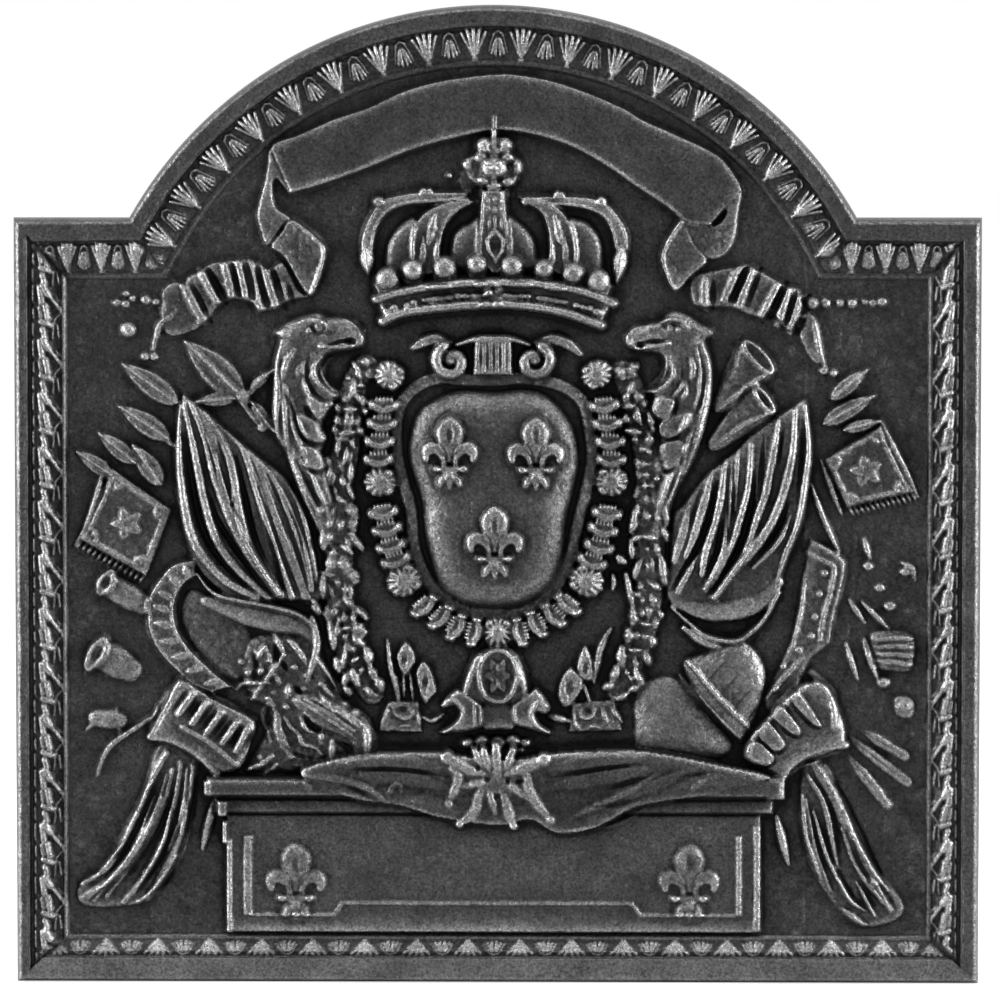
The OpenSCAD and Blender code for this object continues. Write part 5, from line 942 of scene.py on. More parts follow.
cannonsLeft = {
    "barrels": [([(106, 585), (142, 606)], 14), ([(100, 655), (128, 671)], 17),
        ([(95, 720), (118, 722)], 11)],
    "mouths": [(105, 583, 7, 15, 32), (95, 655, 8, 20, 30)],
    "bars": [([(103, 635), (83, 674)], 4.5), ([(117, 656), (105, 679)], 2.6), ([(84, 732), (111, 711)], 4),
        ([(115, 710), (118, 735)], 4), ([(95, 778), (109, 748), (150, 719), (156, 707)], 4)],
}


def drawCannons():
    name = "cannons_left"
    for line, width in cannonsLeft["barrels"]:
        ridge(name, line, width, rise=9, base=0, ends=(0.9, 0.8), power=0.5)
    for u, v, ru, rv, turn in cannonsLeft["mouths"]:
        oval(name, u, v, ru, rv, rise=9, base=1, turn=turn, power=0.3)
        hollow(u, v, ru * 0.6, rv * 0.6, depth=5, turn=turn)
        hoop(name, u, v, ru, rv, width=3, rise=3.5, turn=turn)
    for line, width in cannonsLeft["bars"]:
        ridge(name, line, width, rise=6, base=0)


crescent = {
    "outer": [(196, 560), (174, 565), (160, 579), (149, 597), (147, 613), (149, 633), (158, 652), (174, 670),
        (192, 685), (212, 694)],
    "inner": [(196, 576), (185, 583), (176, 597), (173, 611), (176, 629), (185, 645), (197, 658), (214, 674),
        (231, 688)],
    "dish": [(190, 590), (215, 600), (232, 608), (250, 640), (240, 680), (214, 672), (188, 640), (180, 612)],
}


def drawCrescent():
    name = "crescent_left"
    dome(name, crescent["dish"], rise=5, edge=12, base=0)
    dome(name, bandOf(crescent["outer"], crescent["inner"]), rise=7, edge=3, base=1, smooth=False)
    ridges(name, (crescent["outer"], crescent["inner"]), width=3.2, rise=3.2, ends=0.8)
    outer, inner = flow(crescent["outer"]), flow(crescent["inner"])
    for k in range(4, len(inner) - 3, 6):
        o, i = outer[int(k * (len(outer) - 1) / (len(inner) - 1))], inner[k]
        leaf(name, i * 0.85 + o * 0.15, o * 0.8 + i * 0.2, width=4.2, rise=3.2)


jumbleLeft = {
    "mound": [(250, 640), (290, 632), (318, 644), (330, 672), (344, 700), (372, 722), (374, 760), (340, 770),
        (300, 774), (262, 778), (246, 768), (262, 738), (272, 714), (252, 700), (240, 672)],
    "bundle": [(290, 697), (300, 694), (318, 697), (338, 708), (362, 722), (372, 736), (369, 760),
        (358, 764), (350, 743), (328, 732), (312, 724), (296, 711)],
    "flutes": [[(296, 700), (320, 714), (350, 735)], [(303, 699), (327, 713), (354, 731)],
        [(312, 698), (336, 711), (359, 727)], [(322, 699), (345, 711), (364, 725)]],
    "straps": [([(251, 701), (266, 680), (283, 656)], 3.4, 6), ([(275, 635), (279, 645),
        (285, 655)], 3.6, 5), ([(290, 641), (299, 652), (307, 664)], 4.6, 5), ([(315, 657), (328, 675),
        (341, 692)], 5.2, 6), ([(321, 684), (332, 697)], 3.2, 5), ([(320, 695), (329, 703)], 2.8, 4),
        ([(257, 659), (265, 646)], 3.4, 5), ([(265, 646), (273, 668)], 2.6, 4), ([(235, 691), (243, 685),
        (262, 683)], 3.4, 5), ([(288, 686), (287, 698)], 4.2, 6), ([(275, 676), (279, 684)], 3.2, 4),
        ([(268, 700), (275, 718), (279, 736), (291, 758)], 5.8, 5), ([(285, 719), (290, 728), (298, 735),
        (302, 745), (313, 748), (322, 756)], 2.8, 4.5), ([(301, 719), (305, 729), (312, 733)], 3.2, 4.5),
        ([(332, 741), (331, 767)], 3.6, 5), ([(322, 731), (320, 746)], 3.2, 4),
        ([(362, 720), (368, 733), (369, 759)], 5, 4), ([(246, 772), (262, 765), (272, 757)], 4.4, 5),
        ([(264, 778), (276, 766)], 3.8, 4), ([(266, 706), (262, 720), (270, 742)], 3.4, 3), ([(296, 768),
        (318, 766), (344, 768)], 3.4, 3)],
    "cuts": [([(274, 646), (278, 664)], 2.6, 6), ([(282, 662), (286, 672)], 3, 5),
        ([(308, 662), (312, 680)], 2.4, 5), ([(317, 664), (334, 690)], 2.2, 5), ([(304, 716), (312, 728),
        (324, 733)], 3.4, 5), ([(294, 688), (301, 694)], 2.6, 5),
        ([(338, 744), (348, 750), (350, 762)], 4, 4), ([(252, 652), (256, 668), (252, 684)], 3, 4),
        ([(280, 744), (296, 756), (316, 760)], 2.2, 3)],
    "knobs": [(252, 700, 4.6), (247, 674, 4.6), (260, 672, 5.4), (241, 663, 4.2), (268, 662, 3.2),
        (331, 767, 4.8), (294, 668, 4.4), (306, 676, 3.6), (303, 690, 3.6), (269, 684, 3.2), (273, 693, 3.4),
        (358, 757, 4.2), (248, 770, 4.4), (286, 708, 4.2), (345, 704, 4.4), (355, 712, 4.8), (334, 712, 3),
        (258, 758, 4)],
}


def drawJumble():
    name = "helmet_left"
    dome(name, jumbleLeft["mound"], rise=8, edge=16, base=0)
    dome(name, jumbleLeft["bundle"], rise=4, edge=5)
    ridges(name, jumbleLeft["flutes"], width=2.6, rise=3.4, ends=(0.5, 0.8))
    strokes(name, jumbleLeft["straps"], ends=0.7)
    cuts(jumbleLeft["cuts"])
    for u, v, r in jumbleLeft["knobs"]:
        oval(name, u, v, r, r * 0.85, r)


quiverLeft = {
    "outline": [(180, 680), (215, 701), (254, 722), (250, 746), (241, 769), (217, 775), (182, 752),
        (148, 738), (152, 728), (166, 702)],
    "bars": [[(193, 694), (178, 715)], [(206, 703), (192, 724)], [(221, 713), (206, 734)],
        [(236, 724), (222, 744)], [(247, 730), (236, 752)]],
    "pads": [], "band": [(178, 682), (158, 712), (150, 730)], "lip": [(180, 680), (215, 699), (254, 721)],
    "cuff": [(182, 728), (210, 744), (238, 768)], "rim": [(150, 738), (174, 742), (199, 757), (216, 775)],
}
quiverRight = {
    "outline": [(806, 682), (826, 684), (842, 714), (846, 744), (822, 756), (799, 764), (782, 784),
        (766, 770), (744, 758), (754, 730), (778, 706), (790, 690)],
    "bars": [],
    "pads": [[(744, 744), (758, 740), (774, 755), (771, 766), (758, 768), (745, 759)], [(757, 731),
        (767, 719), (785, 741), (783, 750), (774, 752), (761, 741)], [(770, 716), (780, 703), (801, 728),
        (799, 736), (790, 734)], [(788, 695), (798, 690), (822, 724), (811, 724), (794, 706)]],
    "band": [(811, 673), (829, 690), (834, 705), (834, 727)],
    "lip": [(806, 684), (782, 706), (756, 732), (745, 758)], "cuff": [(783, 783), (804, 765), (845, 750)],
    "rim": [(780, 778), (799, 759), (822, 749), (846, 745)],
}


def drawQuiver(name, quiver):
    dome(name, quiver["outline"], rise=10, edge=8, base=3)
    for pad in quiver["pads"]:
        dome(name, pad, rise=4, edge=4, power=0.6)
        ridge(name, pad[1:4], width=3, rise=3)
        groove(pad + pad[:1], width=2, depth=4)
    for line in quiver["bars"]:
        ridge(name, line, width=4.2, rise=4.5, ends=0.9)
        for side in (-6, 6):
            groove(np.asarray(line, float) + (side, side * 0.5), width=2.4, depth=4)
    ridge(name, quiver["lip"], width=4, rise=4, ends=0.9)
    ridge(name, quiver["band"], width=5, rise=4.5, ends=0.8)
    ridge(name, quiver["cuff"], width=3.4, rise=4, ends=0.9)
    ridge(name, quiver["rim"], width=5, rise=6, base=8, ends=0.9)


draperyLeft = {
    "outline": [(160, 744), (198, 760), (192, 800), (186, 850), (164, 884), (146, 906), (100, 912),
        (76, 906), (78, 884), (106, 866), (128, 824), (142, 790)],
    "folds": [([(166, 754), (152, 779), (142, 803), (131, 824), (107, 869), (80, 887)], 5.5), ([(160, 800),
        (144, 836), (118, 874), (78, 902)], 5.5), ([(172, 770), (160, 812), (140, 852), (104, 900)], 5),
        ([(180, 764), (172, 812), (154, 858), (122, 906)], 5), ([(192, 768), (186, 806), (174, 850),
        (146, 902)], 5.5), ([(184, 800), (181, 836)], 5), ([(170, 812), (160, 850), (132, 898)], 3),
        ([(152, 800), (134, 846), (106, 884), (86, 902)], 3), ([(166, 776), (148, 826), (126, 864),
        (92, 904)], 3), ([(186, 770), (180, 812), (166, 852)], 3),
        ([(176, 858), (160, 884), (136, 906)], 3.4), ([(150, 782), (138, 812)], 3.4),
        ([(122, 846), (96, 876)], 3)],
}
draperyRight = {
    "outline": [(806, 764), (826, 764), (840, 792), (858, 836), (880, 872), (906, 906), (896, 924),
        (862, 930), (838, 912), (812, 872), (800, 830), (800, 790)],
    "folds": [([(815, 766), (836, 800), (854, 837), (876, 884)], 8.5),
        ([(808, 776), (826, 808), (838, 869)], 4.5), ([(842, 830), (858, 868), (882, 904)], 4),
        ([(814, 812), (830, 862), (852, 902)], 3.4), ([(872, 880), (892, 912)], 5),
        ([(806, 800), (816, 850), (832, 892)], 3), ([(858, 884), (876, 918)], 3.4),
        ([(846, 812), (862, 850), (888, 892)], 4), ([(802, 796), (808, 840), (822, 880)], 3.4),
        ([(846, 912), (865, 926)], 5), ([(838, 880), (850, 900), (866, 912)], 4)],
}


def drawDrapery(name, cloth):
    dome(name, cloth["outline"], rise=5, edge=6, base=0)
    for line, width in cloth["folds"]:
        ridge(name, line, width, rise=5.5, ends=0.6, power=0.8)
        groove(np.asarray(line, float) + (width * 1.1, 0), width=2.6, depth=2.4, ends=0.4)


trumpets = {
    "cones": [[(743, 340), (730, 366), (711, 404), (722, 414), (748, 392), (774, 373)], [(753, 385),
        (738, 398), (707, 440), (716, 452), (745, 436), (774, 413)]],
    "bells": [(758, 356, 22, 8, 47), (764, 399, 18, 6, 54)],
    "lines": [[(738, 338), (730, 362), (718, 388)], [(776, 370), (750, 384), (716, 411)],
        [(744, 386), (728, 412), (709, 441)], [(773, 412), (744, 424), (714, 446)]],
}


def drawTrumpets():
    name = "trumpets_right"
    for line in trumpets["cones"]:
        dome(name, line, rise=9, edge=10, base=0)
    ridges(name, trumpets["lines"], width=3, rise=3.2)
    for u, v, ru, rv, turn in trumpets["bells"]:
        oval(name, u, v, ru, rv, rise=10, base=0, turn=turn, power=0.3)
        hollow(u, v, ru * 0.7, rv * 0.6, depth=3.5, turn=turn)
        hoop(name, u, v, ru - 1, rv - 1, width=3, rise=4, turn=turn)


drum = {
    "skin": [(641, 684), (666, 676), (684, 684), (700, 704), (716, 722), (734, 746), (716, 762), (675, 766),
        (641, 758), (634, 731), (634, 700)],
    "shell": [(683, 662), (700, 654), (726, 642), (744, 640), (760, 656), (767, 678), (762, 702), (752, 728),
        (740, 740), (712, 712), (692, 686)],
    "hoops": [[(688, 660), (716, 694), (752, 730)], [(680, 676), (708, 708), (742, 742)]],
    "cordsFrom": (688, 660), "cordsTo": (752, 730), "cordLean": (20, -22),
}


def drawDrum():
    name = "drum_right"
    dome(name, drum["skin"], rise=12, edge=34, base=0)
    dome(name, drum["shell"], rise=12, edge=18, base=2)
    ridges(name, drum["hoops"], width=3.4, rise=5, ends=0.8)
    first, last = np.array(drum["cordsFrom"]), np.array(drum["cordsTo"])
    for share in np.linspace(0.1, 0.9, 5):
        root = first + (last - first) * share
        groove([root, root + drum["cordLean"]], width=1.6, depth=1.8)


buckler = {
    "outline": [(811, 540), (840, 556), (845, 568), (840, 592), (832, 623), (829, 645), (812, 660),
        (796, 690), (772, 714), (764, 700), (776, 672), (790, 640), (800, 600), (804, 566)],
    "rim": [(811, 540), (840, 557), (844, 568), (840, 590), (832, 623), (829, 643)],
    "inner": [(806, 552), (830, 564), (834, 572), (830, 592), (822, 622), (820, 640)],
    "studs": [(825, 573), (820, 594), (815, 617), (812, 636), (799, 650), (783, 666), (776, 690)],
    "bars": [[(762, 702), (782, 680), (801, 659)], [(768, 718), (782, 700), (798, 682)],
        [(792, 648), (800, 610), (804, 572)]],
}


def drawBuckler():
    name = "buckler_right"
    dome(name, buckler["outline"], rise=6, edge=6, base=0)
    ridges(name, (buckler["rim"], buckler["inner"]), width=3.4, rise=4, ends=0.8)
    ridges(name, buckler["bars"], width=4, rise=4.5)
    for u, v in buckler["studs"]:
        oval(name, u, v, 4, 4, rise=4)


arrows = {
    "shafts": [[(862, 731), (884, 744), (906, 757)], [(849, 738), (878, 760), (908, 783)],
        [(849, 757), (868, 780), (888, 806)]],
    "glove": [(870, 634), (894, 630), (914, 636), (916, 656), (910, 672), (892, 672), (878, 668)],
    "fingers": [[(876, 640), (894, 638), (912, 638)], [(876, 647), (894, 646), (912, 647)],
        [(876, 654), (894, 654), (912, 656)], [(876, 661), (894, 662), (912, 665)]],
    "cuff": [(864, 641), (870, 660), (878, 680)], "barrel": [(896, 696), (914, 699), (914, 718), (896, 716)],
}


def drawArrows():
    name = "arrows_right"
    for line in arrows["shafts"]:
        ridge(name, line, width=7, rise=6, base=0, ends=(0.2, 0.9))
        groove(line, width=1.5, depth=2)
    dome(name, arrows["glove"], rise=7, edge=8, base=0)
    ridges(name, arrows["fingers"], width=3.6, rise=4, ends=(0.5, 0.9))
    ridge(name, arrows["cuff"], width=4, rise=7, base=1)
    dome(name, arrows["barrel"], rise=6, edge=5, base=0)


# plinth
plinth = {
    "slab": [(205, 777), (785, 777), (786, 800), (205, 799)], "slabRise": 21,
    "step": [(212, 798), (776, 798), (774, 816), (214, 816)], "stepRise": 14,
    "body": [(225, 815), (762, 815), (762, 936), (225, 936)], "bodyRise": 9,
    "posts": [(225, 232, 840, 936), (242, 252, 836, 918), (736, 743, 836, 918), (754, 762, 826, 934)],
    "brackets": [[(213, 801), (207, 826), (201, 852)], [(777, 818), (783, 842), (789, 866)]],
    "blocks": [(217, 227, 801, 818), (221, 227, 822, 846), (766, 786, 777, 800), (203, 214, 781, 797)],
    "panelLine": [(250, 917), (334, 917), (342, 905), (632, 905), (641, 917), (735, 917)],
    "lilies": [(295, 876, 1.05), (690, 876, 1.05)],
}


def box(name, u0, u1, v0, v1, rise, edge, base):
    # a raised square block
    dome(name, [(u0, v0), (u1, v0), (u1, v1), (u0, v1)], rise, edge, base, smooth=False)


def drawPlinth():
    dome("plinth_body", plinth["body"], plinth["bodyRise"], edge=3, base=0, smooth=False)
    for u0, u1, v0, v1 in plinth["posts"]:
        box("plinth_body", u0, u1, v0, v1, rise=4, edge=3, base=plinth["bodyRise"])
    ridges("plinth_body", plinth["brackets"], width=6, rise=10, base=0)
    ridge("plinth_panel", plinth["panelLine"], width=2.6, rise=3, smooth=False, ends=0.9)
    for u, v, size in plinth["lilies"]:
        drawLily("plinth_lilies", u, v, size, rise=5.5, worn=0.8)
    dome("plinth_slab", plinth["step"], plinth["stepRise"], edge=5, base=0, smooth=False)
    dome("plinth_slab", plinth["slab"], plinth["slabRise"], edge=6, base=0, smooth=False)
    for u0, u1, v0, v1 in plinth["blocks"]:
        box("plinth_slab", u0, u1, v0, v1, rise=5, edge=3, base=plinth["stepRise"])


plinthCloth = {
    "outline": [(300, 774), (330, 760), (380, 752), (440, 752), (500, 760), (560, 752), (640, 750),
        (720, 764), (770, 776), (740, 786), (700, 796), (640, 806), (600, 826), (560, 834), (530, 820),
        (500, 826), (440, 818), (400, 806), (350, 798)],
    "folds": [([(302, 776), (336, 779), (365, 787), (389, 803)], 4.4, 4), ([(340, 763), (384, 761),
        (448, 767)], 8, 3.2), ([(352, 777), (400, 777), (450, 787)], 8, 3),
        ([(302, 775), (312, 792)], 3, 2.5), ([(386, 799), (394, 785), (401, 786), (401, 796)], 2.6, 2.5),
        ([(400, 796), (440, 804), (470, 814)], 6, 2), ([(548, 768), (600, 760), (644, 757)], 8, 3.2),
        ([(548, 787), (604, 777), (654, 768)], 8, 3), ([(568, 819), (618, 796), (658, 773)], 4, 3.6),
        ([(556, 831), (604, 828), (628, 820), (648, 806)], 3.4, 3), ([(606, 800), (652, 786),
        (692, 768)], 6, 2.6), ([(686, 796), (712, 772)], 3, 2.5), ([(664, 790), (700, 782),
        (744, 777)], 6, 2.6)],
    "gaps": [([(344, 770), (400, 769), (452, 777)], 2.6, 3), ([(546, 778), (600, 768), (646, 763)], 2.6, 3),
        ([(604, 790), (632, 781), (652, 775)], 2.4, 3), ([(340, 783), (366, 794), (382, 806)], 2.4, 2.4),
        ([(586, 806), (618, 804), (650, 794)], 2.4, 2.4), ([(672, 776), (696, 774), (720, 770)], 2, 2)],
}


def drawCloth():
    dome("plinth_cloth", plinthCloth["outline"], rise=2.4, edge=10, base=21)
    strokes("plinth_cloth", plinthCloth["folds"], ends=0.3, power=0.7)
    cuts(plinthCloth["gaps"], ends=0.3)


# leaves, bars and holes at the feet of the outer collars
fillers = {
    "outer_collar_left": {
        "leaves": [[(405, 641), (413, 649), (416, 660), (411, 672), (404, 677), (398, 668), (396, 656)],
            [(422, 661), (430, 667), (435, 680), (438, 692), (431, 700), (426, 706), (420, 697), (416, 684),
            (415, 671)]],
        "dents": [(404, 660, 4, 9), (425, 684, 4, 11)],
        "block": [(378, 734), (387, 702), (419, 702), (423, 734)],
        "strips": [([(387, 641), (391, 670), (398, 700)], 4, 9), ([(403, 675), (404, 698)], 2.6, 8),
            ([(410, 674), (413, 701)], 2.6, 8), ([(397, 676), (399, 700)], 2.4, 7), ([(393, 703), (394, 714),
            (403, 720), (412, 716), (414, 705)], 2.8, 9), ([(380, 731), (388, 706)], 3, 9),
            ([(418, 712), (420, 731)], 3, 9), ([(398, 727), (412, 727)], 2.6, 8), ([(422, 718), (432, 722),
            (444, 715)], 3.4, 7)],
        "hole": (403, 711, 5, 4),
    },
    "outer_collar_right": {
        "leaves": [[(584, 645), (592, 656), (594, 678), (585, 682), (576, 668)], [(570, 667), (578, 673),
            (584, 682), (580, 696), (566, 709), (557, 698), (560, 680)]],
        "dents": [(586, 668, 4, 9), (570, 688, 5, 11)],
        "block": [(568, 734), (572, 703), (615, 700), (623, 732)],
        "strips": [([(611, 629), (601, 648), (594, 682)], 5, 9), ([(584, 684), (590, 703)], 3, 8),
            ([(581, 707), (581, 717), (590, 719), (595, 712), (592, 706)], 2.8, 9),
            ([(601, 707), (609, 728)], 4, 9), ([(574, 713), (576, 732)], 3, 9),
            ([(588, 727), (600, 728)], 2.6, 8), ([(549, 717), (570, 722)], 5, 8),
            ([(611, 708), (622, 723)], 4, 9)],
        "hole": (588, 712, 4.4, 3.6),
    },
}


def drawFillers():
    for name, parts in fillers.items():
        dome(name, parts["block"], rise=5, edge=3, base=1, smooth=False)
        for line in parts["leaves"]:
            dome(name, line, rise=9, edge=4, base=1)
        for u, v, ru, rv in parts["dents"]:
            hollow(u, v, ru, rv, depth=3.4)
        for line, width, rise in parts["strips"]:
            ridge(name, line, width, rise, base=1, ends=0.6)
        hollow(*parts["hole"], depth=3.5)


drawCannons()
drawCrescent()
drawSpears("spears_left", spearsLeft)
drawSpears("spears_right", spearsRight)
drawBanner("banner_left", bannerLeft)
drawBanner("banner_right", bannerRight)
drawTrumpets()
drawBuckler()
drawArrows()
drawDrapery("drapery_left", draperyLeft)
drawDrapery("drapery_right", draperyRight)
drawDrum()
drawJumble()
drawQuiver("quiver_left", quiverLeft)
drawQuiver("quiver_right", quiverRight)
drawEagle("eagle_left", eagleLeft)
drawEagle("eagle_right", eagleRight)
drawFlag("flag_left", flagLeft)
drawFlag("flag_right", flagRight)
drawFillers()
drawTail("ribbon_tail_left", ribbonLeft)
drawTail("ribbon_tail_right", ribbonRight)
drawRibbon()
drawShield()
drawVolutes()
drawCrown()
drawCollar()
drawOuter("outer_collar_left", outerLeft)
drawOuter("outer_collar_right", outerRight)
drawPlinth()
drawCloth()
drawMedallion()
drawBracket()
drawCross()
print("relief drawn:", len(pieceNames), "pieces")

# the casting's skin, and its wear together with painted light and shade
weather = {
    "seed": 11, "softening": 1,
    "skin": 1.0,        # how much of the sand's skin the relief takes
    "pits": 900, "pitSize": 3.0, "beads": 520, "beadSize": 2.1, "smallest": 1.3,
    # wear and painted shade compare each height with those near it and further round: passes of softening,
    # and weight
    "near": (40, 0.7), "far": (260, 0.5), "farLimits": (-12, 2.5), "plainWearAndShade": 0.2, "wearAndShadeRange": 9,
    # how much lighter or darker than its neighbours a piece's colour and shine are painted, as painted light
    # and shade
    "paintedTone": {
        "plinth_cloth": -1.9, "plinth_slab": -2.0, "ribbon_band": -0.7, "cross_pendant": 0.6, "shield": 0.1,
        "crown_straps": 0.9, "crown_cap": 0.3, "crown_circlet": 0.8, "crown_jewels": 0.6, "drum_right": 0.5,
        "quiver_right": 0.4, "buckler_right": 0.4, "shield_frame": -0.4, "flag_left": 0.3, "flag_right": 0.4,
        "drapery_right": -0.3,
    },
    # how lumpy the worn metal of each piece is, in mm; the rest have the plain lumps
    "plainLumps": 0.75,
    "lumps": {
        "field": 0.4, "ribbon_band": 0.2, "shield": 0.38, "shield_lilies": 0.2, "crown_pearls": 0.15,
        "crown_cap": 0.3, "crown_circlet": 0.45, "crown_straps": 0.4, "shield_volutes": 0.35,
        "shield_frame": 1.3, "flag_left": 0.35, "flag_right": 0.35, "drum_right": 0.4, "plinth_body": 0.3,
        "plinth_slab": 0.35, "collar_links": 0.6, "collar_shells": 0.5, "outer_collar_left": 1.5,
        "outer_collar_right": 1.5, "eagle_left": 0.6, "eagle_right": 0.6, "medallion": 0.9,
        "scroll_bracket": 0.6, "helmet_left": 1.2, "crown_finial": 1.2,
    },
}


def perPiece(values, plain, passes):
    # one value for each piece, spread over its cells and blended where pieces meet
    return soften(np.array([values.get(name, plain) for name in pieceNames])[owner], passes)


def weatherRelief(heights):
    # soft edges, the sand's skin, worn lumps and an uneven surface, then pits and beads of iron
    heights = soften(heights, weather["softening"])
    clots = 0.62 * mottle(uGrid, vGrid, 5.6, 201) + 0.5 * mottle(uGrid + 31, vGrid + 17, 3.3, 202)
    clots = clots * perPiece(weather["lumps"], weather["plainLumps"], 2)
    heights = heights + castSkin(uGrid, vGrid, weather["seed"]) * weather["skin"] + clots
    uneven = 0.6 * mottle(uGrid, vGrid, 13, 205) + 0.4 * mottle(uGrid + 9, vGrid, 6.5, 206)
    region = 0.7 + 0.5 * mottle(uGrid, vGrid, 120, 208) + 0.5 * np.clip((uGrid - 600) / 250, 0, 1)
    heights = heights + uneven * np.clip(region, 0.1, None) * np.where(owner == 0, 0.9, 0.35)
    rng = np.random.default_rng(weather["seed"])
    for way, count, largest in ((-1, weather["pits"], weather["pitSize"]),
                                (1, weather["beads"], weather["beadSize"])):
        for _ in range(count):
            u = rng.uniform(sheet["left"], sheet["right"])
            v = rng.uniform(sheet["top"], sheet["bottom"])
            r = rng.uniform(weather["smallest"], largest)
            view = around([[u, v]], r + cell)
            far = ((uGrid[view] - u) ** 2 + (vGrid[view] - v) ** 2) / r ** 2
            heights[view] += way * rng.uniform(0.3, 0.9) * np.clip(1 - far, 0, None)
    return np.clip(heights, -sheet["deepest"], sheet["highest"])


def wearAndShadeOf(heights):
    # above 0 on what stands proud and below 0 in the hollows; besides wear, this paints shade into hollows
    # and onto the field near tall relief, and highlight onto what stands proud
    (nearPasses, nearWeight), (farPasses, farWeight) = weather["near"], weather["far"]
    near = nearWeight * (heights - soften(heights, nearPasses))
    far = farWeight * np.clip(heights - soften(heights, farPasses), *weather["farLimits"])
    return near + far + weather["plainWearAndShade"] + perPiece(weather["paintedTone"], 0, 3)


relief = weatherRelief(relief)
# worn holds wear together with painted shade in the hollows and painted highlight on proud parts
worn = wearAndShadeOf(relief)


def settleOwners():
    # no two cells of one piece meet only at a corner
    for _ in range(12):
        changed = 0
        for down in (1, -1):
            a, b = owner[:-1, :-1], owner[1:, 1:]
            c, d = owner[:-1, 1:], owner[1:, :-1]
            if down < 0:
                a, b, c, d = c, d, a, b
            lone = (a == b) & (c != a) & (d != a)
            changed += int(lone.sum())
            c[lone] = a[lone]
        if not changed:
            break


# iron
iron = {
    # polish lightens proud parts, partly real wear and partly painted highlight; soot darkens random patches
    # and, as painted shade, the hollows
    "colour": (0.009, 0.009, 0.0095, 1), "polishAndSheen": (0.022, 0.022, 0.023, 1),
    "sootAndShade": (0.004, 0.004, 0.004, 1), "patchScale": 7, "patchSoot": 0.45,
    # the metal's shine in the deepest hollows, on flats and on the proudest edges: the low shine in the
    # hollows is painted shade, and the high shine on the edges is partly wear and partly painted highlight
    "shineLow": 0.02, "shineFlat": 0.13, "shineHigh": 0.66,
    # how far specks and blotches dim and lift that shine
    "speckScale": 340, "speckRange": (0.25, 1.75), "blotchScale": 26, "blotchRange": (0.62, 1.38),
    "roughness": (0.2, 0.46), "wornRoughness": (1.12, 0.86),
    # sand grain and coarser lumps as bumps, with depths in metres
    "grainScale": 460, "grainBump": 0.85, "grainDepth": 0.0009,
    "lumpScale": 180, "lumpBump": 0.7, "lumpDepth": 0.0016,
}


def fillInputs(tree, node, values):
    # a value is linked where it is another node's output, and set where it is plain
    for key, value in values.items():
        if isinstance(value, bpy.types.NodeSocket):
            tree.links.new(value, node.inputs[key])
        else:
            node.inputs[key].default_value = value


def addNode(tree, kind, values=None, **settings):
    node = tree.nodes.new("ShaderNode" + kind)
    for key, value in settings.items():
        setattr(node, key, value)
    fillInputs(tree, node, values or {})
    return node


def makeIron(name, shift, shine):
    # shift moves the patterns, so that no two finishes share them, and shine scales this finish's gloss
    material = bpy.data.materials.new(name)
    material.use_nodes = True
    tree = material.node_tree
    where = addNode(tree, "TexCoord").outputs["Object"]
    shifted = addNode(tree, "Mapping", {"Vector": where, "Location": shift}).outputs["Vector"]
    wearAndShade = addNode(tree, "Attribute", attribute_name="wearAndShade").outputs["Fac"]

    def noise(scale, detail, rough=0.55):
        return addNode(tree, "TexNoise", {"Vector": shifted, "Scale": scale, "Detail": detail,
                                          "Roughness": rough}).outputs["Fac"]

    def between(source, low, high, toLow, toHigh):
        return addNode(tree, "MapRange", {"Value": source, "From Min": low, "From Max": high,
                                          "To Min": toLow, "To Max": toHigh}).outputs["Result"]

    def blend(share, one, two):
        mix = addNode(tree, "Mix", data_type="RGBA")
        fillInputs(tree, mix, {"Factor": share, "A": one, "B": two})
        return mix.outputs["Result"]

    def combine(kind, one, two):
        return addNode(tree, "Math", {0: one, 1: two}, operation=kind).outputs["Value"]

    patches = between(noise(iron["patchScale"], 4), 0.35, 0.65, 0.0, iron["patchSoot"])
    colour = blend(patches, iron["colour"], iron["sootAndShade"])
    # hollows and the field near tall relief darken towards soot: partly real soot, partly painted shade
    colour = blend(between(wearAndShade, 0.5, 0.12, 0.0, 1.0), colour, iron["sootAndShade"])
    # proud parts lighten towards polish: partly real wear, partly painted highlight
    colour = blend(between(wearAndShade, 0.5, 1.0, 0.0, 1.0), colour, iron["polishAndSheen"])
    # low shine in the hollows paints shade; high shine on proud edges is partly wear and partly painted
    # highlight
    flats = between(wearAndShade, 0.1, 0.5, iron["shineLow"] * shine, iron["shineFlat"] * shine)
    edges = between(wearAndShade, 0.52, 0.9, 0.0, (iron["shineHigh"] - iron["shineFlat"]) * shine)
    specks = between(noise(iron["speckScale"], 3, 0.75), 0.3, 0.7, *iron["speckRange"])
    blotches = between(noise(iron["blotchScale"], 5, 0.65), 0.3, 0.7, *iron["blotchRange"])
    gloss = combine("MULTIPLY", combine("MULTIPLY", combine("ADD", flats, edges), specks), blotches)
    grain = noise(iron["grainScale"], 5, 0.62)
    rough = combine("MULTIPLY", between(grain, 0.3, 0.7, *iron["roughness"]),
                    between(wearAndShade, 0.2, 0.9, *iron["wornRoughness"]))
    lumps = addNode(tree, "Bump", {"Strength": iron["lumpBump"], "Distance": iron["lumpDepth"],
                                   "Height": noise(iron["lumpScale"], 4)}).outputs["Normal"]
    skin = addNode(tree, "Bump", {"Strength": iron["grainBump"], "Distance": iron["grainDepth"],
                                  "Height": grain, "Normal": lumps}).outputs["Normal"]
    fillInputs(tree, tree.nodes["Principled BSDF"], {
        "Metallic": 0.0, "IOR": 2.0, "Base Color": colour, "Specular IOR Level": gloss, "Roughness": rough,
        "Normal": skin})
    return material


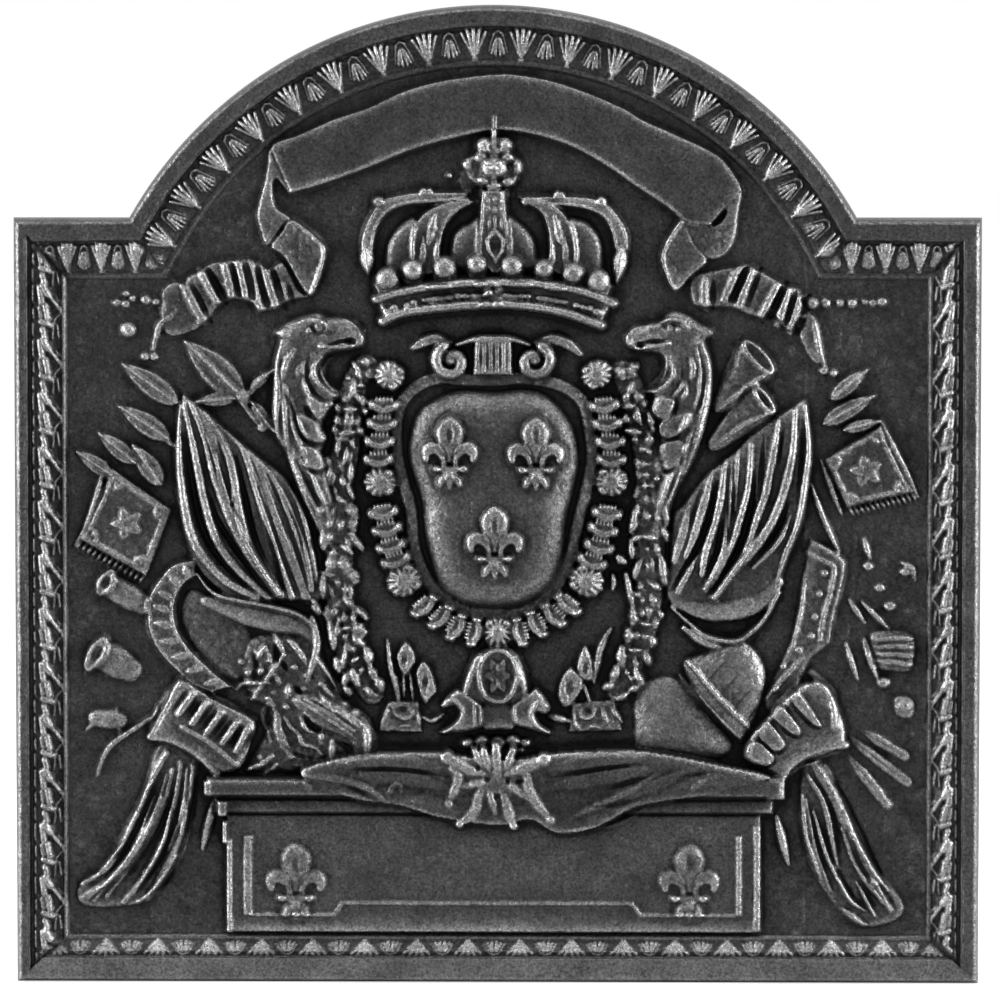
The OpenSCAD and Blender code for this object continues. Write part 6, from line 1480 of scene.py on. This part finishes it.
slotOf = {
    "iron_field": makeIron("ironField", (0.0, 0.0, 0.0), 0.75),
    "iron_moulding": makeIron("ironMoulding", (0.31, 0.12, 0.47), 1.25),
    "iron_relief": makeIron("ironRelief", (0.73, 0.25, 0.11), 1.1),
}


def addObject(name, data):
    thing = bpy.data.objects.new(name, data)
    bpy.context.scene.collection.objects.link(thing)
    return thing


def keep(bm, name, nodes, slotName):
    # makes a finished piece of the mesh, on the plate's one body
    bmesh.ops.recalc_face_normals(bm, faces=bm.faces[:])
    mesh = bpy.data.meshes.new(name)
    bm.to_mesh(mesh)
    bm.free()
    mesh.materials.append(slotOf[slotName])
    piece = addObject(name, mesh)
    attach(piece, "root")
    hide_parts(*nodes)


def layIron(us, vs, heights, wearsAndShades, kept):
    # a sheet of iron with a point at each crossing of the grid and a face in each cell that is kept
    bm = bmesh.new()
    # each point carries its wear together with its painted shade and highlight
    layer = bm.verts.layers.float.new("wearAndShade")
    bmesh.ops.create_grid(bm, x_segments=len(us) - 1, y_segments=len(vs) - 1, size=1)
    for k, vert in enumerate(bm.verts):
        r, c = divmod(k, len(us))
        vert.co = place(us[c], vs[r], heights[r, c])
        vert[layer] = float(wearsAndShades[r, c])
    spare = [face for face, stays in zip(bm.faces, kept.ravel()) if not stays]
    bmesh.ops.delete(bm, geom=spare, context="FACES")
    return bm


def sealBelow(bm):
    # walls run back from the open edges to the seat, and the back is filled
    for face in bm.faces:
        face.smooth = True
    rim = [edge for edge in bm.edges if edge.is_boundary]
    for edge in rim:
        edge.smooth = False
    walls = bmesh.ops.extrude_edge_only(bm, edges=rim)["geom"]
    for item in walls:
        if isinstance(item, bmesh.types.BMVert):
            item.co.y = -sheet["seat"] / 1000
    foot = [item for item in walls if isinstance(item, bmesh.types.BMEdge) and item.is_boundary]
    for edge in foot:
        edge.smooth = False
    bmesh.ops.triangle_fill(bm, use_beauty=False, use_dissolve=False, edges=foot)


def castPiece(name, mask, nodes, slotName):
    # the cells of the relief that belong to one piece
    rows, cols = np.where(mask)
    r0, r1, c0, c1 = rows.min(), rows.max() + 2, cols.min(), cols.max() + 2
    heights = sheet["field"] + relief[r0:r1, c0:c1]
    # the wear with its painted shade and highlight, as a share from 0 to 1
    wearsAndShades = np.clip(0.5 + worn[r0:r1, c0:c1] / weather["wearAndShadeRange"], 0, 1)
    bm = layIron(uLine[c0:c1], vLine[r0:r1], heights, wearsAndShades, mask[r0:r1 - 1, c0:c1 - 1])
    sealBelow(bm)
    keep(bm, name, nodes, slotName)


# plate: its outline, its back and the mouldings round it
plate = {
    "left": 13.5, "right": 980.5, "shoulder": 218.0,
    "archU": 492.6, "archV": 423.6, "archR": 417.4,
    "sideW": 54, "footW": 49, "topW": 62,
    "inset": 3.5,       # draft: how far the back's edge lies inside the front's
    "backCell": 6.0, "backSkin": 0.9, "backSeed": 77,
    "covered": 44,      # the relief this near the edge is hidden under the mouldings
}


def archShare(q, side):
    # angle where the arch's moulding meets the shoulder's, at this share of their width
    radius = plate["archR"] - q * plate["topW"]
    drop = plate["shoulder"] + q * plate["topW"] - plate["archV"]
    return math.atan2(drop, side * math.sqrt(radius ** 2 - drop ** 2))


def archEnds(q):
    # angles where the arch starts and ends, from left to right over its top
    first, last = archShare(q, -1), archShare(q, 1)
    return (first - 2 * math.pi if first > 0 else first), last


def outlineOf(inset):
    # the plate's outline on the sheet, drawn in by so many mm
    radius = plate["archR"] - inset
    arc = [(plate["archU"] + radius * math.cos(a), plate["archV"] + radius * math.sin(a))
           for a in np.linspace(*archEnds(inset / plate["topW"]), 120)]
    left, right = plate["left"] + inset, plate["right"] - inset
    top, foot = plate["shoulder"] + inset, sheet["foot"] - inset
    return np.array([(left, foot), (left, top), *arc, (right, top), (right, foot)])


def nearestOn(outline, u, v):
    # the point of a closed outline that lies nearest
    feet = [a + (b - a) * np.clip(np.dot((u, v) - a, b - a) / max(np.dot(b - a, b - a), 1e-9), 0, 1)
            for a, b in zip(outline, np.roll(outline, -1, axis=0))]
    return min(feet, key=lambda p: (p[0] - u) ** 2 + (p[1] - v) ** 2)


def makePlate():
    # the flat back, whose rim follows the outline
    line = outlineOf(plate["inset"])
    step = plate["backCell"]
    us = np.arange(plate["left"] - step, plate["right"] + step * 2, step)
    vs = np.arange(0, sheet["foot"] + step * 2, step)
    uu, vv = np.meshgrid(us, vs)
    heights = plate["backSkin"] * (1 + castSkin(uu, vv, plate["backSeed"]))
    inside = within(line, uu[:-1, :-1] + step / 2, vv[:-1, :-1] + step / 2)
    bm = layIron(us, vs, heights, np.full(uu.shape, 0.5), inside)
    for vert in bm.verts:
        if vert.is_boundary:
            u, v = nearestOn(line, vert.co.x * 1000 + sheet["middle"], sheet["foot"] - vert.co.z * 1000)
            vert.co = place(u, v, 0.0)
    sealBelow(bm)
    keep(bm, "plate_back", ["plate"], "iron_field")


moulding = {
    # the outer wall, as mm in from the edge and mm over the back
    "wall": [(3.5, 0), (0.9, 0), (0, 1.2), (0, 9), (0, 18), (0.8, 24.5), (2.1, 29.4), (3.9, 32.4),
             (5.2, 33.6), (6.4, 34.0)],
    "flatFrom": 7.4, "acrossStep": 1.15, "alongStep": 1.6,
    # as shares of the width: where the row of leaves starts after the flat, where it ends, and the fillet
    "rowGap": 0.055, "rowEnd": 0.885, "filletFrom": 0.89,
    "rowFade": 9,       # mm over which the row dies away at a mitre
    "pitchSide": 54, "pitchArch": 49, "pitchFoot": 52, "pitchShoulder": 34,
    "leafSide": 6.5, "leafArch": 6, "leafFoot": 2.6,
    # the skin's share on the front and on the wall, and how the leaves, the fillet and the wall are worn,
    # with painted highlight and shade
    "frontSkin": 0.8, "wallSkin": 0.4,
    "leafWearAndShine": 0.6, "plainLeaf": 0.36, "wallWearAndShine": 0.62, "filletWearAndShine": 0.12,
}
# strokes of one carved repeat: along it and across it as shares, half width in mm and height
sprig = [
    (0.0, 0.44, 0.15, 0.6, 4.6, 1.0), (0.15, 0.6, 0.46, 1.0, 2.6, 0.8), (0.02, 0.34, 0.3, 0.4, 3.8, 0.9),
    (0.36, 0.52, 0.6, 0.6, 4.0, 0.9), (0.4, 0.34, 0.56, 0.38, 3.0, 0.7), (0.66, 0.38, 0.72, 0.66, 3.6, 0.85),
    (0.8, 0.42, 0.94, 0.5, 3.6, 0.9), (0.72, 0.88, 0.95, 0.93, 1.6, 0.7), (0.0, 0.12, 0.28, 0.12, 2.0, 0.6),
    (0.42, 0.13, 0.58, 0.14, 2.0, 0.6), (0.7, 0.11, 0.9, 0.12, 2.0, 0.6), (0.5, 0.98, 0.64, 0.78, 1.6, 0.6),
    (0.64, 0.78, 0.98, 0.72, 1.8, 0.5), (0.22, 0.86, 0.3, 0.96, 1.6, 0.5),
]
fanPair = [
    (0.0, 0.02, 0.0, 0.9, 2.6, 1.0), (-0.12, 0.05, -0.025, 0.8, 2.4, 0.95), (0.12, 0.05, 0.025, 0.8, 2.4,
    0.95), (-0.24, 0.12, -0.05, 0.82, 2.0, 0.8), (0.24, 0.12, 0.05, 0.82, 2.0, 0.8), (0.0, 0.94, 0.0, 0.97,
    2.6, 0.8), (0.47, 0.34, 0.45, 0.86, 1.9, 0.8), (0.53, 0.34, 0.55, 0.86, 1.9, 0.8), (0.45, 0.38, 0.37,
    0.8, 1.9, 0.75), (0.55, 0.38, 0.63, 0.8, 1.9, 0.75), (0.5, 0.08, 0.41, 0.17, 1.5, 0.6), (0.5, 0.08, 0.59,
    0.17, 1.5, 0.6), (0.41, 0.17, 0.31, 0.74, 1.4, 0.55), (0.59, 0.17, 0.69, 0.74, 1.4, 0.55),
]


def mouldingHeight(q, flat, fillet):
    # the section over the back of the plate, in mm: flat, quirk, hollow belly and inner fillet
    return np.interp(q, [0, flat - 0.03, flat, flat + 0.025, flat + 0.045, flat + 0.075, flat + 0.17,
                         0.60, 0.78, 0.865, 0.895, 0.935, 0.97, 1.0],
                     [34, 34, 34.7, 33.0, 28.0, 28.2, 30.4,
                      29.6, 25.6, 23.2, 23.6 + fillet, 24.4 + fillet, 22.8 + fillet * 0.7, 20.5])


def carvedRow(b, turn, carving, pitch, wide):
    # carved strokes that repeat along a moulding: b runs across the row and turn counts the repeats
    row = np.zeros_like(turn)
    for t0, b0, t1, b1, half, rise in carving:
        x = (turn - t0 + 0.5) % 1 - 0.5
        dx, dy = (t1 - t0) * pitch, (b1 - b0) * wide
        px, py = x * pitch, (b - b0) * wide
        share = np.clip((px * dx + py * dy) / (dx * dx + dy * dy), 0, 1)
        far = np.hypot(px - dx * share, py - dy * share) / half
        row = np.maximum(row, rise * np.clip(1 - far ** 2, 0, None) ** 0.5)
    return row


def sweepMoulding(name, nodes, width, length, at, flatEnds, fillet, rise, pitch, carving, phase=0.0,
                  shade=0.0):
    # at(q, share) gives the place on the sheet and the distance along, in mm; flatEnds is the share of the
    # width that is flat at each end; shade lifts (above 0) or lowers the whole moulding's painted light
    inner = np.arange(moulding["flatFrom"], width - 0.4, moulding["acrossStep"])
    section = [(s / width, h) for s, h in moulding["wall"]] + [(s / width, None) for s in inner]
    section += [(1.0, None), (1.0, sheet["seat"])]
    section += [(plate["inset"] / width, sheet["seat"]), (plate["inset"] / width, 0)]
    count = int(length / moulding["alongStep"])
    bm = bmesh.new()
    layer = bm.verts.layers.float.new("wearAndShade")
    bmesh.ops.create_grid(bm, x_segments=count, y_segments=len(section) - 1, size=1)
    shares = np.linspace(0, 1, count + 1)
    flats = flatEnds[0] + (flatEnds[1] - flatEnds[0]) * shares
    rowStart = flats + moulding["rowGap"]
    rowWidth = moulding["rowEnd"] - rowStart
    fade = np.clip(np.minimum(shares, 1 - shares) * length / moulding["rowFade"], 0, 1)
    index = iter(bm.verts)
    for q, h in section:
        us, vs, runs = (np.array(c, float) for c in zip(*[at(q, share) for share in shares]))
        if h is None:
            b = np.clip((q - rowStart) / rowWidth, 0, 1)
            inRow = (b > 0) & (b < 1)
            carved = carvedRow(b, runs / pitch + phase, carving, pitch, rowWidth * width) * inRow
            plain = np.array([float(mouldingHeight(q, flat, fillet)) for flat in flats])
            skin = castSkin(us, vs, weather["seed"]) * moulding["frontSkin"]
            heights = plain + rise * carved * fade + skin
            # leaf tops are worn and painted lighter as painted highlight, and the row between them darker as
            # painted shade
            wearsAndShades = 0.5 + shade + (carved * fade - moulding["plainLeaf"]) * moulding["leafWearAndShine"] * inRow
            # the fillet gets a painted highlight, stronger where it stands taller
            if q > moulding["filletFrom"]:
                wearsAndShades = wearsAndShades + moulding["filletWearAndShine"] * fillet / 4
        else:
            proud = h > sheet["field"]
            skin = castSkin(us + 300, vs + h * 7, weather["seed"] + 9)
            heights = h + skin * (moulding["wallSkin"] if proud else 0)
            # the proud outer wall gets a painted highlight
            wearsAndShades = np.full(count + 1, moulding["wallWearAndShine"] if proud else 0.5)
        for u, v, height, wearAndShade in zip(us, vs, heights, wearsAndShades):
            vert = next(index)
            vert.co = place(u, v, height)
            vert[layer] = float(np.clip(wearAndShade, 0, 1))
    bmesh.ops.remove_doubles(bm, verts=bm.verts[:], dist=0.00001)
    bmesh.ops.holes_fill(bm, edges=[edge for edge in bm.edges if edge.is_boundary], sides=0)
    seat = -(sheet["seat"] + 0.5) / 1000
    for face in bm.faces:
        face.smooth = len(face.verts) < 5
    for edge in bm.edges:
        hidden = all(vert.co.y > seat for vert in edge.verts)
        atEnd = any(len(face.verts) > 4 for face in edge.link_faces)
        if atEnd or (hidden and edge.calc_face_angle(0) > 0.5):
            edge.smooth = False
    keep(bm, name, nodes, "iron_moulding")


def makeMouldings():
    left, right, top, foot = plate["left"], plate["right"], plate["shoulder"], sheet["foot"]
    sideW, footW, topW = plate["sideW"], plate["footW"], plate["topW"]
    archU, archV, archR = plate["archU"], plate["archV"], plate["archR"]

    def side(edge, way):
        def at(q, share):
            v0, v1 = top + q * topW, foot - q * footW
            v = v0 + (v1 - v0) * share
            return edge + way * q * sideW, v, v
        return at

    def footAt(q, share):
        u0, u1 = left + q * sideW, right - q * sideW
        u = u0 + (u1 - u0) * share
        return u, foot - q * footW, u

    def shoulder(edge, way):
        def at(q, share):
            angle = archShare(q, -way)
            u0 = edge + way * q * sideW
            u1 = archU + (archR - q * topW) * math.cos(angle)
            u = u0 + (u1 - u0) * share
            return u, top + q * topW, u
        return at

    def archAt(q, share):
        first, last = archEnds(q)
        angle = first + (last - first) * share
        radius = archR - q * topW
        run = (angle + 2) * (archR - topW / 2)
        return archU + radius * math.cos(angle), archV + radius * math.sin(angle), run

    leafSide, leafArch = moulding["leafSide"], moulding["leafArch"]
    pitchSide, pitchShoulder = moulding["pitchSide"], moulding["pitchShoulder"]
    sweepMoulding("border_left", ["border_left", "leaves_left"], sideW, foot - top, side(left, 1),
                  (0.25, 0.25), 4, leafSide, pitchSide, sprig, phase=0.7)
    sweepMoulding("border_right", ["border_right", "leaves_right"], sideW, foot - top, side(right, -1),
                  (0.33, 0.33), 1.5, leafSide, pitchSide, sprig, phase=0.4)
    sweepMoulding("border_foot", ["border_foot", "leaves_foot"], footW, right - left, footAt,
                  (0.50, 0.50), 0, moulding["leafFoot"], moulding["pitchFoot"], fanPair, shade=0.09)
    sweepMoulding("border_shoulder_left", ["border_shoulder_left"], topW, 130, shoulder(left, 1),
                  (0.36, 0.34), 0, leafArch, pitchShoulder, fanPair)
    sweepMoulding("border_shoulder_right", ["border_shoulder_right", "leaves_shoulders"], topW, 140,
                  shoulder(right, -1), (0.36, 0.34), 0, leafArch, pitchShoulder, fanPair)
    sweepMoulding("border_arch", ["border_arch", "leaves_arch"], topW, 1290, archAt,
                  (0.32, 0.32), 0, leafArch, moulding["pitchArch"], fanPair)


makePlate()
print("plate made")
makeMouldings()
print("mouldings made")

# cells beyond the mouldings' middle lines are hidden under them, and are left out
cellU, cellV = uGrid[:-1, :-1] + cell / 2, vGrid[:-1, :-1] + cell / 2
shown = within(outlineOf(plate["covered"]), cellU, cellV)
settleOwners()
cellOwner = owner[:-1, :-1]
quarters = {"u": 500, "v": 520}     # where the field is parted in four
for level, rows in (("upper", cellV < quarters["v"]), ("lower", cellV >= quarters["v"])):
    for side, columns in (("left", cellU < quarters["u"]), ("right", cellU >= quarters["u"])):
        mine = shown & rows & columns & (cellOwner == 0)
        castPiece(f"field_{level}_{side}", mine, ["plate"], "iron_field")
for number, name in enumerate(pieceNames):
    mine = shown & (cellOwner == number)
    if number and mine.any():
        castPiece(name, mine, [name], "iron_field" if name == "crown_cap" else "iron_relief")

# floor, lights and camera
studio = {"floorColour": (0.86, 0.86, 0.86, 1), "floorGlow": 0.76, "sky": 0.32, "lampAim": (0, -0.03, 0.48)}


def makeFloor():
    # the floor adds its own light to what the camera sees, and keeps the object's shadow
    bm = bmesh.new()
    bmesh.ops.create_grid(bm, x_segments=1, y_segments=1, size=30)
    mesh = bpy.data.meshes.new("floor")
    bm.to_mesh(mesh)
    bm.free()
    floor = addObject("floor", mesh)
    material = bpy.data.materials.new("paleFloor")
    material.use_nodes = True
    tree = material.node_tree
    matte = tree.nodes["Principled BSDF"]
    fillInputs(tree, matte, {"Base Color": studio["floorColour"], "Roughness": 0.9})
    seen = addNode(tree, "LightPath").outputs["Is Camera Ray"]
    lift = addNode(tree, "Math", {0: seen, 1: studio["floorGlow"]}, operation="MULTIPLY")
    glow = addNode(tree, "Emission", {"Strength": lift.outputs["Value"]})
    both = addNode(tree, "AddShader", {0: matte.outputs["BSDF"], 1: glow.outputs["Emission"]})
    fillInputs(tree, tree.nodes["Material Output"], {"Surface": both.outputs["Shader"]})
    mesh.materials.append(material)


def makeSky():
    # white to the camera and to shiny or clear surfaces, and a plain low light to all else
    world = bpy.data.worlds.new("sky")
    world.use_nodes = True
    bpy.context.scene.world = world
    tree = world.node_tree
    rays = addNode(tree, "LightPath").outputs
    seen = rays["Is Camera Ray"]
    for kind in ("Is Glossy Ray", "Is Transmission Ray"):
        seen = addNode(tree, "Math", {0: seen, 1: rays[kind]}, operation="MAXIMUM").outputs["Value"]
    level = addNode(tree, "MapRange", {"Value": seen, "To Min": studio["sky"], "To Max": 1.0})
    fillInputs(tree, tree.nodes["Background"], {"Color": (1, 1, 1, 1), "Strength": level.outputs["Result"]})


lamps = {
    "left": {
        "at": (-2.6, -0.44, 0.75), "size": (0.8, 2.6), "watts": 215,
    },
    "right": {
        "at": (2.6, -0.44, 0.75), "size": (0.8, 2.6), "watts": 200,
    },
    "top": {
        "at": (0.1, -0.9, 2.9), "size": (2.6, 1.4), "watts": 50,
    },
}


def makeLamps():
    aim = Vector(studio["lampAim"])
    for name, lamp in lamps.items():
        data = bpy.data.lights.new(name, "AREA")
        data.shape = "RECTANGLE"
        data.size, data.size_y = lamp["size"]
        data.energy = lamp["watts"]
        light = addObject(name, data)
        light.location = lamp["at"]
        light.rotation_euler = (aim - light.location).to_track_quat("-Z", "Y").to_euler()


camera = {"far": 6.0, "elevation": 3.5, "azimuth": 1.0, "aim": (0.003, -0.025, 0.487), "frameWide": 1.0,
          "sensor": 36}


def makeCamera():
    data = bpy.data.cameras.new("camera")
    data.sensor_width = camera["sensor"]
    data.lens = camera["sensor"] * camera["far"] / camera["frameWide"]
    data.clip_end = 100
    eye = addObject("camera", data)
    a, e = math.radians(camera["azimuth"]), math.radians(camera["elevation"])
    back = Vector((math.sin(a) * math.cos(e), -math.cos(a) * math.cos(e), math.sin(e)))
    aim = Vector(camera["aim"])
    eye.location = aim + back * camera["far"]
    eye.rotation_euler = (-back).to_track_quat("-Z", "Y").to_euler()
    bpy.context.scene.camera = eye


makeFloor()
makeSky()
makeLamps()
makeCamera()
bpy.context.scene.view_settings.view_transform = "Standard"
print("studio ready")
